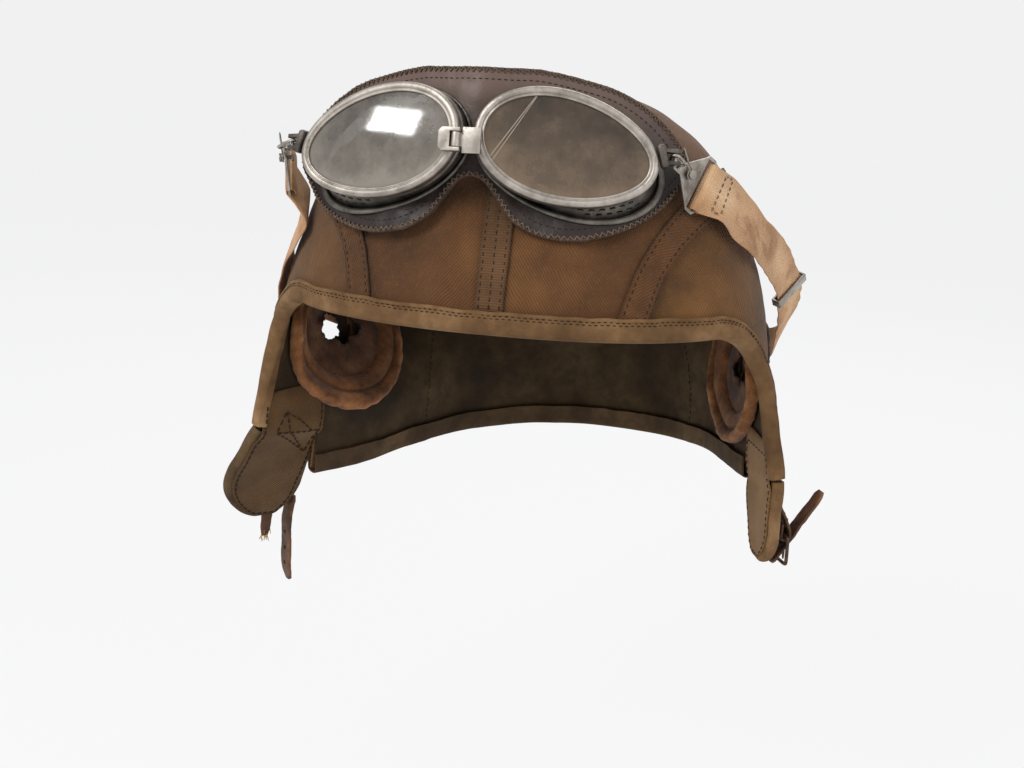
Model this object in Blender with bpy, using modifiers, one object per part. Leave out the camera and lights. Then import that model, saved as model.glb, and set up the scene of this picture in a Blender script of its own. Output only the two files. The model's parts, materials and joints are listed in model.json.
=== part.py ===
"""Cloth flying helmet with a pair of hinged-bridge goggles on its brow.

Metres, +Z up. The origin is the top of the crown, the wearer would look along -Y,
and left and right are named as they are seen from the front, so right is +X.
The cloth of the helmet is laid out on a pattern: u runs from the middle of the brow (0)
round the head to the middle of the nape (1, or -1 on the left), and h runs down from the
top of the crown (0) through the brow (1) and the flap seam (2) to the hem (3).
"""
import math

import bmesh
import bpy
from mathutils import Matrix, Vector

# Clearances and fine steps
GAP = 0.0003
STEP_SHARE = 0.001
MERGE = 0.00001

# Hood: dome, brow and skirt
BROW_DEPTH = 0.093
DOME_SPRING = 0.007
DOME_HEIGHT = BROW_DEPTH + DOME_SPRING
DOME_HALF_WIDTH = 0.104
DOME_FRONT = 0.115
DOME_BACK = 0.083
WIDEST_FORWARD = 0.034
DOME_SIDE_POWER = 2.5
DOME_END_POWER = 2.7
PLAN_FRONT_POWER = 2.3
PLAN_BACK_POWER = 2.0
FLARE_START = 0.066
FLARE_SLOPE = 0.20
BACK_FLARE_SHARE = 0.2
FLAP_SEAM_DEPTH = 0.1625
HEM_DEPTH_LEFT = 0.187
HEM_DEPTH_NAPE = 0.184
HEM_DEPTH_RIGHT = 0.168
SKIRT_HALF_WIDTH_LEFT = 0.1215
SKIRT_HALF_WIDTH_RIGHT = 0.1240
SKIRT_FRONT = 0.058
SKIRT_BACK = 0.088
SKIRT_SLOPE = 0.14
SKIRT_LEFT_SHARES = ((1.0, 0.0), (0.82, 0.145), (0.67, 0.32), (0.55, 0.55), (0.36, 0.82), (0.0, 1.0))
SKIRT_RIGHT_SHARES = ((1.0, 0.0), (0.905, 0.18), (0.80, 0.42), (0.68, 0.69), (0.42, 0.91), (0.0, 1.0))
CORNER_SHARE = 0.30
FRONT_EDGE_SHARE = 0.437
CORNER_DROP_SHARE = 0.50
FLAP_BACK_SHARE = 0.555
NAPE_SHARE = 0.80
FRONT_SEAM_SHARE = 0.155
SEAM_STEPS = 17
PANEL_STEPS = 4
UPPER_STEPS = 5
LOWER_ROW_SHARES = (1.0, 1.07, 1.17, 1.32, 1.52, 1.76, 2.0)
BACK_STEPS = 5
HEM_ROW_SHARES = (2.0, 2.5, 3.0)

# Cloth layers
CLOTH = 0.0014
LINING = 0.0008
LINING_SPACE = 0.0010
TAPE = 0.0008
TAPE_WIDTH = 0.012
BINDING_HEIGHT = 0.0072
HEM_BINDING_HEIGHT = 0.0080
BINDING = 0.0009
BINDING_OUTER_SPACE = 0.0008
BINDING_INNER_SPACE = 0.0014

# Crown seam: across and along shares of the pattern disc
CROWN_SEAM_SHARES = ((0.4680, -0.8837), (0.52, -0.60), (0.60, -0.25), (0.62, 0.10), (0.60, 0.45), (0.5878, 0.8090))

# Ear rings on the inner wall
EAR_RADIUS = 0.036
EAR_RING_WIDTH = 0.0145
EAR_RING_HEIGHT = 0.0065
EAR_HOLE_RADIUS = 0.0125
EAR_PATCH_RADIUS = 0.021
EAR_PATCH = 0.0012
EAR_PAD = 0.0012
EAR_SPACE = 0.0007
EAR_BACK_SHARE = 0.596
EAR_DOWN_SHARE = 1.41
EAR_TEAR_SHARES = (1.0, 0.86, 1.12, 0.94, 1.05, 0.80, 0.96, 1.16, 0.90, 1.08, 0.84, 1.02)

# Flaps
LEFT_FLAP_LENGTH = 0.056
RIGHT_FLAP_LENGTH = 0.040
FLAP_CLOTH = 0.0018
FLAP_SPACE = 0.0008
FLAP_INSET = 0.0026
LEFT_FLAP_FRONT_SHARES = (1.0, 1.22, 1.42, 1.56, 1.60, 1.50, 1.25, 0.95, 0.66, 0.38)
LEFT_FLAP_BACK_SHARES = (1.0, 1.02, 1.03, 1.00, 0.95, 0.87, 0.73, 0.56, 0.42, 0.26)
RIGHT_FLAP_FRONT_SHARES = (1.0, 1.02, 1.02, 1.00, 0.96, 0.88, 0.75, 0.60, 0.46, 0.34)
RIGHT_FLAP_BACK_SHARES = (1.0, 1.0, 0.98, 0.95, 0.91, 0.84, 0.72, 0.57, 0.44, 0.32)
FLAP_ROW_SHARES = (0.0, 0.13, 0.30, 0.46, 0.60, 0.73, 0.84, 0.92, 0.97, 1.0)
LEFT_FLAP_TILT = 25.0
RIGHT_FLAP_TILT = 1.0
FLAP_BINDING_HEIGHT = 0.0048

# Chin strap and frayed stub on the left flap
CHIN_STRAP_LENGTH = 0.042
CHIN_STRAP_WIDTH = 0.0095
CHIN_STRAP = 0.0018
CHIN_STRAP_BOW = 0.0022
CHIN_STRAP_ROW = 6
CHIN_STRAP_WIDTH_SHARES = (1.0, 1.0, 1.0, 1.0, 1.0, 1.0, 1.0, 0.86, 0.42)
STUB_LENGTH = 0.013
STUB_WIDTH = 0.0060
STUB = 0.0014
STUB_PLACE_SHARE = 0.15
STUB_WIDTH_SHARES = (1.0, 1.0, 0.85, 0.55)

# Buckle on the right flap
TAB_LENGTH = 0.024
TAB_WIDTH = 0.0110
TAB = 0.0018
TAB_START_SHARE = 0.12
TAB_SIDE_SHARE = -0.08
TAB_RISE = 0.0030
TAB_RETURN = 0.0060
BUCKLE_WIRE = 0.0009
BUCKLE_WIDTH = 0.0160
BUCKLE_LENGTH = 0.0130
PRONG_WIRE = 0.0007
STRAP_END_LENGTH = 0.040
STRAP_END_WIDTH = 0.0085
STRAP_END_TILT = 35.0
STRAP_END_PLACE_SHARE = 0.54
STRAP_END_RUN_SHARES = (-0.20, -0.17, -0.10, 0.0, 0.20, 0.50, 0.74, 0.80)
STRAP_END_WIDTH_SHARES = (0.45, 0.85, 1.0, 1.0, 1.0, 0.95, 0.8, 0.4)

# Goggles frame on the brow, and the hinge line that it swings down round
GOGGLES_FORWARD = 0.1185
GOGGLES_DEPTH = 0.0174
GOGGLES_SIDE = -0.0130
GOGGLES_TILT = 13.4
GOGGLES_ROLL = -1.8
GOGGLES_YAW = -1.6
SWING_BACK = 0.060
SWING_DEPTH = 0.140
LENS_WRAP = 15.3
LENS_DROOP = 10.2
NOSE_SPACE = 0.0059
RIM_HALF_LENGTH = 0.0379
RIM_HALF_HEIGHT = 0.0231
RIM_TAPER_SHARE = 0.10
RIM_FRONT = 0.0012
RIM_WALL = 0.0013
RIM_LIP = 0.0024
RIM_LIP_THICK = 0.0011
RIM_DEPTH = 0.0062
LENS = 0.0022
CUP_WALL = 0.0009
CUP_FLARE = 0.0012
CUP_LEAST = 0.0052
CUP_SINK_SHARE = 0.6
RING_WIDTH = 0.0030
RING_NOSE_WIDTH = 0.0013
RING_THICK = 0.0014
OUTLINE_STEPS = 36

# Cup vents
VENT_LENGTH = 0.0026
VENT_HEIGHT = 0.0011
VENT_ROW_SHARES = (0.20, 0.50)
VENT_STAGGER_SHARE = 0.04
VENT_ARC_SHARES = (0.800, 0.820, 0.840, 0.860, 0.880, 0.900)

# Mask: outline shares of its half length and height, from the top of the nose round the temple to the nose notch
MASK = 0.0020
MASK_NOSE_DEPTH = 0.0079
MASK_NOSE_BEND = 0.0045
MASK_WRAP = 24.3
MASK_CLEAR = 0.0042
MASK_BLEND = 0.0040
MASK_LENGTH = 0.086
MASK_HEIGHT = 0.036
MASK_OUTLINE_SHARES = ((0.0, 0.89), (0.14, 0.90), (0.29, 0.92), (0.465, 0.87), (0.64, 0.78), (0.77, 0.625),
                       (0.885, 0.40), (0.965, 0.14), (0.99, -0.11), (0.94, -0.36), (0.84, -0.67), (0.675, -0.90),
                       (0.51, -1.0), (0.35, -0.97), (0.22, -0.83), (0.12, -0.64), (0.045, -0.43), (0.0, -0.33))

# Bridge hinge
BRIDGE_HEIGHT = 0.0104
BRIDGE_REACH = 0.0068
BRIDGE_PLATE = 0.0012
BARREL_RADIUS = 0.0019
BARREL_SIDE = 0.0032
BARREL_HEIGHT = 0.0058
BRIDGE_PIN_RADIUS = 0.0008
YOKE_EAR = 0.0015
YOKE_REACH = 0.0068

# Temple fittings
CLAMP_TURN = 16.0
CLAMP_HEIGHT = 0.0100
CLAMP_OUT = 0.0034
CLAMP_DEPTH = 0.0060
CLAMP_ROUND = 0.0014
LUG_OUT = 0.0050
LUG_BACK = 0.0022
LUG_RADIUS = 0.0021
LUG_EAR = 0.0015
LUG_OPENING = 0.0034
LUG_PIN_RADIUS = 0.0008
LINK_WIRE = 0.0007
LINK_NARROW = 0.0019
LINK_WIDE = 0.0034
LINK_CORNER = 0.0012
HOOK_SIDE = 0.0821
HOOK_BACK = 0.0290
HOOK_DROP = 0.0019
HOOK_ROLL = 8.1
HOOK_PITCH = 22.7
HOOK_YAW_RIGHT = 55.3
HOOK_YAW_LEFT = 80.0
HOOK_LEFT_OUT = 0.0050
HOOK_LENGTH = 0.0196
HOOK_CLEAR = 0.0035
HOOK_PLATE = 0.0010
HOOK_TIP = 0.0027
HOOK_TIP_HALF = 0.0027
HOOK_HOLE_RADIUS = 0.0015
SLIDE_HALF = 0.0128
SLIDE_BAR = 0.0015
SLIDE_SLOT = 0.0040
SLIDE_SHOULDER_SHARE = 0.86
RIVET_PLACE_SHARE = 0.52
KEEPER_LENGTH = 0.0100
KEEPER_WIRE = 0.0005
KEEPER_RUN_SHARES = (0.8, 0.5)
RIVET_RADIUS = 0.0010
RIVET_HEAD_RADIUS = 0.0019
RIVET_HEAD = 0.0008

# Elastic strap: its upper and lower edges on the right, from the slide to the side of the head
STRAP = 0.0012
STRAP_WIDTH = 0.0215
STRAP_LIFT = 0.0030
STRAP_FOLD = 0.0050
STRAP_UPPER_SHARES = ((0.890, -0.522, -0.312), (0.960, -0.435, -0.403), (1.031, -0.348, -0.501),
                      (1.108, -0.200, -0.607), (1.177, -0.026, -0.765), (1.202, 0.104, -0.880),
                      (1.176, 0.261, -1.010), (1.087, 0.435, -1.150))
STRAP_LOWER_SHARES = ((0.858, -0.713, -0.464), (0.918, -0.648, -0.548), (0.988, -0.557, -0.625),
                      (1.038, -0.396, -0.715), (1.096, -0.174, -0.860), (1.106, -0.026, -0.990),
                      (1.106, 0.157, -1.160), (1.038, 0.365, -1.330))
STRAP_LEFT_SHARES = ((0.36, 0.80), (0.42, 0.92), (0.48, 1.04), (0.54, 1.14), (0.60, 1.24), (0.67, 1.36))
STRAP_BACK_SHARES = ((0.74, 1.46), (0.82, 1.46), (0.91, 1.46), (1.0, 1.46))
STRAP_SPLIT = 3
STRAP_STEPS = 3
ADJUSTER_ROW = 4
ADJUSTER_LENGTH = 0.0060
ADJUSTER_WALL = 0.0009


def smooth_step(share):
    """Ease from 0 to 1."""
    share = min(1.0, max(0.0, share))
    return share * share * (3.0 - 2.0 * share)


def spline(points, share):
    """Point at a share of the way along a smooth curve through points of any dimension."""
    points = [Vector(p) for p in points]
    last = len(points) - 1
    place = share * last
    index = min(last - 1, max(0, int(math.floor(place))))
    part = place - index
    before = points[index - 1] if index > 0 else 2.0 * points[0] - points[1]
    after = points[index + 2] if index + 2 <= last else 2.0 * points[last] - points[last - 1]
    start, end = points[index], points[index + 1]
    if part < 0.0:
        return start + (end - start) * part
    return 0.5 * (2.0 * start + (end - before) * part
                  + (2.0 * before - 5.0 * start + 4.0 * end - after) * part ** 2
                  + (3.0 * start - before - 3.0 * end + after) * part ** 3)


def skirt_plan(side, share):
    """Plan of one side of the skirt at a share of the way from its front edge to the nape."""
    near, far = (SKIRT_LEFT_SHARES, SKIRT_RIGHT_SHARES) if side < 0.0 else (SKIRT_RIGHT_SHARES, SKIRT_LEFT_SHARES)
    count = len(near) - 1
    return spline(near + ((-far[-2][0], far[-2][1]),), share * count / (count + 1))


def hood(u, h):
    """Point on the outer face of the cloth at pattern place u, h."""
    if u > 1.0:
        u -= 2.0
    if u < -1.0:
        u += 2.0
    side = -1.0 if u < 0.0 else 1.0
    u = abs(u)
    turn = math.pi * u
    power = DOME_SIDE_POWER + (DOME_END_POWER - DOME_SIDE_POWER) * math.cos(turn) ** 2
    brow_rise = 1.0 - BROW_DEPTH / DOME_HEIGHT
    if h <= 1.0:
        fall = h * math.acos(brow_rise ** (power / 2.0))
        depth = DOME_HEIGHT * (1.0 - math.cos(fall) ** (2.0 / power))
    elif h <= 2.0:
        depth = BROW_DEPTH + (FLAP_SEAM_DEPTH - BROW_DEPTH) * (h - 1.0)
    else:
        flap_hem = HEM_DEPTH_LEFT if side < 0.0 else HEM_DEPTH_RIGHT
        hem = HEM_DEPTH_NAPE + (flap_hem - HEM_DEPTH_NAPE) * (1.0 - u) / (1.0 - FLAP_BACK_SHARE)
        depth = FLAP_SEAM_DEPTH + (hem - FLAP_SEAM_DEPTH) * (h - 2.0)
    rise = max(0.0, 1.0 - depth / DOME_HEIGHT)
    reach = (1.0 - rise ** power) ** (1.0 / power)
    flare = FLARE_SLOPE * max(0.0, depth - FLARE_START) ** 2 / (abs(depth - FLARE_START) + GAP)
    in_front = turn < math.pi / 2.0
    plan_power = 2.0 / (PLAN_FRONT_POWER if in_front else PLAN_BACK_POWER)
    across = abs(math.sin(turn)) ** plan_power
    along = abs(math.cos(turn)) ** plan_power
    x = (DOME_HALF_WIDTH * reach + flare) * across
    if in_front:
        y = -WIDEST_FORWARD * reach - ((DOME_FRONT - WIDEST_FORWARD) * reach + flare) * along
    else:
        y = -WIDEST_FORWARD * reach + ((DOME_BACK + WIDEST_FORWARD) * reach + flare * BACK_FLARE_SHARE) * along
    if depth > BROW_DEPTH:
        blend = smooth_step((depth - BROW_DEPTH) / (FLAP_SEAM_DEPTH - BROW_DEPTH))
        plan = skirt_plan(side, (u - FRONT_EDGE_SHARE) / (1.0 - FRONT_EDGE_SHARE))
        at_seam = SKIRT_HALF_WIDTH_LEFT if side < 0.0 else SKIRT_HALF_WIDTH_RIGHT
        half_width = at_seam + SKIRT_SLOPE * (depth - FLAP_SEAM_DEPTH)
        x += blend * (half_width * plan[0] - x)
        y += blend * (-SKIRT_FRONT + (SKIRT_FRONT + SKIRT_BACK) * plan[1] - y)
    return Vector((side * x, y, -depth))


def hood_normal(u, h):
    """Outward normal of the cloth."""
    round_step = hood(u + STEP_SHARE, h) - hood(u - STEP_SHARE, h)
    down_step = hood(u, h + STEP_SHARE) - hood(u, h - STEP_SHARE)
    return down_step.cross(round_step).normalized()


def cloth(u, h, lift=0.0):
    """Point that lies lift outside the outer face of the cloth."""
    return hood(u, h) + hood_normal(u, h) * lift


def disc(across, along):
    """Pattern place u, h of a point of the crown, as if the dome were laid out flat."""
    h = math.hypot(across, along)
    return math.atan2(across, -along) / math.pi, h


def material(name, colour, roughness, metallic=0.0, alpha=1.0):
    """Principled material in a linear colour."""
    found = bpy.data.materials.get(name)
    if found:
        return found
    made = bpy.data.materials.new(name)
    made.use_nodes = True
    shader = made.node_tree.nodes["Principled BSDF"]
    shader.inputs["Base Color"].default_value = (*colour, 1.0)
    shader.inputs["Roughness"].default_value = roughness
    shader.inputs["Metallic"].default_value = metallic
    shader.inputs["Alpha"].default_value = alpha
    return made


def twill():
    return material("Cotton twill", (0.16, 0.085, 0.03), 0.9)


def dark_twill():
    return material("Lining cloth", (0.035, 0.026, 0.013), 0.9)


def tape_cloth():
    return material("Cotton tape", (0.19, 0.11, 0.05), 0.85)


def chamois():
    return material("Chamois leather", (0.25, 0.11, 0.035), 0.85)


def brown_leather():
    return material("Brown leather", (0.06, 0.025, 0.012), 0.6)


def mask_leather():
    return material("Mask leather", (0.035, 0.018, 0.014), 0.5)


def dull_metal():
    return material("Worn nickel plate", (0.45, 0.44, 0.41), 0.4, 1.0)


def dark_metal():
    return material("Darkened steel", (0.06, 0.055, 0.05), 0.55, 1.0)


def brass():
    return material("Brass", (0.55, 0.38, 0.12), 0.4, 1.0)


def glass():
    return material("Lens glass", (0.45, 0.42, 0.36), 0.1, 0.0, 0.5)


def webbing():
    return material("Elastic webbing", (0.62, 0.36, 0.19), 0.8)


def add_object(name, mesh, finish, parent=None, smooth=40.0):
    """Link a mesh as one named node."""
    obj = bpy.data.objects.new(name, mesh)
    parts.objects.link(obj)
    mesh.materials.clear()
    mesh.materials.append(finish)
    obj.parent = parent
    mesh.shade_smooth()
    mesh.set_sharp_from_angle(angle=math.radians(smooth))
    return obj


def add_empty(name, parent=None, location=(0.0, 0.0, 0.0), rotation=(0.0, 0.0, 0.0)):
    """Frame that pieces are placed by; rotation is in degrees."""
    empty = bpy.data.objects.new(name, None)
    parts.objects.link(empty)
    empty.empty_display_size = BINDING_HEIGHT
    empty.parent = parent
    empty.location = location
    empty.rotation_euler = [math.radians(a) for a in rotation]
    bpy.context.view_layer.update()
    return empty


def grid_mesh(name, blocks, outward_from):
    """Open sheet from grids of points, welded where they meet, facing away from a point."""
    bm = bmesh.new()
    for rows in blocks:
        made = [[bm.verts.new(p) for p in row] for row in rows]
        for upper, lower in zip(made, made[1:]):
            for i in range(len(upper) - 1):
                bm.faces.new((upper[i], upper[i + 1], lower[i + 1], lower[i]))
    bmesh.ops.remove_doubles(bm, verts=bm.verts, dist=MERGE)
    bmesh.ops.recalc_face_normals(bm, faces=bm.faces)
    core = Vector(outward_from)
    facing = sum(f.normal.dot((f.calc_center_median() - core).normalized()) * f.calc_area() for f in bm.faces)
    if facing < 0.0:
        bmesh.ops.reverse_faces(bm, faces=bm.faces)
    mesh = bpy.data.meshes.new(name)
    bm.to_mesh(mesh)
    bm.free()
    return mesh


def sheet(name, blocks, thickness, finish, outward_from, parent=None, offset=-1.0):
    """Sheet of even thickness: an open surface with Solidify."""
    obj = add_object(name, grid_mesh(name, blocks, outward_from), finish, parent)
    wall = obj.modifiers.new("Thickness", "SOLIDIFY")
    wall.thickness = thickness
    wall.offset = offset
    return obj


def swept_mesh(name, sections, closed):
    """Solid from a row of like closed sections, joined end to end when closed."""
    bm = bmesh.new()
    loops = [[bm.verts.new(p) for p in section] for section in sections]
    count = len(loops[0])
    pairs = list(zip(loops, loops[1:] + loops[:1])) if closed else list(zip(loops, loops[1:]))
    for first, second in pairs:
        for i in range(count):
            j = (i + 1) % count
            bm.faces.new((first[i], first[j], second[j], second[i]))
    if not closed:
        bm.faces.new(loops[0])
        bm.faces.new(loops[-1])
    bmesh.ops.recalc_face_normals(bm, faces=bm.faces)
    mesh = bpy.data.meshes.new(name)
    bm.to_mesh(mesh)
    bm.free()
    return mesh


def cut(obj, cutter, operation="DIFFERENCE"):
    """Boolean with an exact solver."""
    boolean = obj.modifiers.new(cutter.name, "BOOLEAN")
    boolean.object = cutter
    boolean.operation = operation
    boolean.solver = "EXACT"


def cutter_object(name, mesh, parent=None):
    """Hidden tool for a Boolean."""
    obj = bpy.data.objects.new(name, mesh)
    cutters.objects.link(obj)
    obj.parent = parent
    obj.hide_render = True
    obj.display_type = "WIRE"
    return obj


def cylinder_mesh(name, radius, height, matrix, segments=16):
    """Cylinder centred on a matrix, along its Z."""
    bm = bmesh.new()
    bmesh.ops.create_cone(bm, cap_ends=True, segments=segments, radius1=radius, radius2=radius, depth=height,
                          matrix=matrix)
    mesh = bpy.data.meshes.new(name)
    bm.to_mesh(mesh)
    bm.free()
    return mesh


def wire(name, points, radius, finish, parent=None, closed=False, sides=1):
    """Round wire along points."""
    data = bpy.data.curves.new(name, "CURVE")
    data.dimensions = "3D"
    data.bevel_depth = radius
    data.bevel_resolution = sides
    data.use_fill_caps = not closed
    path = data.splines.new("POLY")
    path.points.add(len(points) - 1)
    for point, place in zip(path.points, points):
        point.co = (*place, 1.0)
    path.use_cyclic_u = closed
    data.materials.append(finish)
    obj = bpy.data.objects.new(name, data)
    parts.objects.link(obj)
    obj.parent = parent
    return obj


def steps(start, end, count):
    """Evenly spaced values with both ends."""
    return [start + (end - start) * i / count for i in range(count + 1)]


# Helmet cloth

def crown_seam(share):
    """Seam between the crown and a side panel, as a place on the flat crown."""
    return spline(CROWN_SEAM_SHARES, share)


def front_edge(h):
    """Pattern place u of the front edge of the side panel, rounded where it leaves the brow."""
    part = min(1.0, (h - 1.0) / CORNER_DROP_SHARE)
    return FRONT_EDGE_SHARE - (FRONT_EDGE_SHARE - CORNER_SHARE) * (1.0 - math.sqrt(1.0 - (1.0 - part) ** 2))


def crown_grid(side, gap, lift):
    """Points of one crown half from brow to nape, a little inside its outline."""
    rows = []
    for share in steps(0.0, 1.0, SEAM_STEPS):
        across, along = crown_seam(share)
        middle = -1.0 + 2.0 * share
        row = []
        for part in steps(0.0, 1.0, PANEL_STEPS):
            u, h = disc(gap + (across - 2.0 * gap) * part, middle + (along - middle) * part)
            even = abs(middle) + (math.hypot(across, along) - abs(middle)) * part
            row.append(cloth(side * u, h + (even - h) * middle ** 4, lift))
        rows.append(row)
    return rows


def side_grids(side, gap, lift):
    """Points of one side: from the crown seam to the brow line, from there to the flap seam, and the hem."""
    back = steps(FLAP_BACK_SHARE, NAPE_SHARE - gap, BACK_STEPS)
    columns = steps(FRONT_SEAM_SHARE + gap, CORNER_SHARE, 5) + steps(CORNER_SHARE, FLAP_BACK_SHARE, 7)[1:] + back[1:]
    upper = [[] for _ in range(UPPER_STEPS + 1)]
    for i, column in enumerate(columns):
        across, along = crown_seam(i / SEAM_STEPS)
        seam_u, seam_h = disc(across + gap, along)
        seam_h = min(1.0, seam_h)
        for part, row in zip(steps(0.0, 1.0, UPPER_STEPS), upper):
            row.append(cloth(side * (seam_u + (column - seam_u) * part), seam_h + (1.0 - seam_h) * part, lift))
    lower = []
    for h in LOWER_ROW_SHARES:
        front = steps(front_edge(h), FLAP_BACK_SHARE, 7)
        lower.append([cloth(side * u, h, lift) for u in front + back[1:]])
    hem = [[cloth(side * u, h, lift) for u in back] for h in HEM_ROW_SHARES]
    return [upper, lower, hem]


def curtain_columns(gap):
    """Pattern places u of the columns of the neck curtain, from its right seam round the nape to its left."""
    right = [disc((math.sin(math.pi * NAPE_SHARE) - gap) * part, 1.0 + (-math.cos(math.pi * NAPE_SHARE) - 1.0) * part)[0]
             for part in steps(1.0, 0.0, PANEL_STEPS)]
    return right + [2.0 - u for u in reversed(right[:-1])]


def curtain_grid(gap, lift):
    """Points of the neck curtain from the brow line to the hem."""
    rows = [LOWER_ROW_SHARES[0] + gap] + list(LOWER_ROW_SHARES[1:]) + list(HEM_ROW_SHARES[1:])
    return [[cloth(u, h, lift) for u in curtain_columns(gap)] for h in rows]


def build_panels():
    """Crown halves, side panels with their ear holes, and the neck curtain, a hair apart at the seams."""
    gap = GAP / DOME_HALF_WIDTH
    core = (0.0, 0.0, -BROW_DEPTH)
    for side, label in ((-1.0, "left"), (1.0, "right")):
        sheet(f"crown_panel_{label}", [crown_grid(side, gap, 0.0)], CLOTH, twill(), core)
        panel = sheet(f"side_panel_{label}", side_grids(side, gap, 0.0), CLOTH, twill(), core)
        cut(panel, ear_cutter(side, label, "panel"))
    sheet("neck_curtain", [curtain_grid(2.0 * gap, 0.0)], CLOTH, twill(), core)


def build_lining():
    """One soft lining under all the panels, open at the ears."""
    lift = -(CLOTH + LINING_SPACE)
    blocks = [crown_grid(-1.0, 0.0, lift), crown_grid(1.0, 0.0, lift), curtain_grid(0.0, lift)]
    blocks += side_grids(-1.0, 0.0, lift) + side_grids(1.0, 0.0, lift)
    lining = sheet("lining", blocks, LINING, dark_twill(), (0.0, 0.0, -BROW_DEPTH))
    cut(lining, ear_cutter(-1.0, "left", "lining"))
    cut(lining, ear_cutter(1.0, "right", "lining"))


def pattern_shift(u, h, move):
    """Pattern place reached from u, h by a move in metres along the cloth."""
    du = (hood(u + STEP_SHARE, h) - hood(u, h)) / STEP_SHARE
    dh = (hood(u, h + STEP_SHARE) - hood(u, h)) / STEP_SHARE
    uu, hh, uh = du.dot(du), dh.dot(dh), du.dot(dh)
    if move.length == 0.0:
        return u, h
    a, b = move.dot(du), move.dot(dh)
    scale = uu * hh - uh * uh
    step_u, step_h = (a * hh - b * uh) / scale, (b * uu - a * uh) / scale
    short, long = 0.0, 3.0
    for _ in range(24):
        middle = (short + long) / 2.0
        if (hood(u + step_u * middle, h + step_h * middle) - hood(u, h)).length < move.length:
            short = middle
        else:
            long = middle
    return u + step_u * long, h + step_h * long


def edge_binding(name, path, height, finish):
    """Strip folded round an edge of cloth and lining along pattern places, standing height up each face."""
    layers = CLOTH + LINING_SPACE + LINING
    outer, inner = BINDING_OUTER_SPACE, layers + BINDING_INNER_SPACE
    places = [hood(u, h) for u, h in path]
    sections = []
    for i, (u, h) in enumerate(path):
        tangent = (places[min(i + 1, len(path) - 1)] - places[max(i - 1, 0)]).normalized()
        normal = hood_normal(u, h)
        inward = normal.cross(tangent)
        deep = pattern_shift(u, h, inward * height)
        edge, top, top_normal = places[i], hood(*deep), hood_normal(*deep)
        fold, skin = GAP + GAP, BINDING
        sections.append([top + top_normal * (outer + skin), edge - inward * (fold + skin) + normal * (outer + skin),
                         edge - inward * (fold + skin) - normal * (inner + skin), top - top_normal * (inner + skin),
                         top - top_normal * inner, edge - inward * fold - normal * inner,
                         edge - inward * fold + normal * outer, top + top_normal * outer])
    return add_object(name, swept_mesh(name, sections, False), finish)


def build_trims():
    """Bindings of the brow and the hem, and the tapes over the seams of the crown."""
    seam_clear = 4.0 * GAP / (FLAP_SEAM_DEPTH - BROW_DEPTH)
    left = [(-front_edge(h), h) for h in (LOWER_ROW_SHARES[-1] - seam_clear,) + LOWER_ROW_SHARES[-2:0:-1]]
    brow = [-u for u in reversed(steps(FRONT_SEAM_SHARE, CORNER_SHARE, 5))]
    across, along = crown_seam(0.0)
    crown = [disc(across * part, -1.0 + (along + 1.0) * part)[0] for part in steps(0.0, 1.0, PANEL_STEPS)]
    brow += [-u for u in reversed(crown[:-1])]
    path = left + [(u, 1.0) for u in brow] + [(-u, 1.0) for u in reversed(brow[:-1])]
    path += [(-u, h) for u, h in reversed(left)]
    edge_binding("brow_binding", path, BINDING_HEIGHT, twill())
    back = steps(FLAP_BACK_SHARE, NAPE_SHARE, BACK_STEPS)
    hem = back[:-1] + curtain_columns(0.0) + [2.0 - u for u in reversed(back[:-1])]
    edge_binding("neck_binding", [(u, 3.0) for u in hem], HEM_BINDING_HEIGHT, twill())
    half = TAPE_WIDTH / 2.0
    clear = BINDING_HEIGHT + 4.0 * GAP
    seam = [hood(*disc(*crown_seam(share))) for share in steps(0.0, 1.0, SEAM_STEPS)]
    seam_clear = clear / sum((b - a).length for a, b in zip(seam, seam[1:]))
    brow_clear = 1.0 - pattern_shift(0.0, 1.0, Vector((0.0, 0.0, clear)))[1]
    middle = [-1.0 + 2.0 * share for share in steps(0.0, 1.0, SEAM_STEPS)]
    middle = [-1.0 + brow_clear] + middle[1:-1] + [1.0 - brow_clear / 4.0]
    rows = []
    for along in middle:
        u, h = disc(0.0, along)
        across = Vector((half, 0.0, 0.0))
        rows.append([cloth(*pattern_shift(u, h, across * share), 2.0 * GAP) for share in (-1.0, 0.0, 1.0)])
    sheet("centre_tape", [rows], TAPE, tape_cloth(), (0.0, 0.0, -BROW_DEPTH), offset=1.0)
    for side, label in ((-1.0, "left"), (1.0, "right")):
        rows = []
        shares = [seam_clear] + steps(0.0, 1.0, SEAM_STEPS)[1:-1] + [1.0 - seam_clear / 4.0]
        for share in shares:
            places = [disc(*crown_seam(min(1.0, max(0.0, share + step)))) for step in (0.0, -STEP_SHARE, STEP_SHARE)]
            u, h = side * places[0][0], places[0][1]
            tangent = (hood(side * places[2][0], places[2][1]) - hood(side * places[1][0], places[1][1])).normalized()
            across = hood_normal(u, h).cross(tangent) * half
            rows.append([cloth(*pattern_shift(u, h, across * part), 2.0 * GAP) for part in (-1.0, 0.0, 1.0)])
        sheet(f"seam_tape_{label}", [rows], TAPE, twill(), (0.0, 0.0, -BROW_DEPTH), offset=1.0)


def ear_centre(side):
    """Pattern place of the ear."""
    return side * EAR_BACK_SHARE, EAR_DOWN_SHARE


def ear_axes(side):
    """Middle of the ear on the outer cloth, with its outward, backward and upward axes."""
    u, h = ear_centre(side)
    middle = hood(u, h)
    outward = hood_normal(u, h)
    upward = Vector((0.0, 0.0, 1.0))
    backward = upward.cross(outward) * (-side)
    backward = (backward - outward * backward.dot(outward)).normalized()
    upward = (upward - outward * upward.dot(outward)).normalized()
    return middle, outward, backward, upward


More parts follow.
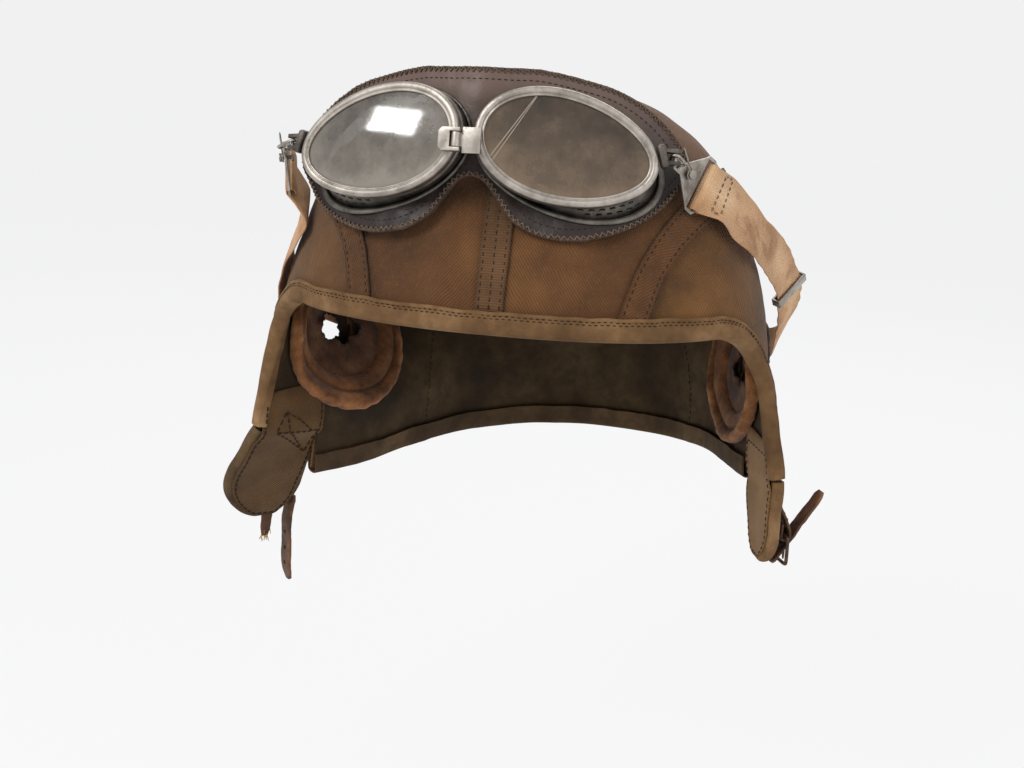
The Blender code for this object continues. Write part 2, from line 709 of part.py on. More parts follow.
def on_wall(side, back, up, lift):
    """Point over the ear wall at distances back and up from the ear's middle, lifted off the outer face."""
    middle, outward, backward, upward = ear_axes(side)
    u, h = ear_centre(side)
    for _ in range(6):
        place = hood(u, h) - middle
        miss_back = back - place.dot(backward)
        miss_up = up - place.dot(upward)
        du = (hood(u + STEP_SHARE, h) - hood(u, h)) / STEP_SHARE
        dh = (hood(u, h + STEP_SHARE) - hood(u, h)) / STEP_SHARE
        a, b = du.dot(backward), dh.dot(backward)
        c, d = du.dot(upward), dh.dot(upward)
        scale = a * d - b * c
        u += (miss_back * d - miss_up * b) / scale
        h += (miss_up * a - miss_back * c) / scale
    return cloth(u, h, lift)


def ear_cutter(side, label, layer):
    """Round tool through the wall at the ear."""
    middle, outward, backward, upward = ear_axes(side)
    turn = Matrix((backward, upward, backward.cross(upward))).transposed().to_4x4()
    mesh = cylinder_mesh(f"ear_cut_{label}_{layer}", EAR_HOLE_RADIUS, 4.0 * EAR_HOLE_RADIUS,
                         Matrix.Translation(middle) @ turn, 20)
    return cutter_object(f"ear_cut_{label}_{layer}", mesh)


def build_ears():
    """Padded ring and torn pad inside each ear, and the patch round the hole outside."""
    inside = -(CLOTH + LINING_SPACE + LINING + EAR_SPACE)
    for side, label in ((-1.0, "left"), (1.0, "right")):
        ring = []
        for turn in steps(0.0, 2.0 * math.pi, 32)[:-1]:
            section = []
            for angle in steps(0.0, 2.0 * math.pi, 8)[:-1]:
                radius = EAR_RADIUS - EAR_RING_WIDTH * (0.5 - 0.5 * math.cos(angle))
                height = EAR_RING_HEIGHT * max(0.0, math.sin(angle))
                section.append(on_wall(side, radius * math.cos(turn), radius * math.sin(turn), inside - height))
            ring.append(section[:5])
        add_object(f"ear_ring_{label}", swept_mesh(f"ear_ring_{label}", ring, True), chamois())
        pad = []
        tears = len(EAR_TEAR_SHARES)
        outer = EAR_RADIUS - EAR_RING_WIDTH - GAP
        for part in steps(0.0, 1.0, 2):
            row = []
            for i in range(2 * tears + 1):
                turn = math.pi * i / tears
                torn = EAR_TEAR_SHARES[(i // 2) % tears] * 0.5 + EAR_TEAR_SHARES[((i + 1) // 2) % tears] * 0.5
                radius = outer + (EAR_HOLE_RADIUS * torn - outer) * part
                row.append(on_wall(side, radius * math.cos(turn), radius * math.sin(turn), inside))
            pad.append(row)
        sheet(f"ear_pad_{label}", [pad], EAR_PAD, chamois(), (0.0, 0.0, -EAR_RADIUS))
        patch = []
        for radius in steps(EAR_HOLE_RADIUS + GAP, EAR_PATCH_RADIUS, 2):
            patch.append([on_wall(side, radius * math.cos(turn), radius * math.sin(turn), EAR_SPACE)
                          for turn in steps(0.0, 2.0 * math.pi, 24)])
        sheet(f"ear_patch_{label}", [patch], EAR_PATCH, brown_leather(), (0.0, 0.0, -EAR_RADIUS), offset=1.0)


# Flaps, chin strap and buckle

class Flap:
    """Flap below one ear: its hinge line at the end of the flap seam and its hanging face."""

    def __init__(self, side, tilt, length):
        self.side = side
        self.length = length
        inset = FLAP_INSET / (hood(FRONT_EDGE_SHARE, 2.0) - hood(FLAP_BACK_SHARE, 2.0)).length
        span = FLAP_BACK_SHARE - FRONT_EDGE_SHARE
        self.front = FRONT_EDGE_SHARE + span * inset * 0.5
        self.back = FLAP_BACK_SHARE - span * inset
        start, end = hood(side * self.front, 2.0), hood(side * self.back, 2.0)
        self.middle = (start + end) / 2.0
        self.axis = (end - start).normalized()
        self.half = (end - start).length / 2.0
        u = side * (self.front + self.back) / 2.0
        outward = hood_normal(u, 2.0)
        outward = (outward - self.axis * outward.dot(self.axis)).normalized()
        hang = Vector((0.0, 0.0, -1.0))
        hang = (hang - self.axis * hang.dot(self.axis)).normalized()
        outward = (outward - hang * outward.dot(hang)).normalized()
        turn = math.radians(tilt)
        self.down = hang * math.cos(turn) + outward * math.sin(turn)
        self.outward = outward * math.cos(turn) - hang * math.sin(turn)

    def outline(self, front, row):
        """Place of the front or back edge at a row, as shares across and down."""
        if self.side < 0.0:
            shares = LEFT_FLAP_FRONT_SHARES if front else LEFT_FLAP_BACK_SHARES
        else:
            shares = RIGHT_FLAP_FRONT_SHARES if front else RIGHT_FLAP_BACK_SHARES
        return (-shares[row] if front else shares[row]), FLAP_ROW_SHARES[row]

    def point(self, s, q, lift=0.0):
        """Place on the outer face at a share s across (-1 front, 1 back) and q down."""
        u = (self.front + self.back) / 2.0 + (self.back - self.front) / 2.0 * max(-1.0, min(1.0, s))
        bow = hood(self.side * u, 2.0) - self.middle - self.axis * (self.half * max(-1.0, min(1.0, s)))
        drop = FLAP_SPACE + (self.length - FLAP_SPACE) * q
        return self.middle + self.axis * (self.half * s) + self.down * drop + self.outward * (bow.dot(self.outward) + lift)


def build_flap(flap, label, frame):
    """Flap cloth with the binding round its free edge."""
    origin = frame.matrix_world.translation
    rows = []
    for row, q in enumerate(FLAP_ROW_SHARES):
        start, end = flap.outline(True, row)[0], flap.outline(False, row)[0]
        rows.append([flap.point(s, q) - origin for s in steps(start, end, 8)])
    core = flap.middle - flap.outward * flap.length + flap.down * flap.length / 2.0 - origin
    sheet(f"{label}_flap", [rows], FLAP_CLOTH, twill(), core, frame)
    last = len(FLAP_ROW_SHARES) - 1
    path = [flap.outline(True, row) for row in range(last + 1)]
    tip_start, tip_end = path[-1][0], flap.outline(False, last)[0]
    path += [(tip_start + (tip_end - tip_start) * part, 1.0) for part in (0.25, 0.5, 0.75)]
    path += [flap.outline(False, row) for row in reversed(range(last + 1))]
    places = [flap.point(s, q) for s, q in path]
    sections = []
    skin, fold = BINDING, GAP + GAP
    for i in range(len(path)):
        tangent = (places[min(i + 1, len(path) - 1)] - places[max(i - 1, 0)]).normalized()
        inward = tangent.cross(flap.outward)
        middle = flap.middle + flap.down * flap.length / 2.0 - places[i]
        if inward.dot(middle) < 0.0:
            inward = -inward
        up, edge = places[i] + inward * FLAP_BINDING_HEIGHT - origin, places[i] - origin
        over, under = flap.outward * (fold + GAP), flap.outward * (FLAP_CLOTH + fold + GAP)
        shell = flap.outward * skin
        sections.append([up + over + shell, edge - inward * (fold + skin) + over + shell,
                         edge - inward * (fold + skin) - under - shell, up - under - shell,
                         up - under, edge - inward * fold - under, edge - inward * fold + over, up + over])
    name = f"{label}_flap_binding"
    add_object(name, swept_mesh(name, sections, False), twill(), frame)


def strip(name, places, across, widths, thickness, finish, parent, normal):
    """Flat leather strip along points, with its width at each."""
    rows = [[place - across * (width / 2.0), place + across * (width / 2.0)] for place, width in zip(places, widths)]
    core = places[0] - normal * CHIN_STRAP_LENGTH
    obj = sheet(name, [rows], thickness, finish, core, parent, offset=0.0)
    return obj


def build_left_flap():
    """Left flap with a chin strap and the frayed stub of another strap at its lower edge."""
    flap = Flap(-1.0, LEFT_FLAP_TILT, LEFT_FLAP_LENGTH)
    frame = add_empty("left_flap_hinge", None, flap.middle)
    build_flap(flap, "left", frame)
    reach = BINDING + 4.0 * GAP
    under = -FLAP_CLOTH / 2.0
    top = flap.point(STUB_PLACE_SHARE, 1.0, under) + flap.down * reach - flap.middle
    fall = (flap.down + Vector((0.0, 0.0, -1.0))).normalized()
    places = [top + fall * (STUB_LENGTH * share) for share in steps(0.0, 1.0, 3)]
    widths = [STUB_WIDTH * share for share in STUB_WIDTH_SHARES]
    strip("strap_stub", places, flap.axis, widths, STUB, brown_leather(), frame, flap.outward)
    corner = (flap.down + flap.axis).normalized() * (reach + 5.0 * GAP)
    hang = flap.point(*flap.outline(False, CHIN_STRAP_ROW), under) + corner
    hinge = add_empty("chin_strap_hinge", frame, hang - flap.middle)
    places = []
    for share in steps(0.0, 1.0, 8):
        bow = flap.axis * (CHIN_STRAP_BOW * math.sin(math.pi * share))
        places.append(Vector((0.0, 0.0, -1.0)) * (CHIN_STRAP_LENGTH * share) - bow)
    widths = [CHIN_STRAP_WIDTH * share for share in CHIN_STRAP_WIDTH_SHARES]
    across = Vector((flap.outward.x, flap.outward.y, 0.0)).normalized()
    strip("chin_strap", places, across, widths, CHIN_STRAP, brown_leather(), hinge, flap.axis)


def build_right_flap():
    """Right flap with the buckle tab, the buckle and a strap end left in it."""
    flap = Flap(1.0, RIGHT_FLAP_TILT, RIGHT_FLAP_LENGTH)
    frame = add_empty("right_flap_hinge", None, flap.middle)
    build_flap(flap, "right", frame)
    loop = BUCKLE_WIRE + GAP + TAB / 2.0
    low, high = GAP + TAB / 2.0, BINDING + 4.0 * GAP + TAB_RISE + TAB / 2.0 + 2.0 * loop
    start = flap.point(TAB_SIDE_SHARE, TAB_START_SHARE)
    places = [start + flap.down * (TAB_LENGTH * share) + flap.outward * (low + (high - low) * smooth_step(share))
              for share in steps(0.0, 1.0, 6)]
    axis = places[-1] - flap.outward * loop
    for turn in steps(0.0, math.pi, 6)[1:]:
        places.append(axis + flap.outward * (loop * math.cos(turn)) + flap.down * (loop * math.sin(turn)))
    places += [places[-1] - flap.down * (TAB_RETURN * share) for share in (0.5, 1.0)]
    places = [place - flap.middle for place in places]
    tab = strip("buckle_tab", places, flap.axis, [TAB_WIDTH] * len(places), TAB, brown_leather(), frame, flap.outward)
    turn = Matrix((flap.axis, flap.outward, flap.down)).transposed()
    hinge = add_empty("buckle_hinge", frame, axis - flap.middle, [math.degrees(a) for a in turn.to_euler()])
    reach = BUCKLE_WIRE + GAP + PRONG_WIRE
    room = PRONG_WIRE + GAP
    slot = box_mesh("prong_slot", (-room, -loop - TAB, -TAB_RETURN / 2.0), (room, loop + TAB, loop + TAB),
                    hinge.matrix_local)
    cut(tab, cutter_object("prong_slot", slot, frame))
    half, corner = BUCKLE_WIDTH / 2.0 - 2.0 * BUCKLE_WIRE, 2.0 * BUCKLE_WIRE
    ring = []
    for x, z, start_turn in ((half, BUCKLE_LENGTH - corner, 0.0), (-half, BUCKLE_LENGTH - corner, 0.5),
                             (-half, corner, 1.0), (half, corner, 1.5)):
        for part in (0.0, 0.25, 0.5):
            angle = math.pi * (start_turn + part)
            ring.append((x + corner * math.cos(angle), 0.0, z + corner * math.sin(angle)))
    wire("buckle_frame", ring, BUCKLE_WIRE, brass(), hinge, closed=True, sides=2)
    prong_hinge = add_empty("prong_hinge", hinge)
    prong = [(0.0, reach * math.cos(a), -reach * math.sin(a)) for a in steps(0.9 * math.pi, 0.0, 7)]
    prong += [(0.0, reach, BUCKLE_LENGTH * share) for share in (0.5, 1.0)]
    wire("buckle_prong", prong, PRONG_WIRE, brass(), prong_hinge)
    tilt = math.radians(STRAP_END_TILT)
    along = Vector((0.0, math.sin(tilt), -math.cos(tilt)))
    cross = Vector((0.0, 0.0, BUCKLE_LENGTH * STRAP_END_PLACE_SHARE))
    places = [cross + along * (STRAP_END_LENGTH * share) for share in STRAP_END_RUN_SHARES]
    widths = [STRAP_END_WIDTH * share for share in STRAP_END_WIDTH_SHARES]
    end = strip("strap_end", places, Vector((1.0, 0.0, 0.0)), widths, TAB, brown_leather(), hinge,
                Vector((0.0, math.cos(tilt), math.sin(tilt))))
    hole = box_mesh("prong_hole", (-room, GAP, GAP), (room, reach + reach, cross.z))
    cut(end, cutter_object("prong_hole", hole, hinge))


# Goggles

def outline_point(side, turn, offset, y):
    """Point of the lens outline in the cup's frame, moved out by an offset; turn 0 is the temple."""
    taper = 1.0 - RIM_TAPER_SHARE * math.cos(turn)
    half_length, half_height = RIM_HALF_LENGTH - RIM_WALL - GAP, RIM_HALF_HEIGHT - RIM_WALL - GAP
    x, z = half_length * math.cos(turn), half_height * math.sin(turn) * taper
    dx = -half_length * math.sin(turn)
    dz = half_height * (math.cos(turn) * taper + RIM_TAPER_SHARE * math.sin(turn) ** 2)
    length = math.hypot(dx, dz)
    return Vector((side * (x + offset * dz / length), y, z - offset * dx / length))


def hood_clearance(place):
    """How far a place in front of the dome stands off the outer cloth, measured level."""
    depth = max(GAP, -place.z)
    rise = max(0.0, 1.0 - depth / DOME_HEIGHT)
    reach = (1.0 - rise ** DOME_END_POWER) ** (1.0 / DOME_END_POWER)
    flare = FLARE_SLOPE * max(0.0, depth - FLARE_START)
    back = place.y + WIDEST_FORWARD * reach
    across = abs(place.x) / (DOME_HALF_WIDTH * reach + flare)
    along = abs(back) / ((DOME_FRONT - WIDEST_FORWARD) * reach + flare)
    share = (across ** PLAN_FRONT_POWER + along ** PLAN_FRONT_POWER) ** (1.0 / PLAN_FRONT_POWER)
    return math.hypot(place.x, back) * (1.0 - 1.0 / share) if back < 0.0 else -DOME_FRONT


def mask_depth(goggles, x, z):
    """How far behind the goggles' origin the front of the mask lies: wrapped round the face, clear of the cloth."""
    wrapped = MASK_NOSE_DEPTH + math.hypot(x * math.tan(math.radians(MASK_WRAP)), MASK_NOSE_BEND)
    near, far = -MASK_LENGTH, MASK_LENGTH
    for _ in range(18):
        middle = (near + far) / 2.0
        if hood_clearance(goggles @ Vector((x, middle, z))) > MASK_CLEAR:
            near = middle
        else:
            far = middle
    part = min(1.0, max(0.0, 0.5 + (near - wrapped) / (2.0 * MASK_BLEND)))
    return near + (wrapped - near) * part - MASK_BLEND * part * (1.0 - part)


class Cup:
    """One eye cup: its frame in the goggles and the places on its wall."""

    def __init__(self, side, goggles, hinge):
        self.side = side
        self.goggles = goggles.matrix_world.copy()
        label = "left" if side < 0.0 else "right"
        self.label = label
        turn = Matrix.Rotation(math.radians(side * LENS_WRAP), 4, "Z")
        place = Matrix.Translation((side * NOSE_SPACE / 2.0, 0.0, 0.0)) @ turn
        place = place @ Matrix.Translation((side * RIM_HALF_LENGTH, 0.0, 0.0))
        self.in_goggles = place @ Matrix.Rotation(math.radians(side * LENS_DROOP), 4, "Y")
        self.frame = add_empty(f"{label}_cup_frame", hinge)
        self.frame.matrix_local = hinge.matrix_world.inverted() @ goggles.matrix_world @ self.in_goggles
        bpy.context.view_layer.update()
        lip_back = RIM_FRONT - RIM_LIP_THICK
        self.lip_back = -lip_back
        self.lens_front = self.lip_back + GAP
        self.front = self.lens_front + LENS + GAP

    def base(self, turn, offset, behind):
        """Place on the wall where it is a distance behind the front of the mask."""
        y = self.front
        offset += CUP_FLARE * (0.5 + 0.5 * math.cos(turn))
        for _ in range(12):
            place = outline_point(self.side, turn, offset, y)
            there = self.in_goggles @ place
            y += mask_depth(self.goggles, there.x, there.z) + behind - there.y
        return outline_point(self.side, turn, offset, y)

    def least_depth(self):
        """Least distance from the back of the lens to the front of the mask."""
        return min(self.base(turn, 0.0, 0.0).y for turn in full_turn(OUTLINE_STEPS)) - self.front

    def wall(self, turn, share):
        """Outer face of the cup wall at a share of the way from just behind the rim to its base."""
        start = outline_point(self.side, turn, 0.0, RIM_DEPTH - RIM_FRONT + GAP)
        return start + (self.base(turn, 0.0, MASK * CUP_SINK_SHARE) - start) * share


def full_turn(count):
    """Angles of a ring without the last."""
    return steps(0.0, 2.0 * math.pi, count)[:-1]


def build_cup(cup):
    """Vented wall, rim, lens and the ring at the mask of one eye cup."""
    label, side, frame = cup.label, cup.side, cup.frame
    turns = full_turn(OUTLINE_STEPS)
    rows = [[outline_point(side, turn, 0.0, cup.front) for turn in turns + turns[:1]]]
    rows += [[cup.wall(turn, share) for turn in turns + turns[:1]] for share in (0.0, 0.33, 0.67, 1.0)]
    middle = (rows[0][0] + rows[0][OUTLINE_STEPS // 2]) / 2.0 + Vector((0.0, RIM_DEPTH, 0.0))
    wall = sheet(f"cup_{label}", [rows], CUP_WALL, dull_metal(), middle, frame)
    bm = bmesh.new()
    for row in VENT_ROW_SHARES:
        for share in VENT_ARC_SHARES:
            turn = 2.0 * math.pi * (share + (row - VENT_ROW_SHARES[0]) * VENT_STAGGER_SHARE)
            place = cup.wall(turn, row)
            along = (cup.wall(turn + STEP_SHARE, row) - place).normalized()
            deep = (cup.wall(turn, row + STEP_SHARE) - place).normalized()
            outward = along.cross(deep).normalized()
            turned = Matrix((along, deep, outward)).transposed().to_4x4()
            size = Matrix.Diagonal((VENT_LENGTH, VENT_HEIGHT, CUP_WALL * 6.0, 1.0))
            bmesh.ops.create_cube(bm, size=1.0, matrix=Matrix.Translation(place) @ turned @ size)
    bmesh.ops.recalc_face_normals(bm, faces=bm.faces)
    slots = bpy.data.meshes.new(f"vents_{label}")
    bm.to_mesh(slots)
    bm.free()
    cut(wall, cutter_object(f"vents_{label}", slots, frame))
    rim_front, rim_back = -RIM_FRONT, RIM_DEPTH - RIM_FRONT
    section = ((GAP, rim_back), (GAP + RIM_WALL, rim_back), (GAP + RIM_WALL, rim_front + RIM_WALL * 0.5),
               (GAP + RIM_WALL * 0.5, rim_front), (-RIM_LIP * 0.6, rim_front), (-RIM_LIP, rim_front + RIM_LIP_THICK * 0.5),
               (-RIM_LIP, cup.lip_back), (GAP, cup.lip_back))
    ring = [[outline_point(side, turn, offset, y) for offset, y in section] for turn in turns]
    add_object(f"rim_{label}", swept_mesh(f"rim_{label}", ring, True), dull_metal(), frame)
    plate = [[outline_point(side, turn, 0.0, y) for turn in turns] for y in (cup.lens_front, cup.lens_front + LENS)]
    add_object(f"lens_{label}", swept_mesh(f"lens_{label}", plate, False), glass(), frame)
    ring = []
    for turn in turns:
        width = RING_NOSE_WIDTH + (RING_WIDTH - RING_NOSE_WIDTH) * (0.5 + 0.5 * math.cos(turn))
        inner, outer = cup.base(turn, GAP, -GAP), cup.base(turn, GAP + width, -GAP)
        lift = Vector((0.0, -RING_THICK, 0.0))
        ring.append([inner, outer, outer + lift, inner + lift])
    add_object(f"base_ring_{label}", swept_mesh(f"base_ring_{label}", ring, True), dull_metal(), frame)


def build_mask(cups, goggles):
    """One leather mask behind both cups, with an opening for each."""
    count = OUTLINE_STEPS
    blocks = []
    for cup in cups:
        centre = cup.in_goggles.translation
        outline = [spline(MASK_OUTLINE_SHARES, share) for share in steps(0.0, 1.0, 120)]
        outline = [(cup.side * x * MASK_LENGTH, z * MASK_HEIGHT) for x, z in outline]
        inner, outer = [], []
        for turn in steps(0.0, 2.0 * math.pi, count):
            place = cup.in_goggles @ cup.base(turn, GAP, 0.0)
            inner.append((place.x, place.z))
            outer.append(ray_to_outline(cup.side, (centre.x, centre.z), inner[-1], outline))
        rows = []
        for share in (0.0, 0.33, 0.67, 1.0):
            row = []
            for (x0, z0), (x1, z1) in zip(inner, outer):
                x, z = x0 + (x1 - x0) * share, z0 + (z1 - z0) * share
                row.append((x, mask_depth(cup.goggles, x, z), z))
            rows.append(row)
        blocks.append(rows)
    sheet("mask", blocks, MASK, mask_leather(), (0.0, MASK_LENGTH, 0.0), goggles)


def ray_to_outline(side, centre, place, outline):
    """Where the line from a centre through a place leaves a half outline closed by the middle line."""
    dx, dz = place[0] - centre[0], place[1] - centre[1]
    best = None
    closed = outline + outline[:1]
    for (ax, az), (bx, bz) in zip(closed, closed[1:]):
        ex, ez = bx - ax, bz - az
        scale = dx * ez - dz * ex
        if scale == 0.0:
            continue
        reach = ((ax - centre[0]) * ez - (az - centre[1]) * ex) / scale
        part = ((ax - centre[0]) * dz - (az - centre[1]) * dx) / scale
        if reach > 0.0 and 0.0 <= part <= 1.0 and (best is None or reach > best[0]):
            best = (reach, ax + ex * part, az + ez * part)
    return best[1], best[2]


def box_mesh(name, low, high, matrix=None):
    """Box between two corners."""
    bm = bmesh.new()
    low, high = Vector(low), Vector(high)
    size = high - low
    place = Matrix.Translation((low + high) / 2.0) @ Matrix.Diagonal((*size, 1.0))
    bmesh.ops.create_cube(bm, size=1.0, matrix=(matrix or Matrix()) @ place)
    bmesh.ops.recalc_face_normals(bm, faces=bm.faces)
    mesh = bpy.data.meshes.new(name)
    bm.to_mesh(mesh)
    bm.free()
    return mesh


def build_bridge(goggles, hinge):
    """Plate with a barrel, the yoke that carries it on the left rim, and the pin."""
    y = -(RIM_FRONT + GAP + BARREL_RADIUS)
    face = -(RIM_FRONT + GAP)
    axis = Vector((-BARREL_SIDE, y, 0.0))
    half = BARREL_HEIGHT / 2.0
    plate_x = BARREL_RADIUS - BARREL_SIDE + GAP + GAP
    plate = add_object("bridge_plate", box_mesh("bridge_plate", (plate_x, face - BRIDGE_PLATE, -BRIDGE_HEIGHT / 2.0),
                                                (BRIDGE_REACH, face, BRIDGE_HEIGHT / 2.0)), dull_metal(), goggles)
    neck = box_mesh("bridge_neck", (-BARREL_SIDE, face - BRIDGE_PLATE, -half + GAP), (plate_x + GAP, face, half - GAP))
    cut(plate, cutter_object("bridge_neck", neck, goggles), "UNION")
    barrel = cylinder_mesh("bridge_barrel", BARREL_RADIUS, BARREL_HEIGHT, Matrix.Translation(axis), 14)
    cut(plate, cutter_object("bridge_barrel", barrel, goggles), "UNION")
    bore = cylinder_mesh("bridge_bore", BRIDGE_PIN_RADIUS + GAP, BARREL_HEIGHT * 2.0, Matrix.Translation(axis), 14)
    cut(plate, cutter_object("bridge_bore", bore, goggles))
    place = hinge.matrix_world.inverted() @ goggles.matrix_world
    start, inner, end = -BARREL_SIDE - YOKE_REACH, -BARREL_SIDE - BARREL_RADIUS - GAP, BARREL_RADIUS - BARREL_SIDE
    low, high = half + GAP, half + GAP + YOKE_EAR
    shape = ((start, -high + YOKE_EAR), (start + YOKE_EAR, -high), (end, -high), (end, -low), (inner, -low),
             (inner, low), (end, low), (end, high), (start + YOKE_EAR, high), (start, high - YOKE_EAR))
    sides = [[place @ Vector((x, depth, z)) for x, z in shape] for depth in (face - 2.0 * BARREL_RADIUS, face)]
    yoke = add_object("bridge_yoke", swept_mesh("bridge_yoke", sides, False), dull_metal(), hinge)
    bore = cylinder_mesh("yoke_bore", BRIDGE_PIN_RADIUS + GAP, BARREL_HEIGHT * 2.0, Matrix.Translation(axis), 14)
    bore.transform(place)
    cut(yoke, cutter_object("yoke_bore", bore, hinge))
    pin = cylinder_mesh("bridge_pin", BRIDGE_PIN_RADIUS, BARREL_HEIGHT + 2.0 * (YOKE_EAR + GAP + GAP),
                        Matrix.Translation(axis), 14)
    add_object("bridge_pin", pin, dark_metal(), goggles)


def build_temple(cup, goggles):
    """Clamp with two lugs on the rim, its pin, the link, the strap hook and its keeper."""
    side, label = cup.side, cup.label
    turn = math.radians(CLAMP_TURN)
    rim = outline_point(side, turn, GAP + RIM_WALL, 0.0)
    outer = outline_point(side, turn, GAP + RIM_WALL + CLAMP_OUT, 0.0)
    out = (outer - rim).normalized()
    up = Vector((0.0, -side, 0.0)).cross(out)
    turned = Matrix((out, up.cross(out), up)).transposed().to_4x4()
    depth = Vector((0.0, CLAMP_DEPTH / 2.0 - RIM_FRONT, 0.0))
    knob_place = Matrix.Translation(rim + out * (GAP + GAP + CLAMP_OUT / 2.0) + depth) @ turned
    knob_mesh = box_mesh(f"clamp_{label}", (-CLAMP_OUT / 2.0, -CLAMP_DEPTH / 2.0, -CLAMP_HEIGHT / 2.0),
                         (CLAMP_OUT / 2.0, CLAMP_DEPTH / 2.0, CLAMP_HEIGHT / 2.0), knob_place)
    clamp = add_object(f"clamp_{label}", knob_mesh, dark_metal(), cup.frame)
    bevel = clamp.modifiers.new("Rounded", "BEVEL")
    bevel.width = CLAMP_ROUND
    bevel.segments = 2
    knob = cup.in_goggles @ (knob_place.translation)
    pin = knob + Vector((side * LUG_OUT, LUG_BACK, 0.0))
    to_cup = cup.in_goggles.inverted()
    outward = Vector((side * LUG_OUT, LUG_BACK, 0.0)).normalized()
    turned = Matrix.Translation(pin) @ Matrix.Rotation(math.atan2(outward.y, outward.x), 4, "Z")
    shape = [(-LUG_OUT, LUG_RADIUS), (-LUG_OUT, -LUG_RADIUS)]
    shape += [(LUG_RADIUS * math.cos(a), LUG_RADIUS * math.sin(a)) for a in steps(-math.pi / 2.0, math.pi / 2.0, 7)]
    for name, low in (("upper", LUG_OPENING / 2.0), ("lower", -LUG_OPENING / 2.0 - LUG_EAR)):
        faces = [[to_cup @ turned @ Vector((x, y, z)) for x, y in shape] for z in (low, low + LUG_EAR)]
        ear = swept_mesh(f"lug_{name}_{label}", faces, False)
        cut(clamp, cutter_object(f"lug_{name}_{label}", ear, cup.frame), "UNION")
    bore = cylinder_mesh(f"lug_bore_{label}", LUG_PIN_RADIUS + GAP, CLAMP_HEIGHT, Matrix.Translation(pin), 16)
    bore.transform(to_cup)
    cut(clamp, cutter_object(f"lug_bore_{label}", bore, cup.frame))
    rod = cylinder_mesh(f"lug_pin_{label}", LUG_PIN_RADIUS, LUG_OPENING + 2.0 * (LUG_EAR + GAP),
                        Matrix.Translation(pin), 16)
    rod.transform(to_cup)
    add_object(f"lug_pin_{label}", rod, dull_metal(), cup.frame)
    build_hook(side, label, goggles, cup, pin)


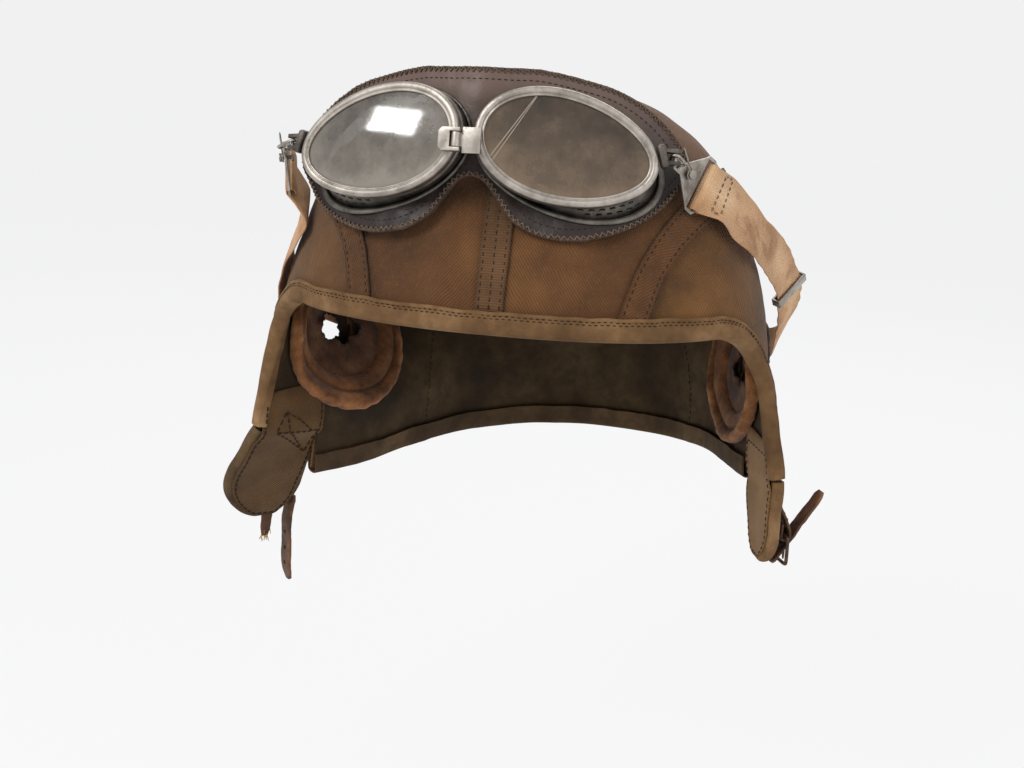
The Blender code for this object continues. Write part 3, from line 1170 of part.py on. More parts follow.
def build_hook(side, label, goggles, cup, pin):
    """Link on the lug pin, and the hook plate with its strap slide, rivet and keeper."""
    world = goggles.matrix_world
    hinge = add_empty(f"hook_{label}_hinge", cup.frame)
    hinge.matrix_local = cup.frame.matrix_world.inverted() @ world @ Matrix.Translation(pin)
    bpy.context.view_layer.update()
    hole = Vector((HOOK_SIDE if side > 0.0 else -HOOK_SIDE - HOOK_LEFT_OUT, HOOK_BACK, -HOOK_DROP))
    mirror = Matrix.Diagonal((side, 1.0, 1.0, 1.0))
    yaw = HOOK_YAW_RIGHT if side > 0.0 else HOOK_YAW_LEFT
    turn = Matrix.Rotation(math.radians(yaw), 4, "Z") @ Matrix.Rotation(math.radians(HOOK_PITCH), 4, "Y")
    turn = mirror @ turn @ Matrix.Rotation(math.radians(HOOK_ROLL), 4, "X") @ mirror
    corner = world @ (hole + turn @ Vector((side * HOOK_LENGTH, 0.0, -SLIDE_HALF)))
    hole += world.to_3x3().inverted() @ (pushed_out(corner, HOOK_CLEAR) - corner)
    run = hole - pin
    angle = math.atan2(run.y, run.x)
    flat = math.hypot(run.x, run.y)
    tip = math.asin(run.z / run.length)
    turned = Matrix.Rotation(angle, 4, "Z") @ Matrix.Rotation(-tip, 4, "Y")
    loop = [(LINK_NARROW * math.cos(a), LINK_NARROW * math.sin(a), 0.0)
            for a in steps(0.6 * math.pi, 1.4 * math.pi, 6)]
    reach = run.length
    loop += [(reach - LINK_CORNER, -LINK_WIDE, 0.0), (reach - LINK_CORNER * 0.3, -LINK_WIDE + LINK_CORNER * 0.3, 0.0),
             (reach, -LINK_WIDE + LINK_CORNER, 0.0), (reach, LINK_WIDE - LINK_CORNER, 0.0),
             (reach - LINK_CORNER * 0.3, LINK_WIDE - LINK_CORNER * 0.3, 0.0), (reach - LINK_CORNER, LINK_WIDE, 0.0)]
    wire(f"link_{label}", [turned @ Vector(p) for p in loop], LINK_WIRE, dull_metal(), hinge, closed=True, sides=2)
    place = Matrix.Translation(hole - pin) @ turn
    frame = add_empty(f"hook_{label}_frame", hinge)
    frame.matrix_local = place
    bpy.context.view_layer.update()
    slot_end = HOOK_LENGTH - SLIDE_BAR
    slot_start = slot_end - SLIDE_SLOT
    shape = [(-HOOK_TIP, HOOK_TIP_HALF * 0.5), (-HOOK_TIP * 0.5, HOOK_TIP_HALF), (HOOK_TIP * 1.2, HOOK_TIP_HALF),
             (slot_start - SLIDE_BAR, SLIDE_HALF * SLIDE_SHOULDER_SHARE), (slot_start, SLIDE_HALF), (HOOK_LENGTH - SLIDE_BAR, SLIDE_HALF),
             (HOOK_LENGTH, SLIDE_HALF - SLIDE_BAR)]
    shape += [(x, -z) for x, z in reversed(shape)]
    plates = [[Vector((side * x, y, z)) for x, z in shape] for y in (-HOOK_PLATE / 2.0, HOOK_PLATE / 2.0)]
    hook = add_object(f"hook_{label}", swept_mesh(f"hook_{label}", plates, False), dull_metal(), frame)
    slot = box_mesh(f"slot_{label}", (slot_start, -HOOK_PLATE, -SLIDE_HALF + SLIDE_BAR),
                    (slot_end, HOOK_PLATE, SLIDE_HALF - SLIDE_BAR), mirror)
    cut(hook, cutter_object(f"slot_{label}", slot, frame))
    across = Matrix.Rotation(math.pi / 2.0, 4, "X")
    hole_cut = cylinder_mesh(f"hook_hole_{label}", HOOK_HOLE_RADIUS, HOOK_PLATE * 3.0, across, 16)
    cut(hook, cutter_object(f"hook_hole_{label}", hole_cut, frame))
    rivet_x = slot_start * RIVET_PLACE_SHARE
    spot = Matrix.Translation((side * rivet_x, 0.0, 0.0))
    bore = cylinder_mesh(f"rivet_hole_{label}", RIVET_RADIUS + GAP, HOOK_PLATE * 3.0, spot @ across, 16)
    cut(hook, cutter_object(f"rivet_hole_{label}", bore, frame))
    shank = HOOK_PLATE + 2.0 * (GAP + GAP + 2.0 * KEEPER_WIRE + GAP)
    rivet = add_object(f"rivet_{label}", cylinder_mesh(f"rivet_{label}", RIVET_RADIUS, shank, spot @ across, 16),
                       dull_metal(), frame)
    for name, way in (("front", -1.0), ("back", 1.0)):
        head = Matrix.Translation((0.0, way * (shank / 2.0 + RIVET_HEAD / 2.0 - GAP / 2.0), 0.0)) @ spot @ across
        mesh = cylinder_mesh(f"rivet_{name}_{label}", RIVET_HEAD_RADIUS, RIVET_HEAD, head, 16)
        cut(rivet, cutter_object(f"rivet_{name}_{label}", mesh, frame), "UNION")
    keeper_frame = add_empty(f"keeper_{label}_hinge", frame, (side * rivet_x, 0.0, 0.0))
    y = -(HOOK_PLATE / 2.0 + GAP + GAP + KEEPER_WIRE)
    curl = RIVET_RADIUS + GAP + KEEPER_WIRE
    path = [(side * -curl * math.cos(a), y, curl * math.sin(a)) for a in steps(-0.80 * math.pi, 0.5 * math.pi, 9)]
    run, rise = (KEEPER_LENGTH * share for share in KEEPER_RUN_SHARES)
    path += [(side * -(curl + run * share), y, curl + rise * share) for share in steps(0.0, 1.0, 4)[1:]]
    wire(f"keeper_{label}", path, KEEPER_WIRE, dull_metal(), keeper_frame)
    cup.hook_frame = frame
    cup.slot_middle = (slot_start + slot_end) / 2.0


def build_goggles():
    """Goggles on their swing hinge, with the left cup on the hinged bridge."""
    swing = add_empty("goggles_hinge", None, (0.0, SWING_BACK, -SWING_DEPTH))
    goggles = add_empty("goggles_frame", swing, Vector((GOGGLES_SIDE, -GOGGLES_FORWARD, -GOGGLES_DEPTH))
                        - Vector((0.0, SWING_BACK, -SWING_DEPTH)), (-GOGGLES_TILT, GOGGLES_ROLL, GOGGLES_YAW))
    fold = add_empty("bridge_hinge", goggles, (-BARREL_SIDE, -(RIM_FRONT + GAP + BARREL_RADIUS), 0.0))
    cups = [Cup(-1.0, goggles, fold), Cup(1.0, goggles, goggles)]
    for _ in range(4):
        goggles.location.y -= max(0.0, CUP_LEAST - min(cup.least_depth() for cup in cups))
        bpy.context.view_layer.update()
        for cup in cups:
            cup.goggles = goggles.matrix_world.copy()
    for cup in cups:
        build_cup(cup)
        build_temple(cup, goggles)
    build_mask(cups, goggles)
    build_bridge(goggles, fold)
    return swing, cups


# Elastic strap

def strap_side(side):
    """Upper and lower edge points of the strap from a slide to the nape, in world places."""
    upper, lower = [], []
    if side > 0.0:
        for top, foot in zip(STRAP_UPPER_SHARES, STRAP_LOWER_SHARES):
            for edge, share in ((upper, top), (lower, foot)):
                edge.append(Vector((share[0] * DOME_HALF_WIDTH, share[1] * DOME_FRONT, share[2] * DOME_HEIGHT)))
    laid = (STRAP_LEFT_SHARES if side < 0.0 else ()) + STRAP_BACK_SHARES
    middles = [cloth(side * u, h, STRAP_LIFT) for u, h in laid]
    for i, (u, h) in enumerate(laid):
        tangent = (middles[min(i + 1, len(laid) - 1)] - middles[max(i - 1, 0)]).normalized()
        across = tangent.cross(hood_normal(side * u, h)).normalized() * (-side * STRAP_WIDTH / 2.0)
        upper.append(middles[i] + across)
        lower.append(middles[i] - across)
    return upper, lower


def strap_rows(upper, lower):
    """Rows of a strap between its two edges."""
    count = (len(upper) - 1) * STRAP_STEPS
    return [[spline(upper, share), spline(upper, share).lerp(spline(lower, share), 0.5), spline(lower, share)]
            for share in steps(0.0, 1.0, count)]


def pushed_out(place, clear):
    """The place, or the place moved level out of the hood until it stands clear of the cloth."""
    short = clear - hood_clearance(place)
    if not 0.0 < short < STRAP_WIDTH:
        return place
    return place + Vector((place.x, place.y + WIDEST_FORWARD, 0.0)).normalized() * short


def build_strap(swing, cups):
    """Elastic strap: an end folded through each slide, the long back part, and the adjuster on the right."""
    to_swing = swing.matrix_world.inverted()
    sides = {}
    for cup in cups:
        upper, lower = strap_side(cup.side)
        frame = cup.hook_frame.matrix_world
        bar = cup.slot_middle + SLIDE_SLOT / 2.0 + SLIDE_BAR / 2.0
        loop = math.hypot(SLIDE_BAR, HOOK_PLATE) / 2.0 + GAP + STRAP / 2.0
        path = [(bar + STRAP_FOLD * share, loop) for share in (1.0, 0.5, 0.0)]
        path += [(bar - loop * math.sin(a), loop * math.cos(a)) for a in steps(0.0, math.pi, 8)[1:]]
        path.append((bar + loop, -loop))
        rows = []
        for x, y in path:
            ends = [frame @ Vector((cup.side * x, y, z)) for z in (STRAP_WIDTH / 2.0, 0.0, -STRAP_WIDTH / 2.0)]
            rows.append(ends)
        start_upper, start_lower = [rows[-1][0]] + upper, [rows[-1][2]] + lower
        full = strap_rows(start_upper, start_lower)
        full = full[:1] + [[pushed_out(place, STRAP_LIFT) for place in row] for row in full[1:]]
        split = (STRAP_SPLIT + 1) * STRAP_STEPS
        rows += full[1:split + 1]
        rows = [[to_swing @ place for place in row] for row in rows]
        name = f"strap_{cup.label}"
        mesh = grid_mesh(name, [rows], (0.0, 0.0, 0.0))
        obj = add_object(name, mesh, webbing(), swing)
        wall = obj.modifiers.new("Thickness", "SOLIDIFY")
        wall.thickness, wall.offset = STRAP, 0.0
        sides[cup.label] = full[split:]
    for rows in sides.values():
        clear = GAP / (rows[1][1] - rows[0][1]).length
        rows[0] = [place.lerp(after, clear) for place, after in zip(rows[0], rows[1])]
    rows = sides["right"] + list(reversed(sides["left"][:-1]))
    obj = add_object("strap_back", grid_mesh("strap_back", [rows], (0.0, 0.0, -BROW_DEPTH)), webbing())
    wall = obj.modifiers.new("Thickness", "SOLIDIFY")
    wall.thickness, wall.offset = STRAP, 0.0
    build_adjuster(sides["right"])


def build_adjuster(rows):
    """Metal slider round the strap on the right."""
    row = rows[ADJUSTER_ROW]
    across = (row[0] - row[-1]).normalized()
    along = (rows[ADJUSTER_ROW + 1][1] - rows[ADJUSTER_ROW - 1][1]).normalized()
    outward = across.cross(along).normalized()
    half_wide, half_thick = STRAP_WIDTH / 2.0 + GAP + GAP, STRAP / 2.0 + GAP + GAP
    sections = []
    for x, y in ((-1.0, -1.0), (1.0, -1.0), (1.0, 1.0), (-1.0, 1.0)):
        inner = row[1] + across * (half_wide * x) + outward * (half_thick * y)
        outer = inner + across * (ADJUSTER_WALL * x) + outward * (ADJUSTER_WALL * y)
        half = along * (ADJUSTER_LENGTH / 2.0)
        sections.append([inner - half, outer - half, outer + half, inner + half])
    add_object("strap_adjuster", swept_mesh("strap_adjuster", sections, True), dull_metal())


parts = bpy.data.collections.new("Flying helmet with goggles")
cutters = bpy.data.collections.new("Cutters")


def main():
    """Build every piece of the helmet and the goggles."""
    for old in list(bpy.data.objects):
        bpy.data.objects.remove(old, do_unlink=True)
    bpy.context.scene.collection.children.link(parts)
    bpy.context.scene.collection.children.link(cutters)
    build_panels()
    build_lining()
    build_trims()
    build_ears()
    build_left_flap()
    build_right_flap()
    build_strap(*build_goggles())


main()
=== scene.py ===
"""Dressed model of a worn cloth flying helmet with framed goggles on its brow.

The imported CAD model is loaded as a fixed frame. The cloth, leather, webbing, stitching and
the turned metal of the goggles are modelled here at full detail in the CAD model's places,
and the small fittings keep their CAD shape under procedural finishes. Metres, +Z up; the
wearer would look along -Y, and left and right are as seen from the front.
"""
import json
import logging
import math
from dataclasses import dataclass
from enum import Enum

import bpy
import numpy as np
from mathutils import Matrix, Vector
from mathutils.kdtree import KDTree

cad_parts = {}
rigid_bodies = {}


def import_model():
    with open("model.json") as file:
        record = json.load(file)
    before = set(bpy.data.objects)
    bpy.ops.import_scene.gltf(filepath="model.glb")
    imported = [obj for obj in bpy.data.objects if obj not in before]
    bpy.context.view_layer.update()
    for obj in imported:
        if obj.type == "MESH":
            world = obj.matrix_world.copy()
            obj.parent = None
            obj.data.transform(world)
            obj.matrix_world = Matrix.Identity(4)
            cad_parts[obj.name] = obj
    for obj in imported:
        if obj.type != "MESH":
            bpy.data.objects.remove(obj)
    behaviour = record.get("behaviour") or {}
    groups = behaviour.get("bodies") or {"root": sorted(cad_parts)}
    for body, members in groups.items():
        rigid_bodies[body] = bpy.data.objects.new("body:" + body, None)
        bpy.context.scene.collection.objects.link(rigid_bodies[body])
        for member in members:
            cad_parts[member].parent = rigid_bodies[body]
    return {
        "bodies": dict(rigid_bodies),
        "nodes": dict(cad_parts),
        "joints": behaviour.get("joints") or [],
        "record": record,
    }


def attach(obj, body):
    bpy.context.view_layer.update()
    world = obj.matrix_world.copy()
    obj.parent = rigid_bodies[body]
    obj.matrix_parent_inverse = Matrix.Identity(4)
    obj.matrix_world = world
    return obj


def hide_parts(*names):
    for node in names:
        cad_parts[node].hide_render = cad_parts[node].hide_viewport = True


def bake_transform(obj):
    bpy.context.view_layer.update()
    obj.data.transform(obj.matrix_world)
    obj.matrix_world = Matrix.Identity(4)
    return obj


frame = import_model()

log = logging.getLogger("flying_helmet")

# Space between pieces that touch, and the step of slopes on the hood's surface, in metres.
GAP = 0.0003
STEP = 0.001
# Way round and way down of the middle of each ear, as a flat place of the hood.
EAR_PLACE = (0.596, 1.41)
# Frames for which a stuffed piece is simulated.
PUFF_FRAMES = 20
DOWNWARDS = np.array((0.0, 0.0, -1.0))
WELD = 0.00001


def linear(colour: str) -> tuple[float, float, float, float]:
    """Turn an sRGB hex colour into linear light.

    Args:
        colour: six hex digits.

    Returns:
        Red, green, blue and an alpha of one.
    """
    parts = [int(colour[i:i + 2], 16) / 255.0 for i in (0, 2, 4)]
    red, green, blue = (p / 12.92 if p <= 0.04045 else ((p + 0.055) / 1.055) ** 2.4 for p in parts)
    return red, green, blue, 1.0


def add(tree: bpy.types.NodeTree, kind: str, settings: dict | None = None,
        links: dict | None = None) -> bpy.types.Node:
    """Add one node with its settings and its incoming links.

    Args:
        tree: node tree that gets the node.
        kind: node type.
        settings: node properties, or values of inputs by name or number.
        links: output sockets by the name or number of the input that they feed.

    Returns:
        The new node.
    """
    node = tree.nodes.new(kind)
    for key, value in (settings or {}).items():
        if isinstance(key, str) and key not in node.inputs and hasattr(node, key):
            setattr(node, key, value)
        else:
            node.inputs[key].default_value = value
    for key, output in (links or {}).items():
        tree.links.new(output, node.inputs[key])
    return node


def ramp(tree: bpy.types.NodeTree, factor: bpy.types.NodeSocket,
         stops: list[tuple[float, str]]) -> bpy.types.NodeSocket:
    """Map a factor to colours.

    Args:
        tree: node tree.
        factor: value from 0 to 1.
        stops: places and hex colours in order.

    Returns:
        The colour output.
    """
    node = add(tree, "ShaderNodeValToRGB", links={"Fac": factor})
    band = node.color_ramp
    while len(band.elements) < len(stops):
        band.elements.new(0.5)
    for element, (place, colour) in zip(band.elements, stops):
        element.position = place
        element.color = linear(colour)
    return node.outputs["Color"]


def noise(tree: bpy.types.NodeTree, vector: bpy.types.NodeSocket, size_mm: float, detail: float = 3.0,
          rough: float = 0.5) -> bpy.types.NodeSocket:
    """Cloudy pattern with features of a real size.

    Args:
        tree: node tree.
        vector: coordinates in metres.
        size_mm: size of one feature in millimetres.
        detail: octaves.
        rough: share of each next octave.

    Returns:
        The factor output.
    """
    settings = {"Scale": 1000.0 / size_mm, "Detail": detail, "Roughness": rough}
    return add(tree, "ShaderNodeTexNoise", settings, {"Vector": vector}).outputs["Fac"]


def math_node(tree: bpy.types.NodeTree, operation: str, first: object, second: object = None,
              clamp: bool = False) -> bpy.types.NodeSocket:
    """Arithmetic on sockets or numbers.

    Args:
        tree: node tree.
        operation: name of the operation.
        first: socket or number.
        second: socket or number.
        clamp: keep the result from 0 to 1.

    Returns:
        The result.
    """
    settings, links = {"operation": operation, "use_clamp": clamp}, {}
    for i, value in enumerate((first, second)):
        if isinstance(value, bpy.types.NodeSocket):
            links[i] = value
        elif value is not None:
            settings[i] = value
    return add(tree, "ShaderNodeMath", settings, links).outputs[0]


def mix(tree: bpy.types.NodeTree, factor: object, first: object, second: object,
        blend: str = "MIX") -> bpy.types.NodeSocket:
    """Mix two colours.

    Args:
        tree: node tree.
        factor: socket or number.
        first: socket or hex colour.
        second: socket or hex colour.
        blend: way of mixing.

    Returns:
        The mixed colour.
    """
    node = add(tree, "ShaderNodeMix", {"data_type": "RGBA", "blend_type": blend})
    for key, value in ((0, factor), (6, first), (7, second)):
        if isinstance(value, bpy.types.NodeSocket):
            tree.links.new(value, node.inputs[key])
        else:
            node.inputs[key].default_value = linear(value) if isinstance(value, str) else value
    return node.outputs[2]


def spots(tree: bpy.types.NodeTree, pattern: bpy.types.NodeSocket, low: float,
          high: float) -> bpy.types.NodeSocket:
    """Bright places of a pattern: 0 below one value and 1 above another."""
    return ramp(tree, pattern, [(low, "000000"), (high, "ffffff")])


def tint(tree: bpy.types.NodeTree, base: bpy.types.NodeSocket, where: bpy.types.NodeSocket, amount: float,
         colour: str) -> bpy.types.NodeSocket:
    """Lay a colour over a base.

    Args:
        tree: node tree.
        base: colour below.
        where: from 0 to 1, how far each place is covered.
        amount: share of that cover that is used.
        colour: hex colour.

    Returns:
        The new colour.
    """
    return mix(tree, math_node(tree, "MULTIPLY", where, amount), base, colour)


class Coordinates(Enum):
    """Where a pattern is laid out."""

    OBJECT = "Object"
    CLOTH = "UV"


@dataclass(frozen=True)
class Finish:
    """Surface finish that builds one procedural material."""

    name: str
    slot: str
    roughness: float = 0.8

    def material(self) -> bpy.types.Material:
        """Make the material once and return it."""
        made = bpy.data.materials.get(self.name)
        if made:
            return made
        made = bpy.data.materials.new(self.name)
        made.use_nodes = True
        tree = made.node_tree
        shader = tree.nodes["Principled BSDF"]
        shader.inputs["Roughness"].default_value = self.roughness
        self.dress(tree, shader)
        return made

    def dress(self, tree: bpy.types.NodeTree, shader: bpy.types.Node) -> None:
        """Give the shader its colour and relief."""

    def vector(self, tree: bpy.types.NodeTree, where: Coordinates) -> bpy.types.NodeSocket:
        """Coordinates in metres."""
        return add(tree, "ShaderNodeTexCoord").outputs[where.value]

    def relief(self, tree: bpy.types.NodeTree, shader: bpy.types.Node, height: bpy.types.NodeSocket,
               depth_mm: float,
               under: bpy.types.NodeSocket | None = None) -> bpy.types.NodeSocket:
        """Bump of a real depth, feeding the shader's normal."""
        links = {"Height": height}
        if under is not None:
            links["Normal"] = under
        bump = add(tree, "ShaderNodeBump", {"Strength": 1.0, "Distance": depth_mm / 1000.0}, links)
        tree.links.new(bump.outputs["Normal"], shader.inputs["Normal"])
        return bump.outputs["Normal"]

    def ribs(self, tree: bpy.types.NodeTree, vector: bpy.types.NodeSocket, pitch_mm: float,
             angle: float) -> bpy.types.NodeSocket:
        """Parallel ribs at a real pitch, from 0 to 1 across each."""
        split = add(tree, "ShaderNodeSeparateXYZ", links={0: vector})
        turn = math.radians(angle)
        rate = 2.0 * math.pi * 1000.0 / pitch_mm
        x = math_node(tree, "MULTIPLY", split.outputs[0], math.cos(turn) * rate)
        y = math_node(tree, "MULTIPLY", split.outputs[1], math.sin(turn) * rate)
        wave = math_node(tree, "SINE", math_node(tree, "ADD", x, y))
        return math_node(tree, "MULTIPLY_ADD", wave, 0.5)


@dataclass(frozen=True)
class CottonTwill(Finish):
    """Woven cotton twill: diagonal ribs drawn 1.1 mm apart, stains and worn pale places."""

    ground: str = "6a4526"
    dark: str = "4a3019"
    pale: str = "875d34"
    stain: str = "2f1e10"
    rib_mm: float = 1.1
    rib_angle: float = 40.0

    def dress(self, tree: bpy.types.NodeTree, shader: bpy.types.Node) -> None:
        """Ribs, thread flecks, broad stains and darker seams."""
        cloth, place = self.vector(tree, Coordinates.CLOTH), self.vector(tree, Coordinates.OBJECT)
        wobble = noise(tree, place, 14.0, 2.0)
        bent = add(tree, "ShaderNodeVectorMath", {"operation": "ADD"}, {0: cloth})
        tree.links.new(add(tree, "ShaderNodeCombineXYZ",
                           links={0: math_node(tree, "MULTIPLY", wobble, 0.004)}).outputs[0],
                       bent.inputs[1])
        rib = self.ribs(tree, bent.outputs[0], self.rib_mm, self.rib_angle)
        cross = self.ribs(tree, bent.outputs[0], self.rib_mm * 0.62, self.rib_angle + 90.0)
        weave = math_node(tree, "ADD", math_node(tree, "MULTIPLY", rib, 0.75),
                          math_node(tree, "MULTIPLY", cross, 0.25))
        broad = noise(tree, place, 62.0, 4.0, 0.6)
        patch = noise(tree, place, 17.0, 5.0, 0.62)
        fleck = noise(tree, place, 1.6, 3.0, 0.7)
        base = ramp(tree, broad, [(0.30, self.dark), (0.5, self.ground), (0.70, self.pale)])
        base = tint(tree, base, spots(tree, patch, 0.52, 0.76), 0.4, self.stain)
        base = tint(tree, base, spots(tree, fleck, 0.52, 0.75), 0.35, self.pale)
        base = tint(tree, base, math_node(tree, "SUBTRACT", 1.0, weave), 0.5, self.stain)
        seam = add(tree, "ShaderNodeAttribute", {"attribute_name": "seam"}).outputs["Fac"]
        soot = math_node(tree, "MULTIPLY", seam, math_node(tree, "ADD", patch, 0.1), True)
        base = tint(tree, base, soot, 0.75, self.stain)
        tree.links.new(base, shader.inputs["Base Color"])
        shader.inputs["Sheen Weight"].default_value = 0.12
        shader.inputs["Specular IOR Level"].default_value = 0.25
        fuzz = self.relief(tree, shader, noise(tree, place, 0.7, 2.0), 0.12)
        self.relief(tree, shader, weave, 0.22, fuzz)


@dataclass(frozen=True)
class PlainCloth(Finish):
    """Close plain weave, such as lining, tape and binding, rubbed pale on its folds."""

    ground: str = "6d5232"
    dark: str = "4a361f"
    pale: str = "957450"
    thread_mm: float = 0.7

    def dress(self, tree: bpy.types.NodeTree, shader: bpy.types.Node) -> None:
        """Plain weave with grime and rubbed places."""
        place = self.vector(tree, Coordinates.OBJECT)
        cloth = self.vector(tree, Coordinates.CLOTH)
        warp, weft = (self.ribs(tree, cloth, self.thread_mm, 0.0),
                      self.ribs(tree, cloth, self.thread_mm, 90.0))
        weave = math_node(tree, "MULTIPLY", warp, weft)
        broad, patch = noise(tree, place, 34.0, 4.0, 0.6), noise(tree, place, 7.0, 5.0, 0.65)
        base = ramp(tree, broad, [(0.33, self.dark), (0.5, self.ground), (0.68, self.pale)])
        base = tint(tree, base, spots(tree, patch, 0.46, 0.7), 0.6, self.dark)
        base = tint(tree, base, math_node(tree, "SUBTRACT", 1.0, weave), 0.3, self.dark)
        tree.links.new(base, shader.inputs["Base Color"])
        shader.inputs["Specular IOR Level"].default_value = 0.25
        fuzz = self.relief(tree, shader, noise(tree, place, 0.8, 2.0), 0.10)
        self.relief(tree, shader, weave, 0.15, fuzz)


@dataclass(frozen=True)
class Suede(Finish):
    """Chamois leather: a napped tan face gone brown with sweat, cracked in places."""

    ground: str = "8a5c38"
    dark: str = "4a2c18"
    pale: str = "b58257"

    def dress(self, tree: bpy.types.NodeTree, shader: bpy.types.Node) -> None:
        """Mottled nap with small cracks."""
        place = self.vector(tree, Coordinates.OBJECT)
        broad, patch = noise(tree, place, 16.0, 5.0, 0.62), noise(tree, place, 3.5, 4.0, 0.6)
        base = ramp(tree, broad, [(0.36, self.dark), (0.52, self.ground), (0.7, self.pale)])
        base = tint(tree, base, spots(tree, patch, 0.48, 0.7), 0.45, self.dark)
        grime = add(tree, "ShaderNodeAttribute", {"attribute_name": "seam"}).outputs["Fac"]
        base = tint(tree, base, grime, 0.8, self.dark)
        crack = add(tree, "ShaderNodeTexVoronoi", {"feature": "DISTANCE_TO_EDGE", "Scale": 420.0},
                    {"Vector": place})
        line = ramp(tree, crack.outputs["Distance"], [(0.0, "000000"), (0.09, "ffffff")])
        tree.links.new(base, shader.inputs["Base Color"])
        shader.inputs["Sheen Weight"].default_value = 0.15
        shader.inputs["Specular IOR Level"].default_value = 0.2
        nap = self.relief(tree, shader, noise(tree, place, 0.9, 4.0, 0.7), 0.35)
        self.relief(tree, shader, line, 0.12, nap)


@dataclass(frozen=True)
class GrainLeather(Finish):
    """Smooth vegetable-tanned leather: fine pebble grain, soft sheen, scuffs on its high places."""

    ground: str = "3a2a27"
    dark: str = "231917"
    pale: str = "5c4742"
    grain_mm: float = 0.9
    scuff: float = 0.4
    # Share of painted sheen: a pale grey-mauve mixed into the colour towards the top.
    fade: float = 0.0

    def dress(self, tree: bpy.types.NodeTree, shader: bpy.types.Node) -> None:
        """Pebble grain, creases and scuffs."""
        place = self.vector(tree, Coordinates.OBJECT)
        broad, patch = noise(tree, place, 30.0, 4.0, 0.6), noise(tree, place, 5.0, 5.0, 0.6)
        base = ramp(tree, broad, [(0.35, self.dark), (0.5, self.ground), (0.68, self.pale)])
        scuffs = spots(tree, patch, 0.56, 0.74)
        base = tint(tree, base, scuffs, self.scuff, self.pale)
        # Painted sheen: the colour is mixed with a pale grey-mauve towards the top, standing in for light on
        # the leather.
        if self.fade:
            high = add(tree, "ShaderNodeAttribute", {"attribute_name": "high"}).outputs["Fac"]
            high = math_node(tree, "MULTIPLY", math_node(tree, "MAXIMUM", high, 0.0), self.fade, True)
            base = mix(tree, high, base, "7d675d")
        tree.links.new(base, shader.inputs["Base Color"])
        rough = math_node(tree, "MULTIPLY_ADD", patch, 0.22)
        rough.node.inputs[2].default_value = self.roughness - 0.12
        tree.links.new(rough, shader.inputs["Roughness"])
        shader.inputs["Specular IOR Level"].default_value = 0.35
        pebble = add(tree, "ShaderNodeTexVoronoi", {"feature": "F1", "Scale": 1000.0 / self.grain_mm},
                     {"Vector": place})
        crease = self.relief(tree, shader, noise(tree, place, 6.0, 3.0, 0.6), 0.35)
        self.relief(tree, shader, pebble.outputs["Distance"], 0.05, crease)


@dataclass(frozen=True)
class WornMetal(Finish):
    """Drawn or stamped metal: fine random scratches, dull oxide and pitted spots."""

    bright: str = "cfcac4"
    dull: str = "8c8782"
    spot: str = "3b3632"
    oxide: float = 0.5
    metallic: float = 1.0

    def dress(self, tree: bpy.types.NodeTree, shader: bpy.types.Node) -> None:
        """Oxide clouds, pits and scratches."""
        place = self.vector(tree, Coordinates.OBJECT)
        cloud, fine = noise(tree, place, 9.0, 5.0, 0.6), noise(tree, place, 1.7, 4.0, 0.65)
        base = ramp(tree, cloud, [(0.35, self.dull), (0.62, self.bright)])
        pits = spots(tree, fine, 0.6, 0.7)
        base = tint(tree, base, pits, self.oxide, self.spot)
        tree.links.new(base, shader.inputs["Base Color"])
        shader.inputs["Metallic"].default_value = self.metallic
        rough = math_node(tree, "MULTIPLY_ADD", fine, 0.35)
        rough.node.inputs[2].default_value = self.roughness - 0.15
        tree.links.new(rough, shader.inputs["Roughness"])
        stretch = add(tree, "ShaderNodeMapping", {"Scale": (1.0, 1.0, 9.0)}, {"Vector": place})
        scratch = self.relief(tree, shader, noise(tree, stretch.outputs[0], 1.4, 3.0, 0.6), 0.02)
        self.relief(tree, shader, fine, 0.04, scratch)


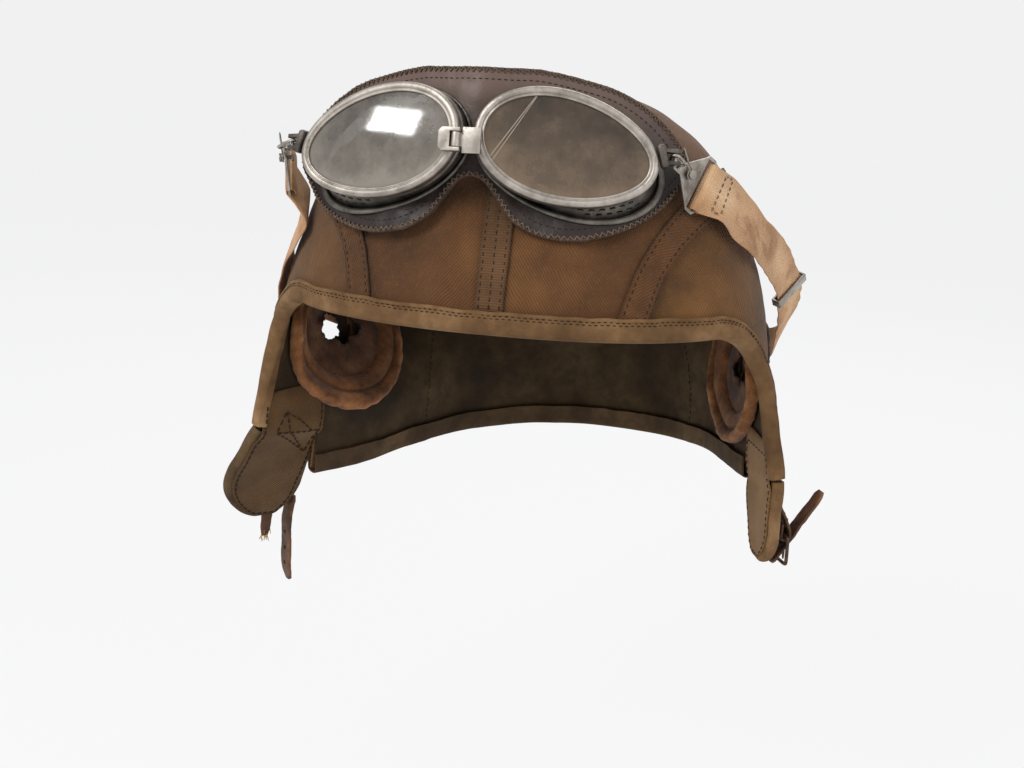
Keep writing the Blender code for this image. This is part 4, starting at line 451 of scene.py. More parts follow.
@dataclass(frozen=True)
class DustyGlass(Finish):
    """Flat plate glass under a film of dust, thickest at the rim, with wiped streaks and scratches; painted
    shade darkens it towards the top.
    """

    dust: str = "8f877d"
    # Dark end of the film's colour: dark dust, and the painted shade at the top.
    dust_dark: str = "5d554d"
    film: float = 0.34
    low: float = 0.2
    scratches: tuple[tuple[float, float], ...] = ()

    def dress(self, tree: bpy.types.NodeTree, shader: bpy.types.Node) -> None:
        """Clear glass mixed with a matte film; shadows pass through most of it."""
        place = self.vector(tree, Coordinates.OBJECT)
        shader.inputs["Base Color"].default_value = linear("f4f1ea")
        shader.inputs["Transmission Weight"].default_value = 1.0
        shader.inputs["IOR"].default_value = 1.5
        cloud, speck = noise(tree, place, 13.0, 6.0, 0.66), noise(tree, place, 1.0, 4.0, 0.7)
        where = {name: add(tree, "ShaderNodeAttribute", {"attribute_name": name}).outputs["Fac"]
                 for name in ("edge", "long", "high")}
        film = spots(tree, cloud, 0.34, 0.7)
        amount = math_node(tree, "MULTIPLY_ADD", film, 0.34)
        amount.node.inputs[2].default_value = self.film - 0.12
        edge = math_node(tree, "POWER", where["edge"], 7.0)
        amount = math_node(tree, "ADD", amount, math_node(tree, "MULTIPLY", edge, 0.42))
        below = math_node(tree, "MULTIPLY_ADD", where["high"], -0.5)
        below.node.inputs[2].default_value = 0.45
        below = math_node(tree, "MULTIPLY", math_node(tree, "MAXIMUM", below, 0.0), self.low)
        amount = math_node(tree, "ADD", amount, below)
        dots = spots(tree, speck, 0.655, 0.74)
        dots = math_node(tree, "MULTIPLY", dots, spots(tree, noise(tree, place, 7.0, 2.0), 0.5, 0.62))
        thick = math_node(tree, "MULTIPLY", math_node(tree, "POWER", where["edge"], 2.0), 0.55)
        amount = math_node(tree, "ADD", amount, math_node(tree, "MULTIPLY", dots, thick))
        # Painted shade: the film is darker towards the top, standing in for the shaded cloth behind the lens;
        # random clouds vary it and it is paler at the rim.
        dust_tone_and_shade = math_node(tree, "MULTIPLY_ADD", where["high"], -0.55)
        tree.links.new(math_node(tree, "MULTIPLY_ADD", cloud, 1.2), dust_tone_and_shade.node.inputs[2])
        dust_tone_and_shade.node.inputs[2].links[0].from_node.inputs[2].default_value = -0.2
        dust_tone_and_shade = math_node(tree, "ADD", dust_tone_and_shade, math_node(tree, "MULTIPLY", edge, 0.5), True)
        colour = mix(tree, dust_tone_and_shade, self.dust_dark, self.dust)
        colour = tint(tree, colour, dots, 0.6, "c9c2b8")
        for lean, offset in self.scratches:
            slope = math_node(tree, "MULTIPLY_ADD", where["long"], lean)
            tree.links.new(where["high"], slope.node.inputs[2])
            away = math_node(tree, "ABSOLUTE", math_node(tree, "ADD", slope, offset))
            line = ramp(tree, math_node(tree, "ADD", away, math_node(tree, "MULTIPLY", cloud, 0.02)),
                        [(0.014, "ffffff"), (0.030, "000000")])
            amount = math_node(tree, "ADD", amount, math_node(tree, "MULTIPLY", line, 0.5))
            colour = tint(tree, colour, line, 0.85, "c4b8a9")
        amount = math_node(tree, "MINIMUM", amount, 0.95)
        matte = add(tree, "ShaderNodeBsdfPrincipled",
                    {"Roughness": 0.7, "Specular IOR Level": 0.05, "Coat Weight": 0.8, "Coat Roughness": 0.04},
                    {"Base Color": colour})
        both = add(tree, "ShaderNodeMixShader",
                   links={0: amount, 1: shader.outputs[0], 2: matte.outputs[0]})
        clear = add(tree, "ShaderNodeBsdfTransparent", {"Color": linear("d8d4cc")})
        shadow = math_node(tree, "MULTIPLY", add(tree, "ShaderNodeLightPath").outputs["Is Shadow Ray"], 0.6)
        final = add(tree, "ShaderNodeMixShader", links={0: shadow, 1: both.outputs[0], 2: clear.outputs[0]})
        tree.links.new(final.outputs[0], tree.nodes["Material Output"].inputs["Surface"])


@dataclass(frozen=True)
class ElasticWebbing(Finish):
    """Woven elastic: cross ribs between smooth cords, faded peach with brown grime at the edges."""

    ground: str = "e4b689"
    pale: str = "f6d0a5"
    dark: str = "a67850"

    def dress(self, tree: bpy.types.NodeTree, shader: bpy.types.Node) -> None:
        """Ribs across, cords along, and grime."""
        place, cloth = self.vector(tree, Coordinates.OBJECT), self.vector(tree, Coordinates.CLOTH)
        across, along = self.ribs(tree, cloth, 1.25, 90.0), self.ribs(tree, cloth, 0.95, 0.0)
        weave = math_node(tree, "ADD", math_node(tree, "MULTIPLY", across, 0.45),
                          math_node(tree, "MULTIPLY", along, 0.55))
        cloud, patch = noise(tree, place, 24.0, 4.0, 0.6), noise(tree, place, 6.0, 5.0, 0.65)
        base = ramp(tree, cloud, [(0.36, self.dark), (0.5, self.ground), (0.66, self.pale)])
        base = tint(tree, base, spots(tree, patch, 0.5, 0.72), 0.3, self.dark)
        base = tint(tree, base, math_node(tree, "SUBTRACT", 1.0, weave), 0.25, self.dark)
        edge = add(tree, "ShaderNodeAttribute", {"attribute_name": "edge"}).outputs["Fac"]
        base = tint(tree, base, edge, 0.55, self.dark)
        tree.links.new(base, shader.inputs["Base Color"])
        shader.inputs["Sheen Weight"].default_value = 0.1
        fuzz = self.relief(tree, shader, noise(tree, place, 0.8, 2.0), 0.12)
        self.relief(tree, shader, weave, 0.3, fuzz)


@dataclass(frozen=True)
class SpunThread(Finish):
    """Waxed linen thread: a dark twisted cord with a dull shine."""

    ground: str = "21170e"
    pale: str = "3f2e1d"

    def dress(self, tree: bpy.types.NodeTree, shader: bpy.types.Node) -> None:
        """Twist of light and dark fibres."""
        place = self.vector(tree, Coordinates.OBJECT)
        fibre = noise(tree, place, 0.9, 3.0, 0.6)
        tree.links.new(ramp(tree, fibre, [(0.35, self.ground), (0.7, self.pale)]),
                       shader.inputs["Base Color"])
        shader.inputs["Specular IOR Level"].default_value = 0.15
        self.relief(tree, shader, fibre, 0.15)


# Cotton drill faded to khaki: matt slanting ribs that catch the light softly.
CROWN_TWILL = CottonTwill("Cotton twill, khaki brown", "twill", 0.9)
# The same drill cut across: steeper ribs, redder where it is worn.
SIDE_TWILL = CottonTwill("Cotton twill, side", "twill", 0.9, "765029", "543819", "906437", "362312",
                         rib_angle=55.0)
# Heavier dark drill: olive, dull and hardly rubbed.
FACING_LEFT = CottonTwill("Cotton facing, dark olive", "twill", 0.9, "5c4022", "432e18", "735430", "2c2010")
# The same drill in a lighter straw brown: painted light, a lit copy of the facing for the right flap.
FACING_PAINTED_LIT = CottonTwill("Cotton facing, pale olive", "twill", 0.9, "7e5c34", "5f4426", "9a7648", "45311a")
# Closer drill: olive brown with finer ribs.
FLAP_TWILL = CottonTwill("Cotton twill, olive flap", "twill", 0.9, "644b2f", "4a3721", "80613c", "352718",
                         rib_mm=1.0, rib_angle=55.0)
# Woven tape: darker and flatter than the drill, with ribs straight across.
TAPE_CLOTH = CottonTwill("Cotton tape, worn", "tape", 0.88, "5e4227", "442e1c", "785638", "2f2015",
                         rib_angle=90.0)
# Cotton cut on the bias: smooth, rubbed pale on its fold.
BINDING_CLOTH = PlainCloth("Bias binding, rubbed", "tape", 0.85, "80603f", "583f26", "a5825c")
# The same cotton on the hem: olive and less rubbed.
HEM_CLOTH = PlainCloth("Hem binding, olive", "tape", 0.88, "513e29", "38291a", "6d563c")
# Thin plain cotton: dark olive and matt, with clouds of sweat.
LINING_CLOTH = PlainCloth("Cotton lining, dark olive", "lining", 0.9, "473723", "2d2216", "5c4a31")
# Flat braid: grey brown, almost hidden by its whipping.
EDGE_CLOTH = PlainCloth("Braid edging, brown grey", "mask_leather", 0.85, "57463b", "382b25", "7d6858",
                        thread_mm=0.5)
# Chamois leather: a dry tan nap without shine, darker in its folds.
EAR_CHAMOIS = Suede("Chamois, tan", "chamois", 0.9, "8f5c35", "53341d", "b07c4f")
# Chamois leather soaked by sweat: dark and still matt.
PAD_CHAMOIS = Suede("Chamois, dark with sweat", "chamois", 0.9, "5c3b25", "342013", "7c5539")
# Tanned cowhide: nearly black with a dull waxy sheen.
PATCH_LEATHER = GrainLeather("Leather, dull brown", "brown_leather", 0.62, "2b1d17", "1a120e", "46332a",
                             grain_mm=0.8, scuff=0.35)
# Belt leather: tan where it is rubbed and dark in its cracks.
STRAP_LEATHER = GrainLeather("Strap leather, tan worn brown", "brown_leather", 0.6, "5a3b26", "2f1d13",
                             "8f6440", grain_mm=0.7, scuff=0.7)
# Dyed goatskin: dark with a soft sheen, and painted sheen that lightens it towards the top.
MASK_LEATHER = GrainLeather("Mask leather, dark brown", "mask_leather", 0.46, "231815", "19110f", "372923",
                            grain_mm=0.8, scuff=0.15, fade=0.85)
# Nickel plate worn satin: pale warm grey with broad soft highlights.
RIM_METAL = WornMetal("Nickel plate, worn satin", "rim_metal", 0.45, "b8b0a7", "8e877e", "4b453e")
# Drawn aluminium gone dull: flat grey with faint highlights.
CUP_METAL = WornMetal("Aluminium, dull grey", "cup_metal", 0.5, "78736c", "524e49", "292623")
# Blued steel: dark and half shiny.
DARK_STEEL = WornMetal("Steel, darkened", "dark_metal", 0.55, "6b645d", "3d3934", "221f1c", oxide=0.6,
                       metallic=0.85)
# Tarnished nickel plate: bright edges over brownish clouds.
FITTING_METAL = WornMetal("Nickel plate, tarnished", "rim_metal", 0.42, "b9b2a8", "7d766d", "423c35")
# Bare steel with rust: brown matt patches that hide its shine.
BUCKLE_STEEL = WornMetal("Buckle steel, rusty", "buckle_metal", 0.55, "7a6650", "4b3a2b", "2c1f16",
                         oxide=0.6, metallic=0.8)
# Plate glass under pale dust: milky, darker towards the top with painted shade, and still a mirror for the
# window light.
LENS_LEFT = DustyGlass("Plate glass, milky with dust", "lens_glass", 0.05, "8a8379", "56504a", film=0.62,
                       low=0.22)
# Plate glass under brown dust: smoky, darker towards the top with painted shade, with two wiped scratches.
LENS_RIGHT = DustyGlass("Plate glass, smoky with dust", "lens_glass", 0.05, "7c6955", "372d25", film=0.66,
                        low=0.12, scratches=((-4.3, -2.65), (-3.8, -2.47)))
# Woven elastic: silky and faded, its ribs drawn 1.25 mm apart so that they show.
STRAP_WEBBING = ElasticWebbing("Elastic webbing, faded", "webbing", 0.85)
# Linen whipping: dry grey-brown cord in a clear twist.
WHIP_THREAD = SpunThread("Linen whipping, brown grey", "mask_leather", 0.75, "4d3f35", "7b6857")
# Waxed linen thread: dark, with a dull gleam on its twist.
DARK_THREAD = SpunThread("Linen thread, dark", "tape", 0.7)
# Jute fibre: dry straw yellow that stands out from the leather.
FRAYED_THREAD = SpunThread("Jute fibre, straw yellow", "brown_leather", 0.85, "9a7436", "d2ae69")
# Unwaxed linen thread: matt and a little lighter than the cloth.
PALE_THREAD = SpunThread("Linen thread, grey brown", "tape", 0.75, "4f4034", "8d7a66")


def deselect() -> None:
    """Clear the selection, because an operator acts on all that is selected."""
    if bpy.context.object and bpy.context.object.mode != "OBJECT":
        bpy.ops.object.mode_set(mode="OBJECT")
    bpy.ops.object.select_all(action="DESELECT")


def make_active(piece: bpy.types.Object) -> None:
    """Select one object alone and make it active."""
    deselect()
    piece.select_set(True)
    bpy.context.view_layer.objects.active = piece


def unit(vectors: np.ndarray) -> np.ndarray:
    """Vectors scaled to length one."""
    return vectors / np.maximum(np.linalg.norm(vectors, axis=-1, keepdims=True), 1e-12)


def arc_uv(points: np.ndarray, anchor: float = 0.5) -> np.ndarray:
    """Flat coordinates in metres of a grid of points, so that a weave keeps its real size.

    Args:
        points: rows by columns by three.
        anchor: share of each row that is put at zero.

    Returns:
        Rows by columns by two.
    """
    across = np.linalg.norm(np.diff(points, axis=1), axis=-1)
    x = np.concatenate([np.zeros((len(points), 1)), np.cumsum(across, axis=1)], axis=1)
    x = x - x[:, -1:] * anchor
    down = np.linalg.norm(np.diff(points, axis=0), axis=-1).mean(axis=1)
    y = np.concatenate([[0.0], np.cumsum(down)])
    return np.stack([x, np.repeat(y[:, None], points.shape[1], axis=1)], axis=-1)


def grid(name: str, points: np.ndarray, uv: np.ndarray | None = None) -> bpy.types.Object:
    """Add a grid primitive and lay its vertices along rows of places.

    Args:
        name: name of the piece.
        points: rows by columns by three, in metres.
        uv: flat coordinates in metres, or None to measure them.

    Returns:
        The open surface.
    """
    rows, columns = points.shape[:2]
    deselect()
    bpy.ops.mesh.primitive_grid_add(x_subdivisions=columns - 1, y_subdivisions=rows - 1, size=1.0,
                                    calc_uvs=True)
    piece = bpy.context.object
    piece.name = piece.data.name = name
    mesh = piece.data
    mesh.vertices.foreach_set("co", points.reshape(-1).astype(np.float32))
    flat = (arc_uv(points) if uv is None else uv).reshape(-1, 2)
    corners = np.zeros(len(mesh.loops), np.int32)
    mesh.loops.foreach_get("vertex_index", corners)
    mesh.uv_layers.active.data.foreach_set("uv", flat[corners].reshape(-1).astype(np.float32))
    mesh.update()
    return piece


def join(pieces: list[bpy.types.Object], name: str) -> bpy.types.Object:
    """Join pieces into one.

    Args:
        pieces: objects to join.
        name: name of the result.

    Returns:
        The joined object.
    """
    make_active(pieces[0])
    for piece in pieces[1:]:
        piece.select_set(True)
    bpy.ops.object.join()
    joined = bpy.context.object
    joined.name = joined.data.name = name
    return joined


def weld(piece: bpy.types.Object, fill: bool = False) -> None:
    """Merge doubles, close open ends if asked, and turn the faces outwards.

    Args:
        piece: object to mend.
        fill: close the holes.
    """
    make_active(piece)
    bpy.ops.object.mode_set(mode="EDIT")
    bpy.ops.mesh.select_all(action="SELECT")
    bpy.ops.mesh.remove_doubles(threshold=WELD)
    if fill:
        bpy.ops.mesh.select_all(action="DESELECT")
        bpy.ops.mesh.select_mode(type="EDGE")
        bpy.ops.mesh.select_non_manifold(extend=False, use_wire=False, use_multi_face=False,
                                         use_non_contiguous=False,
                                         use_verts=False)
        bpy.ops.mesh.fill_holes(sides=0)
        bpy.ops.mesh.select_mode(type="VERT")
    bpy.ops.mesh.select_all(action="SELECT")
    bpy.ops.mesh.normals_make_consistent(inside=False)
    bpy.ops.object.mode_set(mode="OBJECT")


def face_away(piece: bpy.types.Object, core: tuple[float, float, float]) -> None:
    """Turn an open surface so that it faces away from a point."""
    mesh = piece.data
    count = len(mesh.polygons)
    normals, centres, areas = np.zeros(count * 3), np.zeros(count * 3), np.zeros(count)
    mesh.polygons.foreach_get("normal", normals)
    mesh.polygons.foreach_get("center", centres)
    mesh.polygons.foreach_get("area", areas)
    facing = (normals.reshape(-1, 3) * unit(centres.reshape(-1, 3) - np.array(core))).sum(1) @ areas
    if facing < 0.0:
        make_active(piece)
        bpy.ops.object.mode_set(mode="EDIT")
        bpy.ops.mesh.select_all(action="SELECT")
        bpy.ops.mesh.flip_normals()
        bpy.ops.object.mode_set(mode="OBJECT")


def modify(piece: bpy.types.Object, kind: str, **settings: object) -> None:
    """Add a modifier and apply it.

    Args:
        piece: object that gets it.
        kind: type of the modifier.
        settings: its properties.
    """
    make_active(piece)
    modifier = piece.modifiers.new(kind.title(), kind)
    for key, value in settings.items():
        setattr(modifier, key, value)
    bpy.ops.object.modifier_apply(modifier=modifier.name)


def coordinates(piece: bpy.types.Object) -> np.ndarray:
    """Places of a mesh's vertices."""
    places = np.zeros(len(piece.data.vertices) * 3)
    piece.data.vertices.foreach_get("co", places)
    return places.reshape(-1, 3)


def lay(piece: bpy.types.Object, places: np.ndarray) -> None:
    """Put a mesh's vertices at places."""
    piece.data.vertices.foreach_set("co", places.reshape(-1).astype(np.float32))
    piece.data.update()


def shade(piece: bpy.types.Object, angle: float = 40.0) -> None:
    """Shade a piece smooth, with sharp edges past an angle."""
    make_active(piece)
    bpy.ops.object.shade_smooth_by_angle(angle=math.radians(angle))


def mark(piece: bpy.types.Object, name: str, values: np.ndarray) -> None:
    """Store a value at each vertex for the finish to read."""
    attribute = piece.data.attributes.get(name) or piece.data.attributes.new(name, "FLOAT", "POINT")
    attribute.data.foreach_set("value", values.astype(np.float32))


def finish(piece: bpy.types.Object, look: Finish, body: str | None, *nodes: str) -> bpy.types.Object:
    """Give a piece its material, its body and the CAD nodes that it stands for.

    Args:
        piece: finished object.
        look: surface finish.
        body: CAD body that it rides on, or None for a piece on no body.
        nodes: CAD nodes that it replaces.

    Returns:
        The piece.
    """
    piece.data.materials.clear()
    piece.data.materials.append(look.material())
    if body:
        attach(piece, body)
    if nodes:
        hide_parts(*nodes)
    log.info("%s: %d faces", piece.name, len(piece.data.polygons))
    return piece


def soft(places: np.ndarray, size: float, seed: int) -> np.ndarray:
    """Smooth wandering value from -1 to 1.

    Args:
        places: points in metres.
        size: length of one wave in metres.
        seed: number of the pattern.

    Returns:
        One value for each point.
    """
    random = np.random.default_rng(seed)
    total = np.zeros(len(places))
    for _ in range(7):
        way = unit(random.normal(size=3)) * (2.0 * math.pi / size) * random.uniform(0.65, 1.4)
        total += np.sin(places @ way + random.uniform(0.0, 2.0 * math.pi))
    return total / 3.2


def curve(table: np.ndarray, places: np.ndarray) -> np.ndarray:
    """Smooth curve through the rows of a table.

    Args:
        table: points of any dimension.
        places: shares of the way, from 0 to 1; below 0 the curve runs on straight.

    Returns:
        One point for each share.
    """
    table = np.asarray(table, float)
    last = len(table) - 1
    full = np.vstack([2.0 * table[0] - table[1], table, 2.0 * table[-1] - table[-2]])
    at = np.asarray(places, float) * last
    index = np.clip(np.floor(at).astype(int), 0, last - 1)
    part = (at - index)[..., None]
    before, start, end, after = (full[index + i] for i in range(4))
    bent = 0.5 * (2.0 * start + (end - before) * part
                  + (2.0 * before - 5.0 * start + 4.0 * end - after) * part ** 2
                  + (3.0 * start - before - 3.0 * end + after) * part ** 3)
    return np.where(part < 0.0, start + (end - start) * part, bent)


def steps(start: float, end: float, count: int) -> np.ndarray:
    """Evenly spaced values with both ends."""
    return np.linspace(start, end, count + 1)


def spans(points: np.ndarray) -> np.ndarray:
    """Distances from each point of a line to the next."""
    return np.linalg.norm(np.diff(points, axis=0), axis=1)


def lengths_along(points: np.ndarray) -> np.ndarray:
    """Length of a line up to each of its points."""
    return np.concatenate([[0.0], np.cumsum(spans(points))])


def sample(points: np.ndarray, lengths: np.ndarray, places: np.ndarray) -> np.ndarray:
    """Points of a line at places given as lengths along it."""
    return np.stack([np.interp(places, lengths, column) for column in points.T], 1)


def rounded(wave: np.ndarray, power: float) -> np.ndarray:
    """Wave from -1 to 1 drawn towards a square one, for sections with rounded corners."""
    return np.sign(wave) * np.abs(wave) ** power


class Side(Enum):
    """Side of the helmet as it is seen from the front."""

    LEFT = -1.0
    RIGHT = 1.0

    @property
    def label(self) -> str:
        """Name of the side in the CAD model."""
        return self.name.lower()


@dataclass
class Pattern:
    """Shape of the hood, with its cloth laid out flat.

    A flat place has its direction from the middle for the way round the head, from brow to nape,
    and its distance for the way down: 1 at the brow, 2 at the flap seam and 3 at the hem.
    """

    brow_depth: float = 0.093
    dome_height: float = 0.100
    dome_half_width: float = 0.104
    dome_front: float = 0.115
    dome_back: float = 0.083
    widest_forward: float = 0.034
    side_power: float = 2.5
    end_power: float = 2.7
    front_power: float = 2.3
    back_power: float = 2.0
    flare_start: float = 0.066
    flare_slope: float = 0.20
    back_flare: float = 0.2
    seam_depth: float = 0.1625
    hem_left: float = 0.187
    hem_nape: float = 0.184
    hem_right: float = 0.168
    skirt_half_left: float = 0.1215
    skirt_half_right: float = 0.1240
    skirt_front: float = 0.058
    skirt_back: float = 0.088
    skirt_slope: float = 0.14
    corner: float = 0.30
    front_edge_at: float = 0.437
    corner_drop: float = 0.50
    flap_back: float = 0.555
    nape: float = 0.80
    front_seam: float = 0.155
    cloth: float = 0.0014
    dent_depth: float = 0.0010
    pucker_depth: float = 0.00034
    pucker_pitch: float = 0.0082
    seam_tree: KDTree | None = None
    seam_along: np.ndarray | None = None

    skirt_left = ((1.0, 0.0), (0.82, 0.145), (0.67, 0.32), (0.55, 0.55), (0.36, 0.82), (0.0, 1.0))
    skirt_right = ((1.0, 0.0), (0.905, 0.18), (0.80, 0.42), (0.68, 0.69), (0.42, 0.91), (0.0, 1.0))
    crown_seam = ((0.4680, -0.8837), (0.52, -0.60), (0.60, -0.25), (0.62, 0.10), (0.60, 0.45),
                  (0.5878, 0.8090))

    def __post_init__(self) -> None:
        """Index the seams, so that the cloth can pucker along them."""
        places, along = [], []
        for line in self.seams():
            smooth = self.smooth(line)
            lengths = lengths_along(smooth)
            even = np.arange(0.0, lengths[-1], 0.0006)
            places.append(sample(smooth, lengths, even))
            along.append(even + 0.037 * len(places))
        every = np.concatenate(places)
        self.seam_along = np.concatenate(along)
        self.seam_tree = KDTree(len(every))
        for i, place in enumerate(every):
            self.seam_tree.insert(place, i)
        self.seam_tree.balance()

    def seams(self) -> list[np.ndarray]:
        """Flat places along each seam of the hood."""
        seam = curve(self.crown_seam, steps(0.0, 1.0, 300))
        down, back = steps(1.0, 3.0, 90), steps(self.nape, 2.0 - self.nape, 150)
        lines = [np.stack([np.zeros(301), steps(-1.0, 1.0, 300)], 1), seam, seam * (-1.0, 1.0)]
        lines += [polar(side * self.nape, down) for side in (-1.0, 1.0)] + [polar(back, np.ones_like(back))]
        lines += [polar(side * steps(self.front_edge_at, self.flap_back, 60), 2.0) for side in (-1.0, 1.0)]
        return lines

    def skirt(self, left: np.ndarray, share: np.ndarray) -> np.ndarray:
        """Plan of the skirt at a share of the way from its front edge to the nape."""
        found = []
        for near, far in ((self.skirt_left, self.skirt_right), (self.skirt_right, self.skirt_left)):
            table = near + ((-far[-2][0], far[-2][1]),)
            found.append(curve(table, share * (len(near) - 1) / len(near)))
        return np.where(left[..., None], found[0], found[1])

    def smooth(self, flat: np.ndarray) -> np.ndarray:
        """Points on the outer face of the cloth before it dents.

        Args:
            flat: flat places.

        Returns:
            One point for each.
        """
        flat = np.asarray(flat, float)
        u, h = np.arctan2(flat[..., 0], -flat[..., 1]) / np.pi, np.hypot(flat[..., 0], flat[..., 1])
        left = u < 0.0
        side, u = np.where(left, -1.0, 1.0), np.abs(u)
        turn = np.pi * u
        power = self.side_power + (self.end_power - self.side_power) * np.cos(turn) ** 2
        fall = np.minimum(h, 1.0) * np.arccos((1.0 - self.brow_depth / self.dome_height) ** (power / 2.0))
        dome = self.dome_height * (1.0 - np.cos(fall) ** (2.0 / power))
        wall = self.brow_depth + (self.seam_depth - self.brow_depth) * (h - 1.0)
        flap_hem = np.where(left, self.hem_left, self.hem_right)
        hem = self.hem_nape + (flap_hem - self.hem_nape) * (1.0 - u) / (1.0 - self.flap_back)
        skirt = self.seam_depth + (hem - self.seam_depth) * (h - 2.0)
        depth = np.where(h <= 1.0, dome, np.where(h <= 2.0, wall, skirt))
        rise = np.maximum(0.0, 1.0 - depth / self.dome_height)
        reach = (1.0 - rise ** power) ** (1.0 / power)
        flare = (self.flare_slope * np.maximum(0.0, depth - self.flare_start) ** 2
                 / (abs(depth - self.flare_start) + GAP))
        front = turn < np.pi / 2.0
        plan = 2.0 / np.where(front, self.front_power, self.back_power)
        across, along = abs(np.sin(turn)) ** plan, abs(np.cos(turn)) ** plan
        x = (self.dome_half_width * reach + flare) * across
        ahead = (-self.widest_forward * reach - ((self.dome_front - self.widest_forward) * reach + flare)
                 * along)
        behind = (-self.widest_forward * reach
                  + ((self.dome_back + self.widest_forward) * reach + flare * self.back_flare) * along)
        y = np.where(front, ahead, behind)
        part = np.clip((depth - self.brow_depth) / (self.seam_depth - self.brow_depth), 0.0, 1.0)
        part = part * part * (3.0 - 2.0 * part)
        shape = self.skirt(left, (u - self.front_edge_at) / (1.0 - self.front_edge_at))
        half = (np.where(left, self.skirt_half_left, self.skirt_half_right)
                + self.skirt_slope * (depth - self.seam_depth))
        x = x + part * (half * shape[..., 0] - x)
        y = y + part * (-self.skirt_front + (self.skirt_front + self.skirt_back) * shape[..., 1] - y)
        return np.stack([side * x, y, -depth], -1)

    def normal(self, flat: np.ndarray) -> np.ndarray:
        """Outward normals of the cloth."""
        flat = np.asarray(flat, float)
        right, back = np.array((STEP, 0.0)), np.array((0.0, STEP))
        across = self.smooth(flat + right) - self.smooth(flat - right)
        along = self.smooth(flat + back) - self.smooth(flat - back)
        return unit(np.cross(across, along))

    def near_seam(self, places: np.ndarray) -> tuple[np.ndarray, np.ndarray]:
        """Distance to the nearest seam and the length along it, for each point."""
        found = [self.seam_tree.find(place)[1:] for place in places.reshape(-1, 3)]
        gap = np.array([f[1] for f in found]).reshape(places.shape[:-1])
        return gap, self.seam_along[[f[0] for f in found]].reshape(places.shape[:-1])

    def dents(self, flat: np.ndarray, places: np.ndarray) -> np.ndarray:
        """How far the worn cloth stands out of its smooth shape, by dents, puckers and brow folds."""
        points = places.reshape(-1, 3)
        broad = soft(points, 0.085, 3) * self.dent_depth + soft(points, 0.034, 8) * self.dent_depth * 0.45
        fine = soft(points, 0.013, 21) * self.dent_depth * 0.14
        gap, along = self.near_seam(points)
        wave = np.sin(2.0 * np.pi * along / self.pucker_pitch + 2.0 * soft(points, 0.03, 31))
        pucker = (self.pucker_depth * wave * np.exp(-(gap / 0.008) ** 2)
                  - 0.00035 * np.exp(-(gap / 0.003) ** 2))
        h = np.hypot(flat[..., 0], flat[..., 1]).reshape(-1)
        u = (np.arctan2(flat[..., 0], -flat[..., 1]) / np.pi).reshape(-1)
        calm = 1.0 - 0.8 * np.exp(-((h - 2.0) / 0.25) ** 2) * (np.abs(np.abs(u) - 0.5) < 0.12)
        low = np.clip((h - 0.55) / 0.3, 0.0, 1.0)
        fold = (0.0013 * np.exp(-((points[:, 0] + 0.021 + 0.010 * (h - 0.8)) / 0.0050) ** 2) * low
                * (h < 1.3))
        fold += 0.0009 * np.exp(-((points[:, 0] - 0.052 - 0.05 * (h - 0.8)) / 0.007) ** 2) * low * (h < 1.3)
        out = (broad + fine) * calm + pucker + np.where(points[:, 1] < -0.05, fold, 0.0)
        return out.reshape(places.shape[:-1])

    def layer(self, flat: np.ndarray, lift: float | np.ndarray = 0.0) -> np.ndarray:
        """Points of the worn cloth, lifted off its outer face.

        Args:
            flat: flat places.
            lift: distance outwards, one value or one for each place.

        Returns:
            One point for each.
        """
        places = self.smooth(flat)
        out = self.dents(flat, places) + lift
        return places + self.normal(flat) * out[..., None]

    def shift(self, flat: np.ndarray, move: np.ndarray) -> np.ndarray:
        """Flat places reached by moves in metres along the cloth.

        Args:
            flat: flat places to start from.
            move: moves in space, one for each.

        Returns:
            The new flat places.
        """
        start = self.smooth(flat)
        right, back = np.array((STEP, 0.0)), np.array((0.0, STEP))
        across, along = ((self.smooth(flat + right) - start) / STEP,
                         (self.smooth(flat + back) - start) / STEP)
        aa, bb, ab = ((p * q).sum(-1) for p, q in ((across, across), (along, along), (across, along)))
        a, b = (move * across).sum(-1), (move * along).sum(-1)
        scale = aa * bb - ab * ab
        way = np.stack([(a * bb - b * ab) / scale, (b * aa - a * ab) / scale], -1)
        length = np.linalg.norm(move, axis=-1)
        short, long = np.zeros_like(length), np.full_like(length, 3.0)
        for _ in range(22):
            middle = (short + long) / 2.0
            reached = np.linalg.norm(self.smooth(flat + way * middle[..., None]) - start, axis=-1)
            short, long = (np.where(reached < length, middle, short),
                           np.where(reached < length, long, middle))
        return flat + way * np.where(length > 0.0, short, 0.0)[..., None]

    def front_edge(self, h: np.ndarray) -> np.ndarray:
        """Way round of the front edge of the side at a height, rounded where it leaves the brow."""
        part = np.clip((h - 1.0) / self.corner_drop, 0.0, 1.0)
        return (self.front_edge_at - (self.front_edge_at - self.corner)
                * (1.0 - np.sqrt(1.0 - (1.0 - part) ** 2)))

    def crown(self, side: Side, gap: float, along_steps: int, across_steps: int) -> np.ndarray:
        """Flat places of one crown half, from brow to nape."""
        shares = steps(0.0, 1.0, along_steps)
        seam, middle = curve(self.crown_seam, shares), -1.0 + 2.0 * shares
        part = steps(0.0, 1.0, across_steps)[None, :]
        a = gap + (seam[:, :1] - 2.0 * gap) * part
        b = middle[:, None] + (seam[:, 1:] - middle[:, None]) * part
        reach = abs(middle)[:, None]
        even = reach + (np.linalg.norm(seam, axis=1)[:, None] - reach) * part
        h = np.hypot(a, b)
        return polar(side.value * np.arctan2(a, -b) / np.pi, h + (even - h) * middle[:, None] ** 4)

